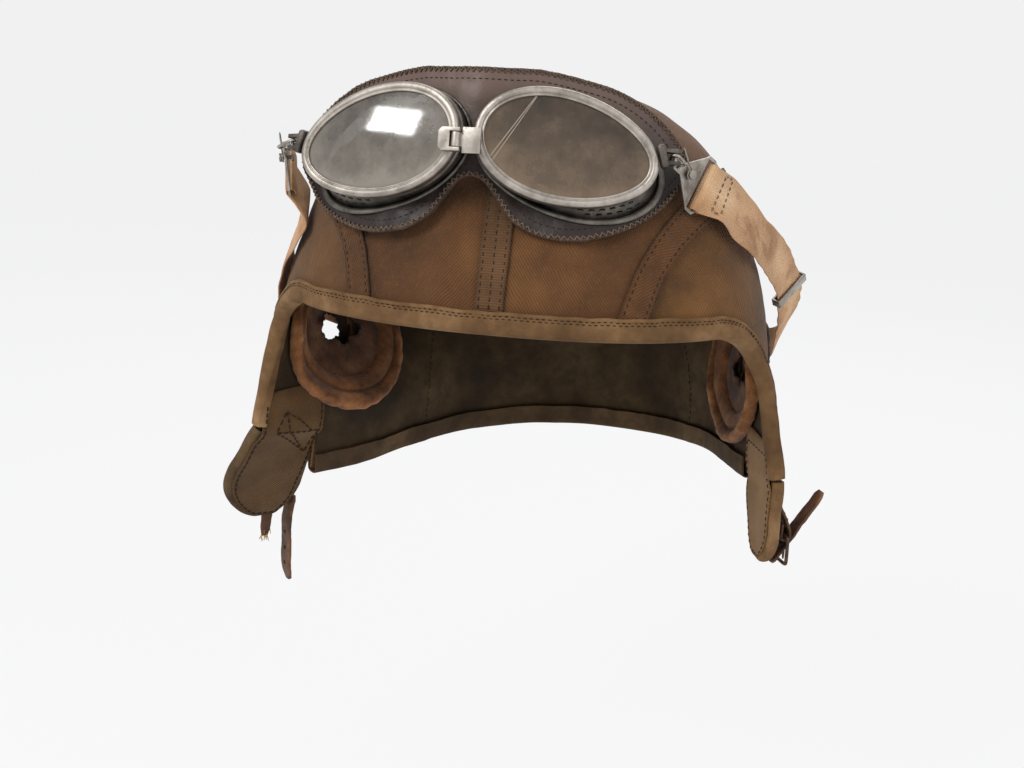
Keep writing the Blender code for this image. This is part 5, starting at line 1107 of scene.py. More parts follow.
    def side(self, side: Side, gap: float, fine: int) -> list[np.ndarray]:
        """Flat places of one side: crown seam to brow line, brow line to flap seam, and hem."""
        back = steps(self.flap_back, self.nape - gap, 5 * fine)
        ahead = steps(self.corner, self.flap_back, 7 * fine)
        columns = np.concatenate([steps(self.front_seam + gap, self.corner, 5 * fine), ahead[1:], back[1:]])
        seam = curve(self.crown_seam, steps(0.0, 1.0, len(columns) - 1)) + (gap, 0.0)
        seam_u, seam_h = np.arctan2(seam[:, 0], -seam[:, 1]) / np.pi, np.minimum(1.0, np.hypot(*seam.T))
        part = steps(0.0, 1.0, 6 * fine)[:, None]
        upper = polar(side.value * (seam_u + (columns - seam_u) * part), seam_h + (1.0 - seam_h) * part)
        turn = steps(0.0, np.pi / 2.0, 4 * fine)
        heights = np.concatenate([1.0 + self.corner_drop * (1.0 - np.cos(turn)),
                                  steps(1.5, 2.0, 3 * fine)[1:]])
        share = steps(0.0, 1.0, 7 * fine)
        front = self.front_edge(heights)[:, None]
        low = np.concatenate([front + (self.flap_back - front) * share,
                              np.repeat(back[None, 1:], len(heights), 0)], 1)
        lower = polar(side.value * low, np.repeat(heights[:, None], low.shape[1], 1))
        hem = polar(side.value * back[None, :], steps(2.0, 3.0, 2 * fine)[:, None]
                    * np.ones_like(back)[None, :])
        return [upper, lower, hem]

    def curtain_columns(self, gap: float, fine: int) -> np.ndarray:
        """Ways round of the columns of the neck curtain, from its right seam to its left."""
        part = steps(1.0, 0.0, 4 * fine)
        across = (np.sin(np.pi * self.nape) - gap) * part
        right = np.arctan2(across, -(1.0 + (-np.cos(np.pi * self.nape) - 1.0) * part)) / np.pi
        return np.concatenate([right, 2.0 - right[-2::-1]])

    def curtain(self, gap: float, fine: int) -> np.ndarray:
        """Flat places of the neck curtain, from the brow line to the hem."""
        columns = self.curtain_columns(gap, fine)[None, :]
        rows = np.concatenate([steps(1.0 + gap, 2.0, 7 * fine), steps(2.0, 3.0, 2 * fine)[1:]])[:, None]
        return polar(columns * np.ones_like(rows), rows * np.ones_like(columns))


def polar(u: float | np.ndarray, h: float | np.ndarray) -> np.ndarray:
    """Flat places from the way round and the way down."""
    u, h = np.broadcast_arrays(np.asarray(u, float), np.asarray(h, float))
    return np.stack([h * np.sin(np.pi * u), -h * np.cos(np.pi * u)], -1)


def area_of(piece: bpy.types.Object) -> float:
    """Area of an open surface in square metres."""
    areas = np.zeros(len(piece.data.polygons))
    piece.data.polygons.foreach_get("area", areas)
    return float(areas.sum())


@dataclass
class Thread:
    """Sewing: one stitch is modelled and repeated along lines."""

    length: float = 0.0022
    pitch: float = 0.0031
    width: float = 0.00062
    height: float = 0.00042

    def stitch(self) -> bpy.types.Object:
        """One stitch along X, lying on the ground plane, with its ends sunk."""
        deselect()
        bpy.ops.mesh.primitive_uv_sphere_add(segments=6, ring_count=6, radius=0.5)
        piece = bpy.context.object
        places = coordinates(piece)
        along = np.sign(places[:, 2]) * np.abs(places[:, 2] * 2.0) ** 0.75 * 0.5
        lay(piece, np.stack([along * self.length, places[:, 0] * self.width,
                             places[:, 1] * self.height + self.height * (0.36 - 3.0 * along ** 2)], 1))
        return piece

    def frames(self, points: np.ndarray, normals: np.ndarray, pitch: float) -> np.ndarray:
        """Places, ways along, across and out, one at each pitch of a line."""
        lengths = lengths_along(points)
        count = max(1, int(lengths[-1] / pitch))
        at = (np.arange(count) + 0.5) * lengths[-1] / count
        place = sample(points, lengths, at)
        ahead = sample(points, lengths, at + 0.0004)
        behind = sample(points, lengths, at - 0.0004)
        along = unit(ahead - behind)
        out = unit(sample(normals, lengths, at))
        across = unit(np.cross(out, along))
        return np.stack([place, along, across, unit(np.cross(along, across))], 1)

    def repeat(self, model: bpy.types.Object, name: str, frames: np.ndarray) -> bpy.types.Object:
        """Copies of one piece at frames.

        Args:
            model: piece to repeat, along X with Z outwards.
            name: name of the joined copies.
            frames: place, along, across and out for each copy.

        Returns:
            The joined copies.
        """
        shape = coordinates(model)
        if len(frames) > 1:
            modify(model, "ARRAY", count=len(frames), use_relative_offset=False, use_constant_offset=True,
                   use_merge_vertices=False)
        lay(model, np.einsum("vj,fji->fvi", shape, frames[:, 1:]) + frames[:, None, 0])
        model.name = model.data.name = name
        shade(model, 60.0)
        return model

    def sew(self, name: str, lines: list[tuple[np.ndarray, np.ndarray]], look: Finish,
            body: str | None) -> bpy.types.Object:
        """Stitches along lines of points with their normals."""
        return finish(self.stitched(name, lines), look, body)

    def stitched(self, name: str, lines: list[tuple[np.ndarray, np.ndarray]]) -> bpy.types.Object:
        """Stitches along lines of points with their normals, without a finish."""
        frames = np.concatenate([self.frames(points, normals, self.pitch) for points, normals in lines])
        return self.repeat(self.stitch(), name, frames)


# Small stitches of the bindings, the thick box over the left hinge, the row inside the mask's edge,
# the whipping round it, and one loose fibre of the stub.
BINDING_SEAM = Thread(length=0.0017, pitch=0.0025, width=0.00052, height=0.00034)
BOX_SEAM = Thread(length=0.0029, pitch=0.0031, width=0.0009, height=0.0005)
MASK_SEAM = Thread(length=0.0017, pitch=0.0026, width=0.0004, height=0.0003)
WHIPPING = Thread(length=0.0031, pitch=0.0026, width=0.00062, height=0.00055)
LOOSE_FIBRE = Thread(length=0.0060, pitch=0.0062, width=0.00034, height=0.00034)


@dataclass
class Hood:
    """Cloth of the helmet: panels, lining, tapes, bindings and their stitching."""

    pattern: Pattern
    thread: Thread
    lining: float = 0.0008
    lining_space: float = 0.0010
    tape: float = 0.0008
    tape_width: float = 0.0122
    binding: float = 0.0009
    brow_height: float = 0.0072
    hem_height: float = 0.0080
    outer_space: float = 0.0008
    inner_space: float = 0.0014
    ear_radius: float = 0.0125

    core = (0.0, 0.0, -0.093)

    def cloth(self, name: str, blocks: list[np.ndarray], lift: float, thickness: float, anchor: float,
              ears: tuple[Side, ...] = ()) -> tuple[bpy.types.Object, float]:
        """Panel of cloth from blocks of flat places.

        Args:
            name: name of the piece.
            blocks: blocks of flat places that meet along rows.
            lift: height of its outer face.
            thickness: thickness of the cloth.
            anchor: share of each row that the weave is measured from.
            ears: sides that get an ear hole.

        Returns:
            The piece and its flat area.
        """
        made, down = [], 0.0
        for i, flat in enumerate(blocks):
            points = self.pattern.layer(flat, lift)
            uv = arc_uv(points, anchor)
            uv[..., 1] += down if i else -uv[-1, 0, 1]
            down = uv[-1, 0, 1]
            block = grid(f"{name}_{i}", points, uv)
            gap, _ = self.pattern.near_seam(self.pattern.smooth(flat))
            mark(block, "seam", np.exp(-(gap.reshape(-1) / 0.0065) ** 2))
            made.append(block)
        piece = join(made, name) if len(made) > 1 else made[0]
        weld(piece)
        face_away(piece, self.core)
        for side in ears:
            self.pierce(piece, side)
        area = area_of(piece)
        modify(piece, "SOLIDIFY", thickness=thickness, offset=-1.0, use_even_offset=True)
        shade(piece, 50.0)
        return piece, area

    def pierce(self, piece: bpy.types.Object, side: Side) -> None:
        """Cut the round ear hole out of an open surface and even its edge."""
        middle, outward, backward, upward = ear_axes(self.pattern, side)
        places = coordinates(piece) - middle
        reach = np.hypot(places @ backward, places @ upward)
        near = np.abs(places @ outward) < 0.02
        mesh = piece.data
        chosen = near & (reach < self.ear_radius)
        make_active(piece)
        bpy.ops.object.mode_set(mode="EDIT")
        bpy.ops.mesh.select_mode(type="VERT")
        bpy.ops.mesh.select_all(action="DESELECT")
        bpy.ops.object.mode_set(mode="OBJECT")
        mesh.vertices.foreach_set("select", chosen)
        bpy.ops.object.mode_set(mode="EDIT")
        bpy.ops.mesh.delete(type="VERT")
        bpy.ops.object.mode_set(mode="OBJECT")
        places = coordinates(piece)
        local = places - middle
        reach = np.hypot(local @ backward, local @ upward)
        edge = (np.abs(local @ outward) < 0.02) & (reach < self.ear_radius + 0.0022)
        pull = ((self.ear_radius - reach) / np.maximum(reach, 1e-9))[:, None]
        flat_part = local - np.outer(local @ outward, outward)
        fade = np.clip(1.0 - (reach - self.ear_radius) / 0.0022, 0.0, 1.0)[:, None]
        places[edge] += (flat_part * pull * fade)[edge]
        lay(piece, places)

    def build_panels(self) -> None:
        """Crown halves, sides and neck curtain."""
        pattern = self.pattern
        gap = GAP / pattern.dome_half_width
        for side in Side:
            piece, area = self.cloth(f"crown_cloth_{side.label}", [pattern.crown(side, gap, 170, 44)], 0.0,
                                     pattern.cloth, 0.0)
            finish(piece, CROWN_TWILL, "helmet", f"crown_panel_{side.label}")
            piece, area = self.cloth(f"side_cloth_{side.label}", pattern.side(side, gap, 9), 0.0,
                                     pattern.cloth, 1.0,
                                     (side,))
            finish(piece, SIDE_TWILL, "helmet", f"side_panel_{side.label}")
        piece, area = self.cloth("curtain_cloth", [pattern.curtain(2.0 * gap, 9)], 0.0, pattern.cloth, 0.5)
        finish(piece, SIDE_TWILL, "helmet", "neck_curtain")

    def build_lining(self) -> None:
        """Lining under all the panels, open at the ears, with its seams sewn."""
        pattern = self.pattern
        lift = -(pattern.cloth + self.lining_space)
        left, right = Side.LEFT, Side.RIGHT
        pieces, area = [], 0.0
        crown = [pattern.crown(side, 0.0, 17 * 5, 4 * 4) for side in Side] + [pattern.curtain(0.0, 4)]
        for i, blocks in enumerate([[c] for c in crown]
                                   + [pattern.side(left, 0.0, 5), pattern.side(right, 0.0, 5)]):
            ears = (left,) if i == 3 else (right,) if i == 4 else ()
            piece, part = self.cloth(f"lining_{i}", blocks, lift, self.lining, 0.5, ears)
            pieces.append(piece)
            area += part
        lining = join(pieces, "lining_cloth")
        finish(lining, LINING_CLOTH, "helmet", "lining")
        inside = lift - self.lining - 0.0001
        lines = []
        for line in pattern.seams():
            shown = line[2:-2]
            lines.append((pattern.layer(shown, inside), -pattern.normal(shown)))
        self.thread.sew("lining_stitches", lines, DARK_THREAD, "helmet")

    def strip(self, name: str, line: np.ndarray, look: Finish, node: str, rows: tuple[float, ...],
              raised: float) -> None:
        """Tape sewn over a seam.

        Args:
            name: name of the piece.
            line: flat places along its middle.
            look: surface finish.
            node: CAD node that it replaces.
            rows: shares of the half width where it is sewn down.
            raised: how far it swells between the stitch lines.
        """
        pattern = self.pattern
        smooth = pattern.smooth(line)
        normal = pattern.normal(line)
        across = unit(np.cross(normal, unit(np.gradient(smooth, axis=0))))
        half = self.tape_width / 2.0
        shares = np.array((-1.0, -0.95, -0.84, -0.7, -0.55, -0.4, -0.2, 0.0, 0.2, 0.4, 0.55, 0.7, 0.84,
                           0.95, 1.0))
        wander = 1.0 + 0.05 * soft(smooth, 0.05, 41)
        flats = np.stack([pattern.shift(line, across * (half * share * wander)[:, None])
                          for share in shares], 1)
        swell = np.ones_like(shares)
        for row in rows:
            swell = np.minimum(swell, np.abs(shares - row) / 0.30)
        lift = 2.0 * GAP + raised * np.clip(swell, 0.0, 1.0) ** 0.7
        points = np.stack([pattern.layer(flats[:, i], lift[i]) for i in range(len(shares))], 1)
        ends = np.minimum(np.arange(len(line)), np.arange(len(line))[::-1])
        points -= (normal * (0.0003 * np.exp(-ends / 2.0))[:, None])[:, None]
        piece = grid(name, points)
        mark(piece, "seam", np.repeat(np.exp(-((1.0 - np.abs(shares)) / 0.12) ** 2)[None], len(line),
                                      0).reshape(-1))
        face_away(piece, self.core)
        area = area_of(piece)
        modify(piece, "SOLIDIFY", thickness=self.tape, offset=1.0)
        modify(piece, "BEVEL", width=0.00025, segments=2, limit_method="ANGLE",
               angle_limit=math.radians(50.0))
        shade(piece, 50.0)
        finish(piece, look, "helmet", node)
        lines = []
        for row in rows:
            flat = pattern.shift(line, across * (half * row * wander)[:, None])
            lines.append((pattern.layer(flat, 2.0 * GAP + self.tape), pattern.normal(flat)))
        self.thread.sew(f"{name}_stitches", lines, DARK_THREAD, "helmet")

    def build_tapes(self) -> None:
        """Centre tape with three stitch lines, and the seam tapes with two."""
        pattern = self.pattern
        reach = 0.030
        middle = np.stack([np.zeros(261), steps(-1.0 + reach, 1.0 - reach / 3.0, 260)], 1)
        self.strip("tape_middle", middle, TAPE_CLOTH, "centre_tape", (-0.74, 0.0, 0.74), 0.0004)
        for side in Side:
            line = curve(pattern.crown_seam, steps(0.016, 0.992, 200)) * (side.value, 1.0)
            self.strip(f"tape_{side.label}", line, CROWN_TWILL, f"seam_tape_{side.label}", (-0.72, 0.72),
                       0.0003)

    def fold_over(self, name: str, line: np.ndarray, height: float | np.ndarray, look: Finish, node: str,
                  swell: np.ndarray) -> None:
        """Binding folded round an edge of cloth and lining.

        Args:
            name: name of the piece.
            line: flat places along the edge.
            height: how high it stands up each face.
            look: surface finish.
            node: CAD node that it replaces.
            swell: extra height of its outer face along the line, over what it covers.
        """
        pattern, height = self.pattern, height * np.ones(len(line))
        edge, normal = pattern.layer(line), pattern.normal(line)
        inward = unit(np.cross(normal, unit(np.gradient(pattern.smooth(line), axis=0))))
        outer = self.outer_space + self.binding / 2.0
        inner = pattern.cloth + self.lining_space + self.lining + self.inner_space + self.binding / 2.0
        wander = 1.0 + 0.035 * soft(edge, 0.030, 51) + 0.02 * soft(edge, 0.011, 52)
        front = ((1.0, 0.00005), (0.985, 0.00030), (0.95, 0.00042), (0.90, 0.00032), (0.86, 0.00005),
                 (0.8, -0.0001), (0.72, 0.0), (0.6, 0.00018), (0.45, 0.00025), (0.3, 0.0002), (0.15, 0.0001))
        columns = []
        for share, rise in front:
            flat = pattern.shift(line, inward * (height * share * wander)[:, None])
            wrinkle = 0.00016 * soft(edge + inward * (height * share)[:, None], 0.0065, 53)
            columns.append(pattern.layer(flat, outer + rise + wrinkle + swell * min(1.0, 0.25 + share)))
        for turn in steps(0.0, np.pi, 10):
            level = (outer - inner) / 2.0 + (outer + inner) / 2.0 * np.cos(turn)
            level = level + swell * 0.25 * max(0.0, math.cos(turn))
            columns.append(edge - inward * (0.0006 + 0.0012 * np.sin(turn))
                           + normal * np.asarray(level)[..., None])
        for share in (0.2, 0.5, 0.8, 1.0):
            flat = pattern.shift(line, inward * (height * share * wander)[:, None])
            columns.append(pattern.layer(flat, -inner + 0.0001 * soft(edge, 0.008, 54)))
        points = np.stack(columns, 1)
        piece = grid(name, points)
        gap = np.zeros(points.shape[:2])
        gap[:, 4:6] = 0.9
        gap[:, 0] = 0.7
        mark(piece, "seam", gap.reshape(-1))
        weld(piece)
        face_away(piece, self.core)
        area = area_of(piece)
        modify(piece, "SOLIDIFY", thickness=self.binding, offset=0.0)
        shade(piece, 50.0)
        finish(piece, look, "helmet", node)
        lines = []
        for share, rise in ((0.82, 0.0), (0.66, 0.00012)):
            flat = pattern.shift(line, inward * (height * share * wander)[:, None])
            lines.append((pattern.layer(flat, outer + self.binding / 2.0 + rise
                                        + swell * min(1.0, 0.25 + share)),
                          pattern.normal(flat)))
        BINDING_SEAM.sew(f"{name}_stitches", lines, DARK_THREAD, "helmet")

    def build_bindings(self) -> None:
        """Bindings of the brow and of the hem."""
        pattern = self.pattern
        turn = steps(np.pi / 2.0, 0.0, 30)
        straight = steps(1.983, 1.5, 16)[:-1]
        heights = np.concatenate([straight, 1.0 + pattern.corner_drop * (1.0 - np.cos(turn))])
        left = polar(-pattern.front_edge(heights), heights)
        brow = polar(steps(-pattern.corner, pattern.corner, 190)[1:-1], 1.0)
        path = np.concatenate([left, brow, (left * (-1.0, 1.0))[::-1]])
        edge = pattern.smooth(path)
        swell = np.zeros(len(path))
        for u in (-pattern.front_seam, 0.0, pattern.front_seam):
            gap = np.linalg.norm(edge - pattern.smooth(polar(u, 1.0)), axis=1)
            swell = np.maximum(swell, 0.0010 * np.exp(-(gap / 0.0085) ** 4))
        wider = 0.45 + 0.55 * steps(0.0, 1.0, len(left) - len(straight) - 1)
        narrow = np.concatenate([np.full(len(straight), 0.45), wider])
        heights = self.brow_height * np.concatenate([narrow, np.ones(len(brow)), narrow[::-1]])
        self.fold_over("binding_brow", path, heights, BINDING_CLOTH, "brow_binding", swell)
        back = steps(pattern.flap_back, pattern.nape, 50)
        round_nape = pattern.curtain_columns(0.0, 10)
        hem = np.concatenate([back[:-1], round_nape, (2.0 - back[:-1])[::-1]])
        self.fold_over("binding_hem", polar(hem, 3.0), self.hem_height, HEM_CLOTH, "neck_binding",
                       np.zeros(len(hem)))

    def build(self) -> None:
        """Build all of the hood."""
        self.build_panels()
        self.build_lining()
        self.build_tapes()
        self.build_bindings()


def ear_axes(pattern: Pattern, side: Side) -> tuple[np.ndarray, np.ndarray, np.ndarray, np.ndarray]:
    """Middle of the ear on the outer cloth, with its outward, backward and upward axes."""
    flat = polar(side.value * EAR_PLACE[0], EAR_PLACE[1])
    middle, outward = pattern.smooth(flat), pattern.normal(flat)
    upward = np.array((0.0, 0.0, 1.0))
    backward = np.cross(upward, outward) * -side.value
    backward = unit(backward - outward * (backward @ outward))
    return middle, outward, backward, unit(upward - outward * (upward @ outward))


def puff(piece: bpy.types.Object, voxel: float, cap: float, held: np.ndarray) -> None:
    """Swell a stuffed piece like a filled skin, with a cloth simulation whose result is applied.

    Args:
        piece: closed piece.
        voxel: size of its new faces in metres.
        cap: furthest that a point may move.
        held: for each place, how much it is sewn down, from 0 to 1.
    """
    before = coordinates(piece)
    modify(piece, "REMESH", mode="VOXEL", voxel_size=voxel, use_smooth_shade=True)
    start = coordinates(piece)
    tree = KDTree(len(before))
    for i, place in enumerate(before):
        tree.insert(place, i)
    tree.balance()
    near = [tree.find(place)[1] for place in start]
    group = piece.vertex_groups.new(name="sewn")
    for i, j in enumerate(near):
        group.add([i], float(held[j]), "REPLACE")
    cloth = piece.modifiers.new("Cloth", "CLOTH")
    cloth.settings.effector_weights.gravity = 0.0
    cloth.settings.use_pressure = True
    cloth.settings.uniform_pressure_force = 4.0
    cloth.settings.vertex_group_mass = "sewn"
    cloth.settings.quality = 4
    cloth.collision_settings.use_collision = False
    cloth.point_cache.frame_start, cloth.point_cache.frame_end = 1, PUFF_FRAMES
    for step in range(1, PUFF_FRAMES + 1):
        bpy.context.scene.frame_set(step)
    make_active(piece)
    bpy.ops.object.modifier_apply(modifier=cloth.name)
    bpy.context.scene.frame_set(1)
    move = coordinates(piece) - start
    reach = np.linalg.norm(move, axis=1, keepdims=True)
    lay(piece, start + move * np.minimum(1.0, cap / np.maximum(reach, 1e-9)))
    piece.vertex_groups.clear()
    modify(piece, "SUBSURF", levels=1, render_levels=1)


@dataclass
class Ears:
    """Inside of each ear: a padded ring round a torn pad; outside, a leather patch round the hole."""

    pattern: Pattern
    thread: Thread
    radii: tuple[float, float] = (0.0395, 0.0375)
    drops: tuple[float, float] = (0.0030, 0.0010)
    tab_turns: tuple[float, float] = (0.75, 2.4)
    ring_width: float = 0.0152
    roll_share: float = 0.36
    ring_height: float = 0.0068
    hole: float = 0.0125
    patch_radius: float = 0.021
    patch: float = 0.0012
    space: float = 0.0007
    layers: float = 0.0032
    stud_reach: float = 0.0094

    tears = (1.0, 0.86, 1.12, 0.94, 1.05, 0.80, 0.96, 1.16, 0.90, 1.08, 0.84, 1.02)

    def on_wall(self, side: Side, back: np.ndarray, up: np.ndarray, lift: np.ndarray | float) -> np.ndarray:
        """Points over the ear wall, back and up from the ear's middle and lifted off the outer face."""
        pattern = self.pattern
        middle, _, backward, upward = ear_axes(pattern, side)
        back, up = np.broadcast_arrays(back, up)
        flat = np.ones(back.shape + (2,)) * polar(side.value * EAR_PLACE[0], EAR_PLACE[1])
        for _ in range(7):
            here = pattern.smooth(flat)
            place = here - middle
            miss_back, miss_up = back - place @ backward, up - place @ upward
            da = (pattern.smooth(flat + (STEP, 0.0)) - here) / STEP
            db = (pattern.smooth(flat + (0.0, STEP)) - here) / STEP
            a, b, c, d = da @ backward, db @ backward, da @ upward, db @ upward
            scale = a * d - b * c
            flat = flat + np.stack([(miss_back * d - miss_up * b) / scale,
                                    (miss_up * a - miss_back * c) / scale], -1)
        return pattern.layer(flat, lift)

    def round_ring(self, side: Side, reach: np.ndarray, turn: np.ndarray,
                   lift: np.ndarray | float) -> np.ndarray:
        """Points round the roll's own middle, which sits a little below the ear hole."""
        return self.on_wall(side, reach * np.cos(turn), reach * np.sin(turn) - self.drop, lift)

    def build_ring(self, side: Side, inside: float) -> None:
        """Chamois roll, puckered where it is sewn down."""
        turn = steps(0.0, 2.0 * np.pi, 144)[:, None]
        over = steps(0.0, np.pi, 16)
        flat = steps(0.42, 1.0, 10)
        share = np.concatenate([self.roll_share * (0.5 - 0.5 * np.cos(over)), flat])[None, :]
        roll = np.sin(over) ** 0.72
        roll[10:] = np.maximum(roll[10:], 0.48)
        slope = 0.62 * (1.0 - ((flat - 0.42) / 0.58) ** 3)
        height = self.ring_height * np.concatenate([roll, slope])[None, :]
        gather = np.sin(29.0 * turn + 1.5 * np.sin(3.0 * turn)) * 0.5 + np.sin(41.0 * turn + 2.0) * 0.3
        edge = np.exp(-(share / 0.10) ** 2) + 0.8 * np.exp(-((share - self.roll_share) / 0.12) ** 2)
        radius = self.radius - self.ring_width * share + 0.0004 * gather * edge
        lump = 1.0 + 0.07 * np.sin(3.0 * turn + 0.8) + 0.05 * np.sin(7.0 * turn) + 0.10 * gather * edge
        top = self.round_ring(side, radius, turn, inside - height * lump)
        under = radius[:, -1:] + (radius[:, :1] - radius[:, -1:]) * np.array([[0.25, 0.5, 0.75, 1.0]])
        bottom = self.round_ring(side, under, turn, np.full(under.shape, inside))
        points = np.concatenate([top, bottom], 1)
        piece = grid(f"ear_roll_{side.label}", points)
        weld(piece)
        places = coordinates(piece)
        centre, outward, _, _ = ear_axes(self.pattern, side)
        low = np.clip(1.0 - (-(places - centre) @ outward + inside) / 0.0022, 0.0, 1.0)
        puff(piece, 0.0015, 0.0012, low)
        places = coordinates(piece)
        centre = self.round_ring(side, np.array([0.0]), np.array([0.0]), inside)[0]
        reach = np.linalg.norm(places - centre - np.outer((places - centre) @ outward, outward), axis=1)
        channel = np.exp(-((reach - self.radius + self.ring_width * (self.roll_share + 0.02))
                           / 0.0009) ** 2)
        above = np.clip(-(places - centre) @ outward / 0.003, 0.0, 1.0)
        lay(piece, places + outward * (channel * above * 0.0013)[:, None])
        shade(piece, 70.0)
        finish(piece, EAR_CHAMOIS, "helmet", f"ear_ring_{side.label}")
        inner = 1.0 / (1.0 + np.exp((reach - self.radius + self.ring_width * (self.roll_share + 0.03))
                                    / 0.0004))
        mark(piece, "seam", np.clip(channel + 0.42 * inner
                                    + 0.3 * np.exp(-((reach - self.radius) / 0.0015) ** 2), 0.0, 1.0))
        circle = steps(0.0, 2.0 * np.pi, 200)
        reach = self.radius - self.ring_width * (self.roll_share + 0.03)
        line = self.round_ring(side, reach, circle, inside - self.ring_height * 0.42)
        self.thread.sew(f"ear_roll_stitches_{side.label}", [(line, -np.ones((201, 1)) * outward)],
                        DARK_THREAD, "helmet")

    def torn(self, turn: np.ndarray, seed: int) -> np.ndarray:
        """Shares of the hole's radius round its torn edge."""
        table = np.array(self.tears + self.tears[:1])
        share = np.interp(turn, steps(0.0, 2.0 * np.pi, len(self.tears)), table)
        ring = np.stack([np.cos(turn), np.sin(turn), np.zeros_like(turn)], -1)
        return share + 0.05 * soft(ring, 0.55, seed) + 0.035 * soft(ring, 0.22, seed + 1)

    def build_pad(self, side: Side, inside: float) -> None:
        """Thin dark pad inside the roll, torn open over the ear hole."""
        turn = steps(0.0, 2.0 * np.pi, 216)
        outer = self.radius - self.ring_width - GAP + 0.0016
        inner = self.hole * self.torn(turn, 61)
        share = steps(0.0, 1.0, 14)[:, None]
        back = (outer * (1.0 - share) + inner * share) * np.cos(turn)
        up = (outer * np.sin(turn) - self.drop) * (1.0 - share) + inner * np.sin(turn) * share
        curl = np.clip((share - 0.62) / 0.38, 0.0, 1.0) ** 1.6
        wave = 0.0011 * (1.0 + np.sin(5.0 * turn + 1.0)) + 0.0006 * np.sin(11.0 * turn)
        lift = (inside - 0.0002 - curl * np.maximum(0.0002, wave)
                - 0.0007 * np.sin(np.pi * share) * np.ones_like(turn))
        points = self.on_wall(side, back, up, lift)
        piece = grid(f"ear_lining_{side.label}", points)
        mark(piece, "seam", (np.exp(-((1.0 - share) / 0.12) ** 2) * np.ones_like(turn)).reshape(-1))
        weld(piece)
        face_away(piece, (0.0, 0.0, -self.radius))
        area = area_of(piece)
        modify(piece, "SOLIDIFY", thickness=0.0009, offset=-1.0)
        shade(piece, 60.0)
        finish(piece, PAD_CHAMOIS, "helmet", f"ear_pad_{side.label}")

    def build_patch(self, side: Side) -> None:
        """Leather patch sewn round the hole outside, with torn tabs over it and two snap studs."""
        turn = steps(0.0, 2.0 * np.pi, 216)
        tab = 0.62 + 0.38 * np.clip(np.cos(turn - self.tab_turn) * 1.25, 0.0, 1.0) ** 0.7
        inner = self.hole + GAP - tab * (0.0088 + 0.0011 * np.sin(6.0 * turn)
                                         + 0.0006 * np.sin(15.0 * turn))
        shares = np.array((0.0, 0.02, 0.06, 0.14, 0.3, 0.5, 0.7, 0.86, 0.94, 0.98, 1.0))[:, None]
        radius = inner + (self.patch_radius - inner) * shares
        crown = self.patch * np.sqrt(np.clip(1.0 - np.abs(2.0 * shares - 1.0) ** 10, 0.0, 1.0)) + 0.0001
        ring = np.stack([radius * np.cos(turn), radius * np.sin(turn), 0.0 * radius], -1)
        rough = 0.00012 * soft(ring.reshape(-1, 3), 0.006, 71).reshape(radius.shape)
        top = self.on_wall(side, radius * np.cos(turn), radius * np.sin(turn), self.space + crown + rough)
        bottom = self.on_wall(side, radius * np.cos(turn), radius * np.sin(turn),
                              np.full(radius.shape, self.space))[::-1]
        piece = grid(f"ear_leather_{side.label}", np.concatenate([top, bottom]))
        weld(piece)
        shade(piece, 50.0)
        finish(piece, PATCH_LEATHER, "helmet", f"ear_patch_{side.label}")
        _, outward, _, upward = ear_axes(self.pattern, side)
        circle = steps(0.0, 2.0 * np.pi, 160)
        reach = self.patch_radius - 0.0018
        line = self.on_wall(side, reach * np.cos(circle), reach * np.sin(circle),
                            np.full(161, self.space + self.patch))
        self.thread.sew(f"ear_leather_stitches_{side.label}", [(line, np.ones((161, 1)) * outward)],
                        PALE_THREAD, "helmet")
        studs = []
        for turn_at in (self.tab_turn - 0.35, self.tab_turn + 0.45):
            back, up = self.stud_reach * np.cos(turn_at), self.stud_reach * np.sin(turn_at)
            place = self.on_wall(side, np.array([back]), np.array([up]), self.space)[0]
            studs.append(stud(place, -outward, upward, 0.0017, 0.0011))
        finish(join(studs, f"ear_studs_{side.label}"), BUCKLE_STEEL, "helmet")

    def build(self) -> None:
        """Build both ears."""
        inside = -(self.layers + self.space)
        sides = zip(Side, self.radii, self.drops, self.tab_turns)
        for side, self.radius, self.drop, self.tab_turn in sides:
            self.build_ring(side, inside)
            self.build_pad(side, inside)
            self.build_patch(side)


def stud(place: np.ndarray, out: np.ndarray, up: np.ndarray, radius: float,
         height: float) -> bpy.types.Object:
    """Domed snap stud with a turned edge.

    Args:
        place: middle of its foot.
        out: way that it faces.
        up: any way across it.
        radius: radius of its foot.
        height: height of its dome.

    Returns:
        The stud.
    """
    deselect()
    bpy.ops.mesh.primitive_cylinder_add(vertices=24, radius=radius, depth=height * 0.5,
                                        end_fill_type="NGON")
    piece = bpy.context.object
    make_active(piece)
    bpy.ops.object.mode_set(mode="EDIT")
    bpy.ops.mesh.select_mode(type="FACE")
    bpy.ops.mesh.select_all(action="DESELECT")
    bpy.ops.object.mode_set(mode="OBJECT")
    for polygon in piece.data.polygons:
        polygon.select = polygon.normal.z > 0.9
    bpy.ops.object.mode_set(mode="EDIT")
    bpy.ops.mesh.inset(thickness=radius * 0.28, depth=-height * 0.18)
    bpy.ops.mesh.inset(thickness=radius * 0.12, depth=height * 0.55)
    bpy.ops.mesh.inset(thickness=radius * 0.22, depth=height * 0.16)
    bpy.ops.object.mode_set(mode="OBJECT")
    modify(piece, "BEVEL", width=radius * 0.07, segments=2, limit_method="ANGLE",
           angle_limit=math.radians(35.0))
    across = unit(np.cross(up, out))
    turned = np.stack([across, unit(np.cross(out, across)), out])
    lay(piece, coordinates(piece) @ turned + place)
    shade(piece, 45.0)
    return piece


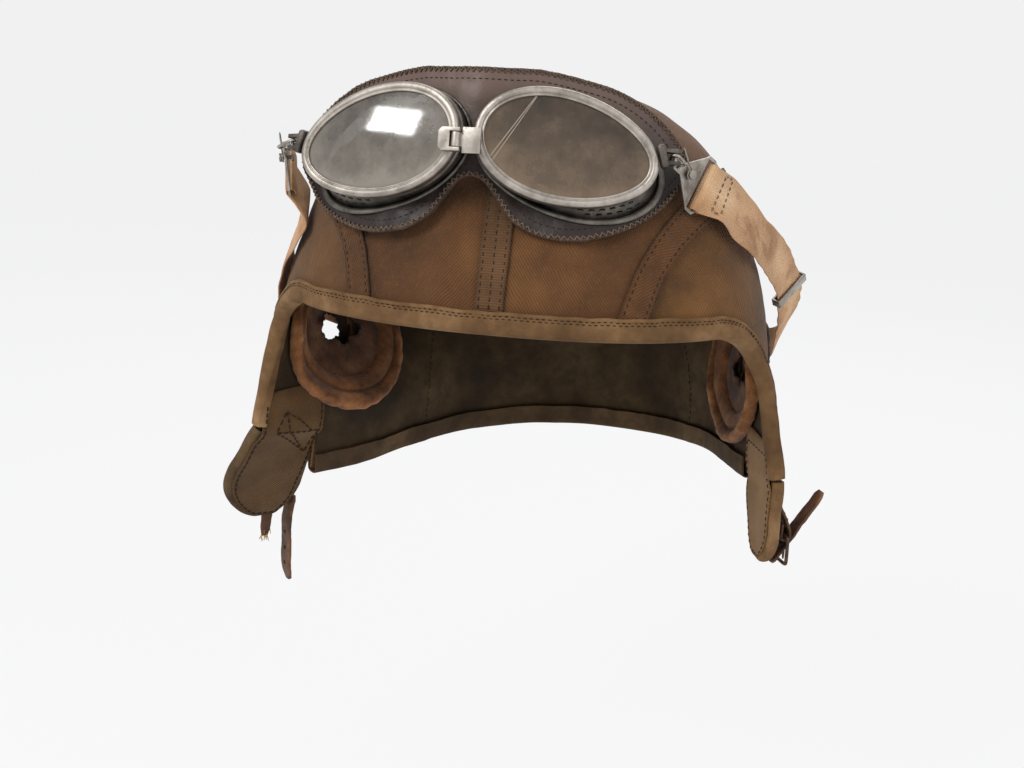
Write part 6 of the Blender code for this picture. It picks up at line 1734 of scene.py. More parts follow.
def leather_strip(name: str, points: np.ndarray, across: np.ndarray, widths: np.ndarray, thickness: float,
                  seed: int) -> bpy.types.Object:
    """Flat leather strip with rounded edges along points.

    Args:
        name: name of the piece.
        points: places along its middle.
        across: way across it, one or one for each place.
        widths: width at each place.
        thickness: thickness of the leather.
        seed: number of its wear.

    Returns:
        The closed strip.
    """
    along = unit(np.gradient(points, axis=0))
    across = unit(np.ones((len(points), 1)) * across)
    normal = unit(np.cross(along, across))
    turn = steps(0.0, 2.0 * np.pi, 24)
    x = rounded(np.cos(turn), 0.30)
    y = rounded(np.sin(turn), 0.55)
    worn = 1.0 + 0.05 * soft(points, 0.012, seed) + 0.03 * soft(points, 0.004, seed + 1)
    rows = (points[:, None] + across[:, None] * (x[None, :, None] * (widths * worn / 2.0)[:, None, None])
            + normal[:, None] * (y[None, :, None] * thickness / 2.0))
    rows = rows + normal[:, None] * (0.00022 * soft(points, 0.010, seed + 2))[:, None, None]
    piece = grid(name, rows)
    weld(piece, True)
    shade(piece, 55.0)
    return piece


def carve(piece: bpy.types.Object, tool: bpy.types.Object) -> None:
    """Cut a tool out of a piece with an exact Boolean, and remove the tool."""
    modify(piece, "BOOLEAN", object=tool, operation="DIFFERENCE", solver="EXACT")
    bpy.data.objects.remove(tool, do_unlink=True)


def box_tool(low: tuple[float, ...], high: tuple[float, ...], matrix: np.ndarray,
             place: np.ndarray) -> bpy.types.Object:
    """Box between two corners in a turned frame, whose axes are the rows of a matrix."""
    deselect()
    bpy.ops.mesh.primitive_cube_add(size=1.0)
    tool = bpy.context.object
    low, high = np.array(low), np.array(high)
    lay(tool, (coordinates(tool) * (high - low) + (low + high) / 2.0) @ matrix + place)
    return tool


@dataclass
class Flap:
    """Flap that hangs below one ear, bound round its free edge."""

    pattern: Pattern
    thread: Thread
    side: Side
    tilt: float
    length: float
    front_shares: tuple[float, ...]
    back_shares: tuple[float, ...]
    cloth: float = 0.0018
    space: float = 0.0008
    inset: float = 0.0026
    binding: float = 0.0009
    binding_height: float = 0.0048

    row_shares = (0.0, 0.13, 0.30, 0.46, 0.60, 0.73, 0.84, 0.92, 0.97, 1.0)

    def __post_init__(self) -> None:
        """Find the hinge line and the way that the flap hangs."""
        pattern, sign = self.pattern, self.side.value
        ends = pattern.smooth(polar(sign * np.array((pattern.front_edge_at, pattern.flap_back)), 2.0))
        inset = self.inset / np.linalg.norm(ends[0] - ends[1])
        span = pattern.flap_back - pattern.front_edge_at
        self.front, self.back = pattern.front_edge_at + span * inset * 0.5, pattern.flap_back - span * inset
        start, end = pattern.smooth(polar(sign * np.array((self.front, self.back)), 2.0))
        self.middle, self.axis = (start + end) / 2.0, unit(end - start)
        self.half = float(np.linalg.norm(end - start)) / 2.0
        outward = pattern.normal(polar(sign * (self.front + self.back) / 2.0, 2.0))
        outward = unit(outward - self.axis * (outward @ self.axis))
        hang = unit(DOWNWARDS - self.axis * (DOWNWARDS @ self.axis))
        outward = unit(outward - hang * (outward @ hang))
        turn = math.radians(self.tilt)
        self.down = hang * math.cos(turn) + outward * math.sin(turn)
        self.outward = outward * math.cos(turn) - hang * math.sin(turn)

    def point(self, s: np.ndarray, q: np.ndarray, lift: np.ndarray | float = 0.0) -> np.ndarray:
        """Places on the worn flap at shares across (-1 front, 1 back) and down, lifted off its outer face."""
        s, q, lift = np.broadcast_arrays(np.asarray(s, float), q, lift)
        kept = np.clip(s, -1.0, 1.0)
        u = (self.front + self.back) / 2.0 + (self.back - self.front) / 2.0 * kept
        seam = self.pattern.smooth(polar(self.side.value * u, 2.0)) - self.middle
        bow = (seam - self.axis * (self.half * kept)[..., None]) @ self.outward
        drop = self.space + (self.length - self.space) * q
        flat = (self.middle + self.axis * (self.half * s)[..., None] + self.down * drop[..., None]
                + self.outward * bow[..., None])
        seed = 81 if self.side is Side.LEFT else 91
        points = flat.reshape(-1, 3)
        wave = 0.0008 * soft(points, 0.040, seed) + 0.00035 * soft(points, 0.014, seed + 1)
        wave = wave.reshape(q.shape) * np.clip(q / 0.25, 0.0, 1.0)
        return flat + self.outward * (lift + wave)[..., None]

    def outline(self, rows: np.ndarray) -> np.ndarray:
        """How far down, and the front and back edges, at shares of the rows."""
        table = np.stack([self.row_shares, self.front_shares, self.back_shares], 1)
        found = curve(table, rows)
        found[:, 0] = np.clip(found[:, 0], 0.0, 1.0)
        return found

    def edge_path(self, count: int) -> np.ndarray:
        """Shares across and down along the free edge, from the front of the hinge to its back."""
        rows = self.outline(steps(0.0, 1.0, count))
        front = np.stack([-rows[:, 1], rows[:, 0]], 1)
        back = np.stack([rows[:, 2], rows[:, 0]], 1)[::-1]
        tip = front[-1] + (back[0] - front[-1]) * steps(0.0, 1.0, count // 4)[1:-1, None]
        path = np.concatenate([front, tip, back])
        metric = path * (self.half, self.length)
        lengths = lengths_along(metric)
        even = steps(0.0, lengths[-1], 3 * count)
        path = sample(path, lengths, even)
        for _ in range(5):
            path[1:-1] = path[1:-1] * 0.5 + (path[:-2] + path[2:]) * 0.25
        return path

    def inner(self, path: np.ndarray, reach: float) -> np.ndarray:
        """Path moved inwards from the edge by a length."""
        metric = path * (self.half, self.length)
        along = unit(np.gradient(metric, axis=0))
        inward = np.stack([along[:, 1], -along[:, 0]], 1)
        centre = np.array((0.0, self.length * 0.45))
        inward *= np.sign((inward * (centre - metric)).sum(1).mean())
        return (metric + inward * reach) / (self.half, self.length)

    def build(self) -> None:
        """Cloth, binding and stitching."""
        label = self.side.label
        rows = self.outline(steps(0.0, 1.0, 64))
        share = steps(0.0, 1.0, 52)[None, :]
        s = -rows[:, 1:2] + (rows[:, 2:3] + rows[:, 1:2]) * share
        points = self.point(s, rows[:, :1])
        piece = grid(f"flap_cloth_{label}", points)
        mark(piece, "seam", (np.exp(-rows[:, :1] / 0.06) + 0.0 * s).reshape(-1))
        weld(piece)
        face_away(piece, tuple(self.middle - self.outward * self.length + self.down * self.length / 2.0))
        area = area_of(piece)
        modify(piece, "SOLIDIFY", thickness=self.cloth, offset=-1.0)
        shade(piece, 55.0)
        finish(piece, FLAP_TWILL, f"{label}_flap", f"{label}_flap")
        path = self.edge_path(48)
        skin, top, under = self.binding / 2.0, 0.0009, -(self.cloth + 0.0009)
        section = [(share, top + skin + rise) for share, rise in
                   ((1.0, -0.0001), (0.96, 0.0002), (0.88, 0.0003), (0.8, 0.0), (0.6, 0.0001),
                    (0.3, 0.0001), (0.05, 0.0))]
        columns = [self.point(*self.inner(path, self.binding_height * share).T, lift)
                   for share, lift in section]
        for turn in steps(0.0, np.pi, 8):
            level = (top + under) / 2.0 + (top - under + 2.0 * skin) / 2.0 * math.cos(turn)
            columns.append(self.point(*self.inner(path, -0.0006 - 0.0011 * math.sin(turn)).T, level))
        columns += [self.point(*self.inner(path, self.binding_height * share).T, under - skin)
                    for share in (0.08, 0.2, 0.3, 0.38)]
        points = np.stack(columns, 1)
        points += (0.00012 * soft(points.reshape(-1, 3), 0.006, 83).reshape(points.shape[:2])[..., None]
                   * self.outward)
        piece = grid(f"flap_edge_{label}", points)
        grime = np.zeros(points.shape[:2])
        grime[:, 2:4] = 0.8
        mark(piece, "seam", grime.reshape(-1))
        weld(piece)
        area = area_of(piece)
        modify(piece, "SOLIDIFY", thickness=self.binding, offset=0.0)
        shade(piece, 55.0)
        finish(piece, HEM_CLOTH if self.side is Side.LEFT else BINDING_CLOTH, f"{label}_flap",
               f"{label}_flap_binding")
        out = np.ones((len(path), 1)) * self.outward
        lines = [(self.point(*self.inner(path, self.binding_height * 0.78).T, top + 2.0 * skin + 0.0001),
                  out),
                 (self.point(*self.inner(path[8:-8], self.binding_height + 0.0042).T, 0.0001), out[8:-8])]
        self.thread.sew(f"flap_stitches_{label}", lines, DARK_THREAD, f"{label}_flap")
        self.build_facings()

    def build_facings(self) -> None:
        """Cloth that runs on over the hinge: a facing inside down the whole flap, and a band outside."""
        label, sign, pattern = self.side.label, self.side.value, self.pattern
        across = steps(0.0, 1.0, 44)
        for place, face, tops, downs in (
                ("inside", -1.0, ((0.0165, 0.0040), (0.0160, 0.0047), (0.0110, 0.0049), (0.0060, 0.0050),
                                  (0.0020, 0.0048)),
                 steps(0.015, 0.985, 50)),
                ("outside", 1.0, ((0.0075, 0.0001), (0.0072, 0.0007), (0.0040, 0.0008), (0.0015, 0.0008)),
                 steps(0.015, 0.13, 8))):
            inner = face < 0.0
            # The right flap's facing gets the lighter copy, which is painted light.
            facing = FACING_PAINTED_LIT if self.side is Side.RIGHT else FACING_LEFT
            low, high = (-0.965, 1.0 if self.side is Side.RIGHT else 1.28) if inner else (-0.86, 0.9)
            s = low + (high - low) * across
            u = (self.front + self.back) / 2.0 + (self.back - self.front) / 2.0 * s
            hem = polar(sign * u, 1.995)
            up = np.array((0.0, 0.0, 1.0))
            rows = [pattern.layer(pattern.shift(hem, np.ones((len(u), 1)) * up * reach), face * lift)
                    for reach, lift in tops]
            for down in downs:
                row = self.outline(np.array([down]))[0]
                edge = (-row[1] * (0.965 if inner else 0.86), row[2] * (0.955 if inner else 0.9))
                fade = min(1.0, down / 0.12)
                start, end = low + (edge[0] - low) * fade, high + (edge[1] - high) * min(1.0, down / 0.45)
                lift = (-(self.cloth + 2.2 * self.binding + 0.0003) - 0.0012 * (1.0 - fade) if inner
                        else 0.0009)
                rows.append(self.point(start + (end - start) * across, row[0] * 0.975, lift))
            piece = grid(f"flap_facing_{place}_{label}", np.stack(rows))
            weld(piece)
            core = self.middle - self.outward * face * self.length
            face_away(piece, tuple(core))
            area, length = area_of(piece), float(spans(np.stack(rows)[:, 22]).sum())
            modify(piece, "SOLIDIFY", thickness=0.0007, offset=0.0)
            shade(piece, 60.0)
            finish(piece, facing if inner else SIDE_TWILL, None)
            self.cross_hinge(piece)
            lines = []
            out = np.ones((len(across), 1)) * self.outward * face
            rise = out * 0.0005
            if inner:
                edge = np.stack([row[2] for row in rows[2:-2]] + list(rows[-2][3:-3])
                                + [row[-3] for row in rows[2:-2]][::-1])
                lines.append((edge + self.outward * face * 0.0005,
                              np.ones((len(edge), 1)) * self.outward * face))
            lines.append((rows[2][2:-2] + rise[2:-2], out[2:-2]))
            sewing = self.thread
            if inner and self.side is Side.LEFT:
                lines, sewing = lines[:1] + self.crossed_box(rows, face), BOX_SEAM
            stitches = sewing.stitched(f"facing_stitches_{place}_{label}", lines)
            finish(stitches, DARK_THREAD, None)
            self.cross_hinge(stitches)

    def cross_hinge(self, piece: bpy.types.Object) -> None:
        """Bake a piece's transform into its mesh."""
        f"{self.side.label}_flap"
        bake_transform(piece)

    def crossed_box(self, rows: list[np.ndarray], face: float) -> list[tuple[np.ndarray, np.ndarray]]:
        """Box of stitches with a cross in it, on the facing over the hinge."""
        table = np.stack(rows)
        corners = np.array(((2.9, 16.5), (5.7, 42.0), (15.4, 38.5), (4.9, 10.5)))
        lines = []
        for i, j in ((0, 1), (1, 2), (2, 3), (3, 0), (0, 2), (1, 3)):
            spots = corners[i] + (corners[j] - corners[i]) * steps(0.0, 1.0, 24)[:, None]
            whole = np.clip(np.floor(spots).astype(int), 0, np.array(table.shape[:2]) - 2)
            part = spots - whole
            places = sum(table[whole[:, 0] + a, whole[:, 1] + b]
                         * ((part[:, 0] if a else 1.0 - part[:, 0])
                            * (part[:, 1] if b else 1.0 - part[:, 1]))[:, None]
                         for a in (0, 1) for b in (0, 1))
            lines.append((places + self.outward * face * 0.0005, np.ones((25, 1)) * self.outward * face))
        return lines


@dataclass
class LeftFlap(Flap):
    """Left flap with the chin strap and the frayed stub of another strap."""

    strap_length: float = 0.042
    strap_width: float = 0.0095
    strap: float = 0.0018
    strap_bow: float = 0.0022
    stub_length: float = 0.013
    stub_width: float = 0.0060
    stub: float = 0.0014

    def build(self) -> None:
        """Flap, strap and stub."""
        super().build()
        reach, under = self.binding + 4.0 * GAP, -self.cloth / 2.0
        row = self.outline(np.array([6.0 / 9.0]))[0]
        hang = self.point(row[2], row[0], under) + unit(self.down + self.axis) * (reach + 5.0 * GAP)
        share = steps(-0.06, 1.0, 70)
        bend = self.strap_bow * np.sin(np.pi * np.clip(share, 0.0, 1.0)) + 0.0005 * np.sin(9.0 * share)
        points = hang + DOWNWARDS * (self.strap_length * share)[:, None] - self.axis * bend[:, None]
        widths = self.strap_width * np.interp(share, (-0.06, 0.0, 0.8, 0.9, 0.96, 1.0),
                                              (0.86, 1.0, 1.0, 0.84, 0.6, 0.38))
        across = unit(np.array((self.outward[0], self.outward[1], 0.0)))
        piece = leather_strip("chin_strap_leather", points, across, widths, self.strap, 101)
        normal = unit(np.cross((0.0, 0.0, -1.0), across))
        for drop in (0.40, 0.60, 0.79):
            deselect()
            bpy.ops.mesh.primitive_cylinder_add(vertices=20, radius=0.0011, depth=0.008)
            tool = bpy.context.object
            frame = np.stack([across, unit(np.cross(normal, across)), normal])
            spot = hang + DOWNWARDS * self.strap_length * drop - self.axis * self.strap_bow * 0.8
            lay(tool, coordinates(tool) @ frame + spot)
            carve(piece, tool)
        shade(piece, 50.0)
        finish(piece, STRAP_LEATHER, "chin_strap", "chin_strap")
        top = self.point(0.15, 1.0, under) + self.down * (reach - 0.0012)
        fall = unit(self.down + DOWNWARDS)
        share = steps(0.0, 1.0, 30)
        points = top + fall * ((self.stub_length + 0.0008) * share)[:, None]
        widths = self.stub_width * np.interp(share, (0.0, 0.6, 1.0), (1.0, 0.9, 0.5))
        piece = leather_strip("strap_stub_leather", points, self.axis, widths, self.stub, 105)
        finish(piece, STRAP_LEATHER, "left_flap", "strap_stub")
        random = np.random.default_rng(5)
        frames = []
        for _ in range(26):
            root = top + fall * self.stub_length * random.uniform(0.62, 0.98)
            root = root + self.axis * random.uniform(-0.45, 0.45) * self.stub_width * 0.8
            along = unit(fall + self.axis * random.uniform(-0.5, 0.5)
                         + self.outward * random.uniform(-0.3, 0.3))
            side = unit(np.cross(self.outward, along))
            frames.append(np.stack([root + along * 0.0022, along, side, unit(np.cross(along, side))]))
        threads = LOOSE_FIBRE.repeat(LOOSE_FIBRE.stitch(), "stub_threads", np.array(frames))
        finish(threads, FRAYED_THREAD, "left_flap")


@dataclass
class RightFlap(Flap):
    """Right flap with the buckle tab, the buckle and a strap end left in it."""

    tab_length: float = 0.024
    tab_width: float = 0.0110
    tab: float = 0.0018
    tab_rise: float = 0.0030
    tab_return: float = 0.0060
    wire: float = 0.0009
    prong: float = 0.0007
    buckle_length: float = 0.0130
    end_length: float = 0.040
    end_width: float = 0.0085
    end_tilt: float = 35.0
    tab_across: float = -0.08
    tab_down: float = 0.12

    def build(self) -> None:
        """Flap, tab, buckle and strap end."""
        super().build()
        loop = self.wire + GAP + self.tab / 2.0
        low = GAP + self.tab / 2.0
        high = self.binding + 4.0 * GAP + self.tab_rise + self.tab / 2.0 + 2.0 * loop
        drop = self.space + (self.length - self.space) * self.tab_down
        hinge = self.middle + self.axis * (self.half * self.tab_across) + self.down * drop
        u = (self.front + self.back) / 2.0 + (self.back - self.front) / 2.0 * self.tab_across
        seam = self.pattern.smooth(polar(self.side.value * u, 2.0))
        bow = (seam - self.middle - self.axis * (self.half * self.tab_across)) @ self.outward
        start = hinge + self.outward * bow
        share = steps(0.0, 1.0, 34)
        ease = share * share * (3.0 - 2.0 * share)
        points = (start + self.down * (self.tab_length * share)[:, None]
                  + self.outward * (low + (high - low) * ease)[:, None])
        axis = points[-1] - self.outward * loop
        turn = steps(0.0, np.pi, 16)[1:, None]
        points = np.concatenate([points, axis + self.outward * loop * np.cos(turn)
                                 + self.down * loop * np.sin(turn)])
        back = steps(0.0, 1.0, 8)[1:, None]
        points = np.concatenate([points, points[-1] - self.down * self.tab_return * back])
        piece = leather_strip("buckle_tab_leather", points, self.axis, np.full(len(points), self.tab_width),
                              self.tab, 111)
        frame = np.stack([self.axis, self.outward, self.down])
        room, reach = self.prong + GAP, self.wire + GAP + self.prong
        carve(piece, box_tool((-room, -loop - self.tab, -self.tab_return / 2.0),
                              (room, loop + self.tab, loop + self.tab),
                              frame, axis))
        shade(piece, 50.0)
        finish(piece, STRAP_LEATHER, "right_flap", "buckle_tab")
        flat = points[4:26]
        lines = [(flat + self.axis * (self.tab_width * side) + self.outward * self.tab * 0.5,
                  np.ones((22, 1)) * self.outward) for side in (-0.36, 0.36)]
        self.thread.sew("buckle_tab_stitches", lines, DARK_THREAD, "right_flap")
        tilt = math.radians(self.end_tilt)
        along = self.outward * math.sin(tilt) - self.down * math.cos(tilt)
        across = self.down * (self.buckle_length * 0.54)
        share = steps(-0.20, 0.80, 60)
        bow = 0.0006 * np.sin(5.0 * share) * self.end_length * 0.02
        points = axis + across + along * (self.end_length * share)[:, None] + self.axis * bow[:, None]
        widths = self.end_width * np.interp(share, (-0.20, -0.17, -0.10, 0.2, 0.5, 0.74, 0.80),
                                            (0.45, 0.85, 1.0, 1.0, 0.95, 0.8, 0.4))
        piece = leather_strip("strap_end_leather", points, self.axis, widths, self.tab, 115)
        top = (room, reach + reach, self.buckle_length * 0.54)
        carve(piece, box_tool((-room, GAP, GAP), top, frame, axis))
        shade(piece, 50.0)
        finish(piece, STRAP_LEATHER, "buckle", "strap_end")


def shift_by(x: float, y: float, z: float) -> np.ndarray:
    """4 × 4 matrix of a move."""
    matrix = np.eye(4)
    matrix[:3, 3] = (x, y, z)
    return matrix


def turned(axis: str, angle: float) -> np.ndarray:
    """4 × 4 matrix of a turn in degrees about one axis."""
    return np.array(Matrix.Rotation(math.radians(angle), 4, axis))


def move(matrix: np.ndarray, points: np.ndarray) -> np.ndarray:
    """Points carried by a 4 × 4 matrix."""
    return points @ matrix[:3, :3].T + matrix[:3, 3]


@dataclass
class Goggles:
    """Frame of the goggles on the brow, with the face that the mask follows."""

    pattern: Pattern
    thread: Thread
    mask: float = 0.0020
    mask_length: float = 0.086
    mask_height: float = 0.036
    half_length: float = 0.0379
    half_height: float = 0.0231
    taper: float = 0.10
    rim_front: float = 0.0012
    rim_wall: float = 0.0013
    rim_depth: float = 0.0062
    lens: float = 0.0022
    cup_wall: float = 0.0009
    flare: float = 0.0012
    low_flare: float = 0.0052

    mask_outline = ((0.0, 0.89), (0.14, 0.90), (0.29, 0.92), (0.465, 0.87), (0.64, 0.78), (0.77, 0.625),
                    (0.885, 0.40), (0.965, 0.14), (0.99, -0.11), (0.94, -0.36), (0.84, -0.67),
                    (0.675, -0.90), (0.51, -1.0), (0.35, -0.97), (0.22, -0.83), (0.145, -0.62),
                    (0.09, -0.44), (0.045, -0.345), (0.0, -0.33))

    def __post_init__(self) -> None:
        """Place the frame."""
        self.matrix = (shift_by(-0.0130, -0.1185, -0.0174)
                       @ turned("Z", -1.6) @ turned("Y", -1.8) @ turned("X", -13.4))
        self.front = 0.0011 - self.rim_front + GAP + self.lens + GAP

    def to_world(self, points: np.ndarray) -> np.ndarray:
        """Points of the goggles' frame in the scene."""
        return move(self.matrix, points)

    def in_goggles(self, side: Side) -> np.ndarray:
        """Frame of one cup in the goggles' frame."""
        sign = side.value
        return (shift_by(sign * 0.00295, 0.0, 0.0) @ turned("Z", sign * 15.3)
                @ shift_by(sign * self.half_length, 0.0, 0.0) @ turned("Y", sign * 10.2))

    def clearance(self, places: np.ndarray) -> np.ndarray:
        """How far places in front of the hood stand off its outer cloth, measured level."""
        pattern = self.pattern
        depth = np.maximum(GAP, -places[..., 2])
        rise = np.maximum(0.0, 1.0 - depth / pattern.dome_height)
        reach = (1.0 - rise ** pattern.end_power) ** (1.0 / pattern.end_power)
        spread = pattern.flare_slope * np.maximum(0.0, depth - pattern.flare_start)
        back = places[..., 1] + pattern.widest_forward * reach
        across = np.abs(places[..., 0]) / (pattern.dome_half_width * reach + spread)
        along = np.abs(back) / ((pattern.dome_front - pattern.widest_forward) * reach + spread)
        power = pattern.front_power
        share = (across ** power + along ** power) ** (1.0 / power)
        off = np.hypot(places[..., 0], back) * (1.0 - 1.0 / share)
        return np.where(back < 0.0, off, -pattern.dome_front)

    def depth(self, x: np.ndarray, z: np.ndarray) -> np.ndarray:
        """How far behind the frame's origin the front of the mask lies."""
        wrapped = 0.0079 + np.hypot(x * math.tan(math.radians(24.3)), 0.0045)
        near, far = np.full(x.shape, -self.mask_length), np.full(x.shape, self.mask_length)
        for _ in range(18):
            middle = (near + far) / 2.0
            free = self.clearance(self.to_world(np.stack([x, middle, z], -1))) > 0.0042
            near, far = np.where(free, middle, near), np.where(free, far, middle)
        part = np.clip(0.5 + (near - wrapped) / 0.0080, 0.0, 1.0)
        return near + (wrapped - near) * part - 0.0040 * part * (1.0 - part)

    def outline(self, side: Side, turn: np.ndarray, offset: np.ndarray | float,
                y: np.ndarray | float) -> np.ndarray:
        """Points of the lens outline in the cup's frame, moved out by an offset; turn 0 is the temple."""
        turn, offset, y = np.broadcast_arrays(turn, offset, y)
        taper = 1.0 - self.taper * np.cos(turn)
        long, high = self.half_length - self.rim_wall - GAP, self.half_height - self.rim_wall - GAP
        dx = -long * np.sin(turn)
        dz = high * (np.cos(turn) * taper + self.taper * np.sin(turn) ** 2)
        length = np.hypot(dx, dz)
        return np.stack([side.value * (long * np.cos(turn) + offset * dz / length), y + 0.0 * dx,
                         high * np.sin(turn) * taper - offset * dx / length], -1)

    def base(self, side: Side, turn: np.ndarray, offset: np.ndarray | float, behind: float) -> np.ndarray:
        """Places on the cup's wall that lie a distance behind the front of the mask."""
        low = np.clip(np.cos(turn + 0.75), 0.0, 1.0) ** 2
        offset = offset + self.flare * (0.5 + 0.5 * np.cos(turn)) + self.low_flare * low
        y = np.full(np.broadcast(turn, offset).shape, self.front)
        frame = self.in_goggles(side)
        for _ in range(12):
            there = move(frame, self.outline(side, turn, offset, y))
            y = y + self.depth(there[..., 0], there[..., 2]) + behind - there[..., 1]
        return self.outline(side, turn, offset, y)


@dataclass
class EyeCup:
    """One eye cup: beaded rim, lens, vented wall and the bead ring on the mask."""

    goggles: Goggles
    side: Side

    section = ((0.3, 5.0), (1.2, 5.05), (1.6, 4.8), (1.6, 3.4), (1.42, 3.1), (1.42, 2.8), (1.6, 2.5),
               (1.6, 0.2), (1.45, -0.35), (1.1, -0.8), (0.6, -1.08), (0.0, -1.2), (-0.6, -1.18),
               (-1.0, -1.02), (-1.25, -0.62), (-1.5, -0.6), (-1.7, -0.82), (-2.05, -0.86),
               (-2.32, -0.7), (-2.4, -0.35), (-2.4, -0.12), (0.3, -0.12))
    vent_rows = (0.38, 0.70)
    vent_places = (0.800, 0.820, 0.840, 0.860, 0.880, 0.900)

    @property
    def body(self) -> str:
        """Body that carries this cup."""
        return "left_cup" if self.side is Side.LEFT else "goggles"

    def to_world(self, points: np.ndarray) -> np.ndarray:
        """Points of the cup's frame in the scene."""
        return self.goggles.to_world(move(self.goggles.in_goggles(self.side), points))

    def wall(self, turn: np.ndarray, share: np.ndarray | float) -> np.ndarray:
        """Outer face of the wall at a share of the way from behind the rim to the mask."""
        goggles = self.goggles
        start = goggles.outline(self.side, turn, 0.0, goggles.rim_depth - goggles.rim_front + GAP)
        share = np.asarray(share)[..., None]
        return start + (goggles.base(self.side, turn, 0.0, goggles.mask * 0.6) - start) * share

    def build(self) -> None:
        """Build every piece of the cup."""
        self.build_rim()
        self.build_lens()
        self.build_wall()
        self.build_ring()

    def build_rim(self) -> None:
        """Rolled rim with a bead round the lens and a groove inside it."""
        turn = steps(0.0, 2.0 * np.pi, 168)[:, None]
        section = np.array(self.section) * 0.001
        points = self.goggles.outline(self.side, turn, section[None, :, 0], section[None, :, 1])
        hollow = np.where((section[:, 0] < -0.0011) & (section[:, 0] > -0.0016), 1.0, 0.0)
        closed = np.concatenate([points, points[:, :1]], 1)
        piece = grid(f"rim_metal_{self.side.label}", self.to_world(closed))
        mark(piece, "seam", (np.append(hollow, hollow[0])[None, :] + 0.0 * turn).reshape(-1))
        weld(piece)
        shade(piece, 50.0)
        finish(piece, RIM_METAL, self.body, f"rim_{self.side.label}")

    def build_lens(self) -> None:
        """Ground glass plate, slightly crowned at the front."""
        goggles, label = self.goggles, self.side.label
        turn = steps(0.0, 2.0 * np.pi, 144)[None, :]
        shares = np.concatenate([np.sin(steps(0.0, 0.5 * np.pi, 26)), [1.0]])[:, None]
        ring = goggles.outline(self.side, turn + 0.0 * shares, 0.0, 0.0)
        front = ring * shares[..., None]
        lip_back = 0.0011 - goggles.rim_front
        front[..., 1] = lip_back + GAP - 0.0003 * (1.0 - shares[..., 0:1] ** 2) * np.ones_like(turn)
        back = (ring * shares[..., None])[::-1]
        back[..., 1] = lip_back + GAP + goggles.lens
        piece = grid(f"lens_glass_{label}", self.to_world(np.concatenate([front, back])))
        edge = np.concatenate([shares + 0.0 * turn, (shares + 0.0 * turn)[::-1]])
        mark(piece, "edge", edge.reshape(-1))
        local = np.concatenate([front, back]).reshape(-1, 3)
        mark(piece, "long", local[:, 0] * self.side.value / goggles.half_length)
        # Height across the lens, for the scratches and for the painted shade that darkens the film towards the
        # top.
        mark(piece, "high", local[:, 2] / goggles.half_height)
        weld(piece)
        shade(piece, 40.0)
        finish(piece, LENS_LEFT if self.side is Side.LEFT else LENS_RIGHT, self.body, f"lens_{label}")

    def build_wall(self) -> None:
        """Drawn wall with two rows of slots below the temple."""
        goggles, label = self.goggles, self.side.label
        turn = steps(0.0, 2.0 * np.pi, 168)
        rows = [goggles.outline(self.side, turn, 0.0, goggles.front)]
        rows += [self.wall(turn, share) for share in np.concatenate([steps(0.0, 0.94, 7), [0.97, 1.0]])]
        points = np.stack(rows)
        deep = steps(0.0, 1.0, len(rows) - 1)[:, None]
        piece = grid(f"cup_metal_{label}", self.to_world(points))
        mark(piece, "seam", (np.clip((deep - 0.75) / 0.25, 0.0, 1.0) + 0.0 * turn).reshape(-1))
        weld(piece)
        centre = self.to_world(np.array((0.0, goggles.rim_depth, 0.0)))
        face_away(piece, tuple(centre))
        modify(piece, "SOLIDIFY", thickness=goggles.cup_wall, offset=-1.0)
        slots = []
        for row in self.vent_rows:
            for place in self.vent_places:
                at = np.array([2.0 * np.pi * (place + (row - self.vent_rows[0]) * 0.04)])
                spot = self.wall(at, row)[0]
                along = unit(self.wall(at + 0.001, row)[0] - spot)
                inward = unit(self.wall(at, row + 0.001)[0] - spot)
                out = unit(np.cross(along, inward))
                slots.append(self.slot(spot, np.stack([along, unit(np.cross(out, along)), out])))
        tool = join(slots, "vents")
        lay(tool, self.to_world(coordinates(tool)))
        carve(piece, tool)
        shade(piece, 45.0)
        finish(piece, CUP_METAL, self.body, f"cup_{label}")

    def slot(self, spot: np.ndarray, frame: np.ndarray) -> bpy.types.Object:
        """Tool for one round-ended slot."""
        deselect()
        bpy.ops.mesh.primitive_cylinder_add(vertices=16, radius=0.00055, depth=0.0054)
        tool = bpy.context.object
        places = coordinates(tool)
        places[:, 0] += np.sign(places[:, 0] + 1e-9) * 0.00075
        lay(tool, places @ frame + spot)
        return tool

    def build_ring(self) -> None:
        """Half-round bead that clamps the wall to the mask."""
        goggles, label = self.goggles, self.side.label
        turn = steps(0.0, 2.0 * np.pi, 168)[:, None]
        width = 0.0013 + 0.0017 * (0.5 + 0.5 * np.cos(turn))
        over = steps(0.0, np.pi, 12)[None, :]
        share = 0.5 - 0.5 * np.cos(over)
        points = goggles.base(self.side, turn + 0.0 * over, GAP + width * share, -GAP)
        points[..., 1] -= 0.0014 * np.sin(over) ** 0.6
        closed = np.concatenate([points, points[:, :1]], 1)
        piece = grid(f"bead_{label}", self.to_world(closed))
        grime = (share < 0.12) * 0.9 + (share > 0.9) * 0.5 + 0.0 * turn
        mark(piece, "seam", np.concatenate([grime, 0.9 + 0.0 * turn], 1).reshape(-1))
        weld(piece)
        shade(piece, 60.0)
        finish(piece, CUP_METAL, self.body, f"base_ring_{label}")


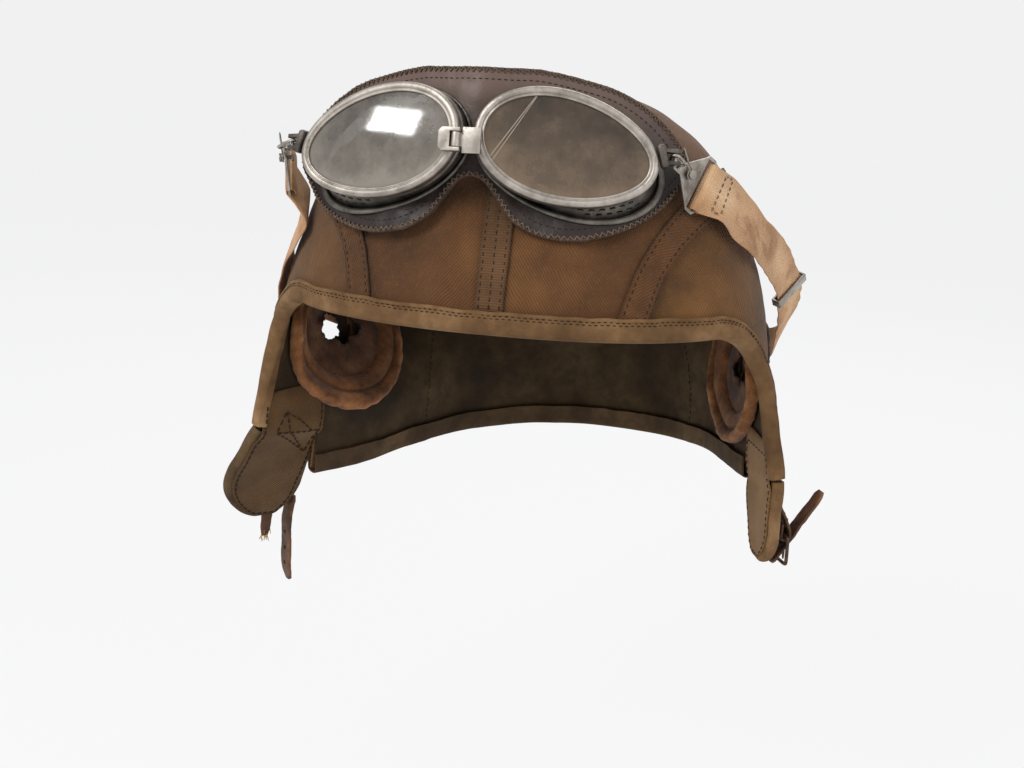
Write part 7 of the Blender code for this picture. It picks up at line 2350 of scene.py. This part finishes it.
@dataclass
class Mask:
    """Leather mask behind both cups, whipped round its edge over a cloth edging."""

    goggles: Goggles
    thread: Thread

    def outline(self, side: Side, count: int) -> np.ndarray:
        """Half outline of the mask in the goggles' frame, from the top of the nose round to the notch."""
        goggles = self.goggles
        half = (curve(np.array(goggles.mask_outline), steps(0.0, 1.0, count))
                * (goggles.mask_length, goggles.mask_height))
        for _ in range(int(90 * (count / 240.0) ** 2)):
            whole = np.vstack([half[1] * (-1.0, 1.0), half, half[-2] * (-1.0, 1.0)])
            near = np.exp(-(half[:, :1] / 0.012) ** 2)
            half = half * (1.0 - 0.5 * near) + (whole[:-2] + whole[2:]) * 0.25 * near
        half[0, 0] = half[-1, 0] = 0.0
        return half * (side.value, 1.0)

    def reach(self, centre: np.ndarray, places: np.ndarray, outline: np.ndarray) -> np.ndarray:
        """Where lines from a centre through places leave the half outline closed by the middle line."""
        way = places - centre
        ends = np.vstack([outline[1:], outline[:1]])
        run = ends - outline
        scale = way[:, 0:1] * run[None, :, 1] - way[:, 1:2] * run[None, :, 0]
        from_centre = outline - centre
        far = (from_centre[:, 0] * run[:, 1] - from_centre[:, 1] * run[:, 0])[None, :] / scale
        part = (from_centre[None, :, 0] * way[:, 1:2] - from_centre[None, :, 1] * way[:, 0:1]) / scale
        far = np.where((far > 0.0) & (part >= -1e-6) & (part <= 1.0 + 1e-6), far, 0.0)
        return centre + way * far.max(1)[:, None]

    def sheet(self) -> list[np.ndarray]:
        """Front face of the leather on each side, in rows from the cup to the edge, in the goggles' frame."""
        goggles, blocks = self.goggles, []
        turn = steps(0.0, 2.0 * np.pi, 180)
        for side in Side:
            frame = goggles.in_goggles(side)
            inner = move(frame, goggles.base(side, turn, GAP, 0.0))
            outer = self.reach(frame[[0, 2], 3], inner[:, [0, 2]], self.outline(side, 240))
            shares = np.concatenate([steps(0.0, 0.9, 15), [0.94, 0.97, 0.99, 1.0]])[:, None, None]
            flat = inner[:, [0, 2]] + (outer - inner[:, [0, 2]]) * shares
            blocks.append(self.lift(flat))
        return blocks

    def lift(self, flat: np.ndarray) -> np.ndarray:
        """Places of the leather's front face in the goggles' frame, with its ripples."""
        goggles = self.goggles
        y = goggles.depth(flat[..., 0], flat[..., 1])
        places = np.stack([flat[..., 0], y, flat[..., 1]], -1)
        ripple = (0.00035 * soft(places.reshape(-1, 3), 0.016, 121)
                  + 0.00016 * soft(places.reshape(-1, 3), 0.006, 122))
        low = np.clip((-flat[..., 1] / goggles.mask_height - 0.35) / 0.5, 0.0, 1.0)
        places[..., 1] -= (ripple.reshape(y.shape)
                           + 0.0009 * low * (0.5 + 0.5 * np.sin(flat[..., 0] / 0.0065)))
        return places

    def edge_line(self, inset: float, count: int, rise: float) -> tuple[np.ndarray, np.ndarray]:
        """Line round the whole mask near its edge, with its normals, in the scene."""
        right = self.outline(Side.RIGHT, count)
        left = self.outline(Side.LEFT, count)[::-1]
        loop = np.vstack([right, left[1:-1]])
        ahead, behind = np.roll(loop, -1, 0), np.roll(loop, 1, 0)
        along = unit(ahead - behind)
        inward = np.stack([along[:, 1], -along[:, 0]], 1)
        ring = loop + inward * inset
        for _ in range(4):
            ring = ring * 0.5 + (np.roll(ring, 1, 0) + np.roll(ring, -1, 0)) * 0.25
        ring = np.vstack([ring, ring[:1]])
        places = self.lift(ring)
        ahead_x, ahead_z = self.lift(ring + (STEP, 0.0)), self.lift(ring + (0.0, STEP))
        normals = -unit(np.cross(ahead_z - places, ahead_x - places))
        normals = normals * np.where(normals[:, 1:2] > 0.0, -1.0, 1.0)
        world = self.goggles.to_world(places + normals * rise)
        return world, normals @ self.goggles.matrix[:3, :3].T

    def cross(self, piece: bpy.types.Object) -> None:
        """Bake the transform of a piece on the mask into its mesh."""
        ends = self.goggles.to_world(np.array(((0.003, 0.0, 0.0), (-0.014, 0.0, 0.0))))
        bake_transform(piece)

    def build(self) -> None:
        """Leather, edging and whipping."""
        core = tuple(self.goggles.to_world(np.array((0.0, self.goggles.mask_length, 0.0))))
        pieces = [grid(f"block_{i}", self.goggles.to_world(block)) for i, block in enumerate(self.sheet())]
        for block in pieces:
            face_away(block, core)
        piece = join(pieces, "mask_leather")
        modify(piece, "WELD", merge_threshold=0.00035)
        face_away(piece, core)
        modify(piece, "SOLIDIFY", thickness=self.goggles.mask, offset=-1.0)
        modify(piece, "BEVEL", width=0.0005, segments=3, limit_method="ANGLE",
               angle_limit=math.radians(60.0))
        places = move(np.linalg.inv(self.goggles.matrix), coordinates(piece))
        # Height on the mask, for the leather's painted sheen towards the top.
        mark(piece, "high", places[:, 2] / self.goggles.mask_height)
        shade(piece, 50.0)
        finish(piece, MASK_LEATHER, None, "mask")
        self.cross(piece)
        self.build_roll()
        self.build_whipping()

    def build_roll(self) -> None:
        """Thin rolled edging that the whipping holds."""
        line, out = self.edge_line(0.0004, 200, -self.goggles.mask * 0.5)
        along = unit(np.roll(line[:-1], -1, 0) - np.roll(line[:-1], 1, 0))
        along = np.vstack([along, along[:1]])
        across = unit(np.cross(along, out))
        turn = steps(0.0, 2.0 * np.pi, 12)[None, :, None]
        lump = 1.0 + 0.10 * soft(line, 0.004, 131)[:, None, None]
        points = line[:, None] + (out[:, None] * np.cos(turn) * 0.00135
                                  + across[:, None] * np.sin(turn) * 0.0008) * lump
        piece = grid("mask_edging", points)
        weld(piece)
        shade(piece, 70.0)
        finish(piece, EDGE_CLOTH, None)
        self.cross(piece)

    def build_whipping(self) -> None:
        """Slanted stitches over the edging, in pairs that make a zigzag, and a row inside it."""
        line, out = self.edge_line(0.0009, 220, 0.00035)
        frames = WHIPPING.frames(line, out, WHIPPING.pitch)
        both = []
        for slant in (0.95, -0.75):
            some = frames.copy()
            along = frames[:, 1] * math.cos(slant) + frames[:, 2] * math.sin(slant)
            some[:, 1], some[:, 2] = along, np.cross(frames[:, 3], along)
            if slant < 0.0:
                some[:, 0] += frames[:, 1] * WHIPPING.pitch * 0.5
            both.append(some)
        piece = WHIPPING.repeat(WHIPPING.stitch(), "mask_whipping", np.concatenate(both))
        finish(piece, WHIP_THREAD, None)
        self.cross(piece)
        piece = MASK_SEAM.stitched("mask_stitches", [self.edge_line(0.0046, 220, 0.0001)])
        finish(piece, DARK_THREAD, None)
        self.cross(piece)


@dataclass
class Strap:
    """Elastic strap: an end folded through each slide, and the long part round the back of the head."""

    goggles: Goggles
    thread: Thread
    width: float = 0.0215
    thickness: float = 0.0012
    lift: float = 0.0030
    fold: float = 0.0050
    hook_length: float = 0.0196
    hook_plate: float = 0.0010
    slide_bar: float = 0.0015
    hook_out: float = 0.0821
    hook_left_out: float = 0.0050

    upper = ((0.890, -0.522, -0.312), (0.960, -0.435, -0.403), (1.031, -0.348, -0.501),
             (1.108, -0.200, -0.607), (1.177, -0.026, -0.765), (1.202, 0.104, -0.880),
             (1.176, 0.261, -1.010), (1.087, 0.435, -1.150))
    lower = ((0.858, -0.713, -0.464), (0.918, -0.648, -0.548), (0.988, -0.557, -0.625),
             (1.038, -0.396, -0.715), (1.096, -0.174, -0.860), (1.106, -0.026, -0.990),
             (1.106, 0.157, -1.160), (1.038, 0.365, -1.330))
    left = ((0.36, 0.80), (0.42, 0.92), (0.48, 1.04), (0.54, 1.14), (0.60, 1.24), (0.67, 1.36))
    back = ((0.74, 1.46), (0.82, 1.46), (0.91, 1.46), (1.0, 1.46))
    split = 4
    fine = 10

    def hook_frame(self, side: Side) -> np.ndarray:
        """Frame of one hook plate in the scene."""
        right = side is Side.RIGHT
        hole = shift_by(self.hook_out if right else -self.hook_out - self.hook_left_out, 0.0290, -0.0019)
        mirror = np.diag((side.value, 1.0, 1.0, 1.0))
        turn = mirror @ turned("Z", 55.3 if right else 80.0) @ turned("Y", 22.7) @ turned("X", 8.1) @ mirror
        return self.goggles.matrix @ hole @ turn

    def edges(self, side: Side) -> tuple[np.ndarray, np.ndarray]:
        """Upper and lower edge points from a slide to the nape."""
        pattern = self.goggles.pattern
        size = np.array((pattern.dome_half_width, pattern.dome_front, pattern.dome_height))
        right = side is Side.RIGHT
        laid = np.array((() if right else self.left) + self.back)
        flat = polar(side.value * laid[:, 0], laid[:, 1])
        middles = pattern.smooth(flat) + pattern.normal(flat) * self.lift
        ahead = np.vstack([middles[1:], middles[-1:]])
        behind = np.vstack([middles[:1], middles[:-1]])
        across = (unit(np.cross(unit(ahead - behind), pattern.normal(flat)))
                  * (-side.value * self.width / 2.0))
        upper, lower = middles + across, middles - across
        if right:
            upper, lower = (np.vstack([np.array(table) * size, rest]) for table, rest in
                            ((self.upper, upper), (self.lower, lower)))
        return upper, lower

    def pushed(self, places: np.ndarray) -> np.ndarray:
        """Places moved level out of the hood until they stand clear of the cloth."""
        short = self.lift - self.goggles.clearance(places)
        out = unit(np.stack([places[:, 0], places[:, 1] + self.goggles.pattern.widest_forward,
                             0.0 * places[:, 0]], 1))
        return places + out * np.where((short > 0.0) & (short < self.width), short, 0.0)[:, None]

    def runs(self, side: Side) -> tuple[np.ndarray, np.ndarray, int]:
        """Upper and lower edges from the folded end to the nape, and where the fold ends."""
        frame = self.hook_frame(side)
        bar = self.hook_length - self.slide_bar / 2.0
        loop = math.hypot(self.slide_bar, self.hook_plate) / 2.0 + GAP + self.thickness / 2.0
        turn = steps(0.0, np.pi, 16)
        x = np.concatenate([bar + self.fold * steps(1.0, 0.0, 4)[:-1], bar - loop * np.sin(turn),
                            [bar + loop]])
        y = np.concatenate([np.full(4, loop), loop * np.cos(turn), [-loop]])
        ends = [move(frame, np.stack([side.value * x, y, np.full(len(x), z)], 1))
                for z in (self.width / 2.0, -self.width / 2.0)]
        upper, lower = self.edges(side)
        share = steps(0.0, 1.0, len(upper) * self.fine)
        rows = [curve(np.vstack([end[-1:], line]), share) for end, line in zip(ends, (upper, lower))]
        rows = [self.pushed(row) for row in rows]
        return (np.vstack([ends[0], rows[0][1:]]), np.vstack([ends[1], rows[1][1:]]), len(x) - 1)

    def ribbon(self, name: str, upper: np.ndarray, lower: np.ndarray,
               start: float) -> tuple[bpy.types.Object, float]:
        """Closed strip of webbing between two edges.

        Args:
            name: name of the piece.
            upper: upper edge.
            lower: lower edge.
            start: length of strap before it, so the weave runs on.

        Returns:
            The strip and the length of strap after it.
        """
        middle = (upper + lower) / 2.0
        across = (upper - lower) / 2.0
        along = unit(np.gradient(middle, axis=0))
        normal = unit(np.cross(along, across))
        turn = steps(0.0, 2.0 * np.pi, 36)
        x = rounded(np.cos(turn), 0.42)
        y = rounded(np.sin(turn), 0.42)
        curl = (0.00045 * soft(middle, 0.028, 141)[:, None] * x[None]
                + 0.00030 * soft(middle, 0.010, 142)[:, None])
        points = (middle[:, None] + across[:, None] * x[None, :, None]
                  + normal[:, None] * (y[None] * self.thickness / 2.0 + curl)[..., None])
        length = lengths_along(middle) + start
        uv = np.stack([length[:, None] + 0.0 * x[None], x[None] * self.width / 2.0 + 0.0 * length[:, None]],
                      -1)
        piece = grid(name, points, uv)
        mark(piece, "edge", (np.abs(x)[None] + 0.0 * length[:, None]).reshape(-1))
        mark(piece, "low", (0.5 - 0.5 * x[None] + 0.0 * length[:, None]).reshape(-1))
        weld(piece, True)
        shade(piece, 60.0)
        return piece, float(length[-1])

    def lines(self, upper: np.ndarray, lower: np.ndarray,
              first: int) -> list[tuple[np.ndarray, np.ndarray]]:
        """Box of stitches that closes the fold at a slide."""
        middle, across = (upper + lower) / 2.0, (upper - lower) / 2.0
        along = unit(np.gradient(middle, axis=0))
        normal = unit(np.cross(along, across))
        out = normal * np.sign((normal * (middle - (0.0, 0.0, middle[:, 2].mean()))).sum(1).mean())
        lift = out * (self.thickness / 2.0 + 0.00035)
        found = []
        for at in (first, first + 4):
            found.append(((middle + lift)[at] + across[at] * steps(-0.82, 0.82, 12)[:, None],
                          out[at] * np.ones((13, 1))))
        for share in (-0.82, 0.82):
            part = slice(first, first + 5)
            found.append(((middle + lift + across * share)[part], out[part]))
        return found

    def build(self) -> None:
        """Three runs of webbing with their stitches, and the strap adjuster."""
        ends = {}
        for side in Side:
            upper, lower, fold = self.runs(side)
            cut_at = fold + self.split * self.fine
            hook = f"hook_{side.label}"
            if side is Side.RIGHT:
                piece, _ = self.ribbon("strap_webbing_right", upper[:cut_at + 1], lower[:cut_at + 1], 0.0)
                self.follow(piece, STRAP_WEBBING, hook, "goggles", upper, lower, fold + 2, fold + 16,
                            "strap_right")
                stitches = self.sewn("strap_stitches_right", upper, lower, fold + 4)
                self.follow(stitches, PALE_THREAD, hook, "goggles", upper, lower, fold + 2, fold + 16)
            else:
                short = fold + 12
                piece, length = self.ribbon("strap_loop_left", upper[:short + 1], lower[:short + 1], 0.0)
                self.follow(piece, STRAP_WEBBING, "left_cup", hook, upper, lower, short - 1, fold + 3,
                            "strap_left")
                stitches = self.sewn("strap_stitches_left", upper, lower, fold + 4)
                self.follow(stitches, PALE_THREAD, "left_cup", hook, upper, lower, short - 1, fold + 3)
                piece, _ = self.ribbon("strap_webbing_left", upper[short:cut_at + 1],
                                       lower[short:cut_at + 1], length)
                self.follow(piece, STRAP_WEBBING, "goggles", "left_cup", upper, lower, cut_at - 2,
                            short + 1)
            ends[side] = (upper[cut_at:], lower[cut_at:])
        upper = np.vstack([ends[Side.RIGHT][0], ends[Side.LEFT][0][::-1][1:]])
        lower = np.vstack([ends[Side.RIGHT][1], ends[Side.LEFT][1][::-1][1:]])
        piece, _ = self.ribbon("strap_webbing_back", upper, lower, 0.16)
        finish(piece, STRAP_WEBBING, None, "strap_back")
        self.cross_swing(piece)
        slider = refine("strap_adjuster", FITTING_METAL, None, 0.0002)
        self.cross_swing(slider)

    def sewn(self, name: str, upper: np.ndarray, lower: np.ndarray, first: int) -> bpy.types.Object:
        """Stitches of one box, not finished yet."""
        return self.thread.stitched(name, self.lines(upper, lower, first))

    def follow(self, piece: bpy.types.Object, look: Finish, before: str, after: str, upper: np.ndarray,
               lower: np.ndarray, start: int, end: int, *nodes: str) -> None:
        """Finish a piece of the strap and bake its transform."""
        finish(piece, look, None, *nodes)
        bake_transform(piece)

    def cross_swing(self, piece: bpy.types.Object) -> None:
        """Bake a piece's transform into its mesh."""
        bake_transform(piece)


def refine(node: str, look: Finish, body: str | None, width: float, smooth: int = 0) -> bpy.types.Object:
    """Copy of a CAD piece with softened edges.

    Args:
        node: CAD node that it stands for.
        look: surface finish.
        body: body that it rides on, or None for a piece on no body.
        width: width of its edge roundings; 0 leaves them.
        smooth: levels of subdivision, for bent wire.

    Returns:
        The copy.
    """
    source = bpy.data.objects[node]
    mesh = source.data.copy()
    piece = bpy.data.objects.new(f"{node}_metal", mesh)
    bpy.context.scene.collection.objects.link(piece)
    places = move(np.array(source.matrix_world), coordinates(source))
    lay(piece, places)
    make_active(piece)
    bpy.ops.object.mode_set(mode="EDIT")
    bpy.ops.mesh.select_all(action="SELECT")
    bpy.ops.mesh.remove_doubles(threshold=0.00002)
    bpy.ops.mesh.normals_make_consistent(inside=False)
    if not smooth:
        bpy.ops.mesh.dissolve_limited(angle_limit=math.radians(1.0))
    bpy.ops.object.mode_set(mode="OBJECT")
    if width:
        modify(piece, "BEVEL", width=width, segments=3, limit_method="ANGLE",
               angle_limit=math.radians(38.0),
               use_clamp_overlap=True)
    if smooth:
        modify(piece, "SUBSURF", levels=smooth, render_levels=smooth)
    shade(piece, 45.0)
    return finish(piece, look, body, node)


class Fittings:
    """Metal fittings of the goggles and the chin strap, from the CAD pieces with softened edges."""

    def build(self) -> None:
        """Refine every fitting."""
        for node, look, body, width, smooth in (
                ("bridge_plate", RIM_METAL, "goggles", 0.00035, 0),
                ("bridge_yoke", RIM_METAL, "left_cup", 0.0003, 0),
                ("bridge_pin", DARK_STEEL, "goggles", 0.0002, 0),
                ("buckle_frame", BUCKLE_STEEL, "buckle", 0.0, 1),
                ("buckle_prong", BUCKLE_STEEL, "prong", 0.0, 1)):
            refine(node, look, body, width, smooth)
        for side in Side:
            label = side.label
            carrier = "left_cup" if side is Side.LEFT else "goggles"
            refine(f"clamp_{label}", DARK_STEEL, carrier, 0.0008)
            refine(f"lug_pin_{label}", FITTING_METAL, carrier, 0.0002)
            refine(f"link_{label}", FITTING_METAL, f"hook_{label}", 0.0, 1)
            refine(f"hook_{label}", FITTING_METAL, f"hook_{label}", 0.0002)
            refine(f"rivet_{label}", FITTING_METAL, f"hook_{label}", 0.00025)
            refine(f"keeper_{label}", FITTING_METAL, f"keeper_{label}", 0.0, 1)


@dataclass
class Studio:
    """Pale floor, white backdrop, soft lights and the camera at the photograph's angle."""

    floor_depth: float = -0.375
    floor_white: float = 0.86
    lens: float = 54.1
    camera_at: tuple[float, float, float] = (0.1197, -0.7237, 0.0377)
    camera_right: tuple[float, float, float] = (0.9806, 0.1891, 0.0524)
    camera_up: tuple[float, float, float] = (-0.0956, 0.2275, 0.9691)

    def white_for_camera(self, tree: bpy.types.NodeTree, surface: bpy.types.NodeSocket,
                         output: bpy.types.NodeSocket,
                         sky: bool) -> None:
        """Show white to the camera, metal and glass without more light on the object."""
        path = add(tree, "ShaderNodeLightPath")
        seen = math_node(tree, "MAXIMUM", path.outputs["Is Camera Ray"],
                         path.outputs["Is Transmission Ray"])
        glossy = math_node(tree, "MULTIPLY", path.outputs["Is Glossy Ray"], 0.7)
        seen = math_node(tree, "MAXIMUM", seen, glossy)
        if not sky:
            seen = math_node(tree, "MULTIPLY", seen, self.floor_white)
        white = add(tree, "ShaderNodeBackground" if sky else "ShaderNodeEmission",
                    {"Color": linear("f1f1f2" if sky else "f8f8f9"), "Strength": 1.0})
        both = add(tree, "ShaderNodeMixShader", links={0: seen, 1: surface, 2: white.outputs[0]})
        tree.links.new(both.outputs[0], output)

    def build_world(self) -> None:
        """Even pale sky that is white to the camera, metal and glass."""
        world = bpy.data.worlds.new("Studio")
        bpy.context.scene.world = world
        world.use_nodes = True
        tree = world.node_tree
        tree.nodes.clear()
        sky = add(tree, "ShaderNodeBackground", {"Color": linear("f4f5f7"), "Strength": 0.55})
        output = add(tree, "ShaderNodeOutputWorld")
        self.white_for_camera(tree, sky.outputs[0], output.inputs["Surface"], True)

    def build_floor(self) -> None:
        """Wide pale floor that keeps the object's soft shadow."""
        deselect()
        bpy.ops.mesh.primitive_plane_add(size=8.0, location=(0.0, 0.0, self.floor_depth))
        floor = bpy.context.object
        floor.name = "floor"
        made = bpy.data.materials.new("Matte white paper")
        made.use_nodes = True
        shader = made.node_tree.nodes["Principled BSDF"]
        shader.inputs["Base Color"].default_value = linear("f7f7f7")
        shader.inputs["Roughness"].default_value = 0.9
        self.white_for_camera(made.node_tree, shader.outputs[0],
                              made.node_tree.nodes["Material Output"].inputs[0], False)
        floor.data.materials.append(made)

    def lamp(self, name: str, place: tuple[float, float, float], size: tuple[float, float],
             power: float) -> None:
        """Soft light aimed at the object; the small one stands where the left lens mirrors a window."""
        light = bpy.data.lights.new(name, "AREA")
        light.shape, light.energy = "RECTANGLE", power
        light.size, light.size_y = size
        lamp = bpy.data.objects.new(name, light)
        bpy.context.scene.collection.objects.link(lamp)
        lamp.location = place
        way = Vector((0.0, 0.0, -0.12)) - Vector(place)
        lamp.rotation_euler = way.to_track_quat("-Z", "Y").to_euler()

    def build_camera(self) -> None:
        """Camera at the photograph's place."""
        data = bpy.data.cameras.new("camera")
        data.lens, data.sensor_width, data.clip_start = self.lens, 36.0, 0.01
        camera = bpy.data.objects.new("camera", data)
        bpy.context.scene.collection.objects.link(camera)
        right, up = Vector(self.camera_right).normalized(), Vector(self.camera_up)
        up = (up - right * up.dot(right)).normalized()
        turned = Matrix((right, up, right.cross(up))).transposed().to_4x4()
        camera.matrix_world = Matrix.Translation(self.camera_at) @ turned
        bpy.context.scene.camera = camera

    def build(self) -> None:
        """Set the stage."""
        self.build_world()
        self.build_floor()
        self.lamp("key_light", (-0.55, -0.9, 0.75), (0.55, 0.55), 9.0)
        self.lamp("window_light", (-0.947, -0.815, 0.344), (0.085, 0.05), 0.6)
        self.lamp("fill_light", (0.9, -0.7, 0.35), (0.9, 0.9), 3.2)
        self.lamp("back_light", (0.1, 0.9, 0.8), (0.9, 0.9), 6.0)
        self.build_camera()
        bpy.context.scene.view_settings.view_transform = "Standard"


def main() -> None:
    """Build the helmet and the goggles in order."""
    logging.basicConfig(level=logging.INFO, format="%(message)s")
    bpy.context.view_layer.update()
    studio = Studio()
    studio.build()
    pattern = Pattern()
    thread = Thread()
    Hood(pattern, thread).build()
    Ears(pattern, thread).build()
    LeftFlap(pattern, thread, Side.LEFT, tilt=25.0, length=0.056,
             front_shares=(1.0, 1.22, 1.42, 1.56, 1.60, 1.50, 1.25, 0.95, 0.66, 0.38),
             back_shares=(1.0, 1.02, 1.03, 1.00, 0.95, 0.87, 0.73, 0.56, 0.42, 0.26)).build()
    RightFlap(pattern, thread, Side.RIGHT, tilt=1.0, length=0.040,
              front_shares=(1.0, 1.02, 1.02, 1.00, 0.96, 0.88, 0.75, 0.60, 0.46, 0.34),
              back_shares=(1.0, 1.0, 0.98, 0.95, 0.91, 0.84, 0.72, 0.57, 0.44, 0.32)).build()
    goggles = Goggles(pattern, thread)
    for side in Side:
        EyeCup(goggles, side).build()
    Mask(goggles, thread).build()
    Strap(goggles, thread).build()
    Fittings().build()


if __name__ == "__main__":
    main()
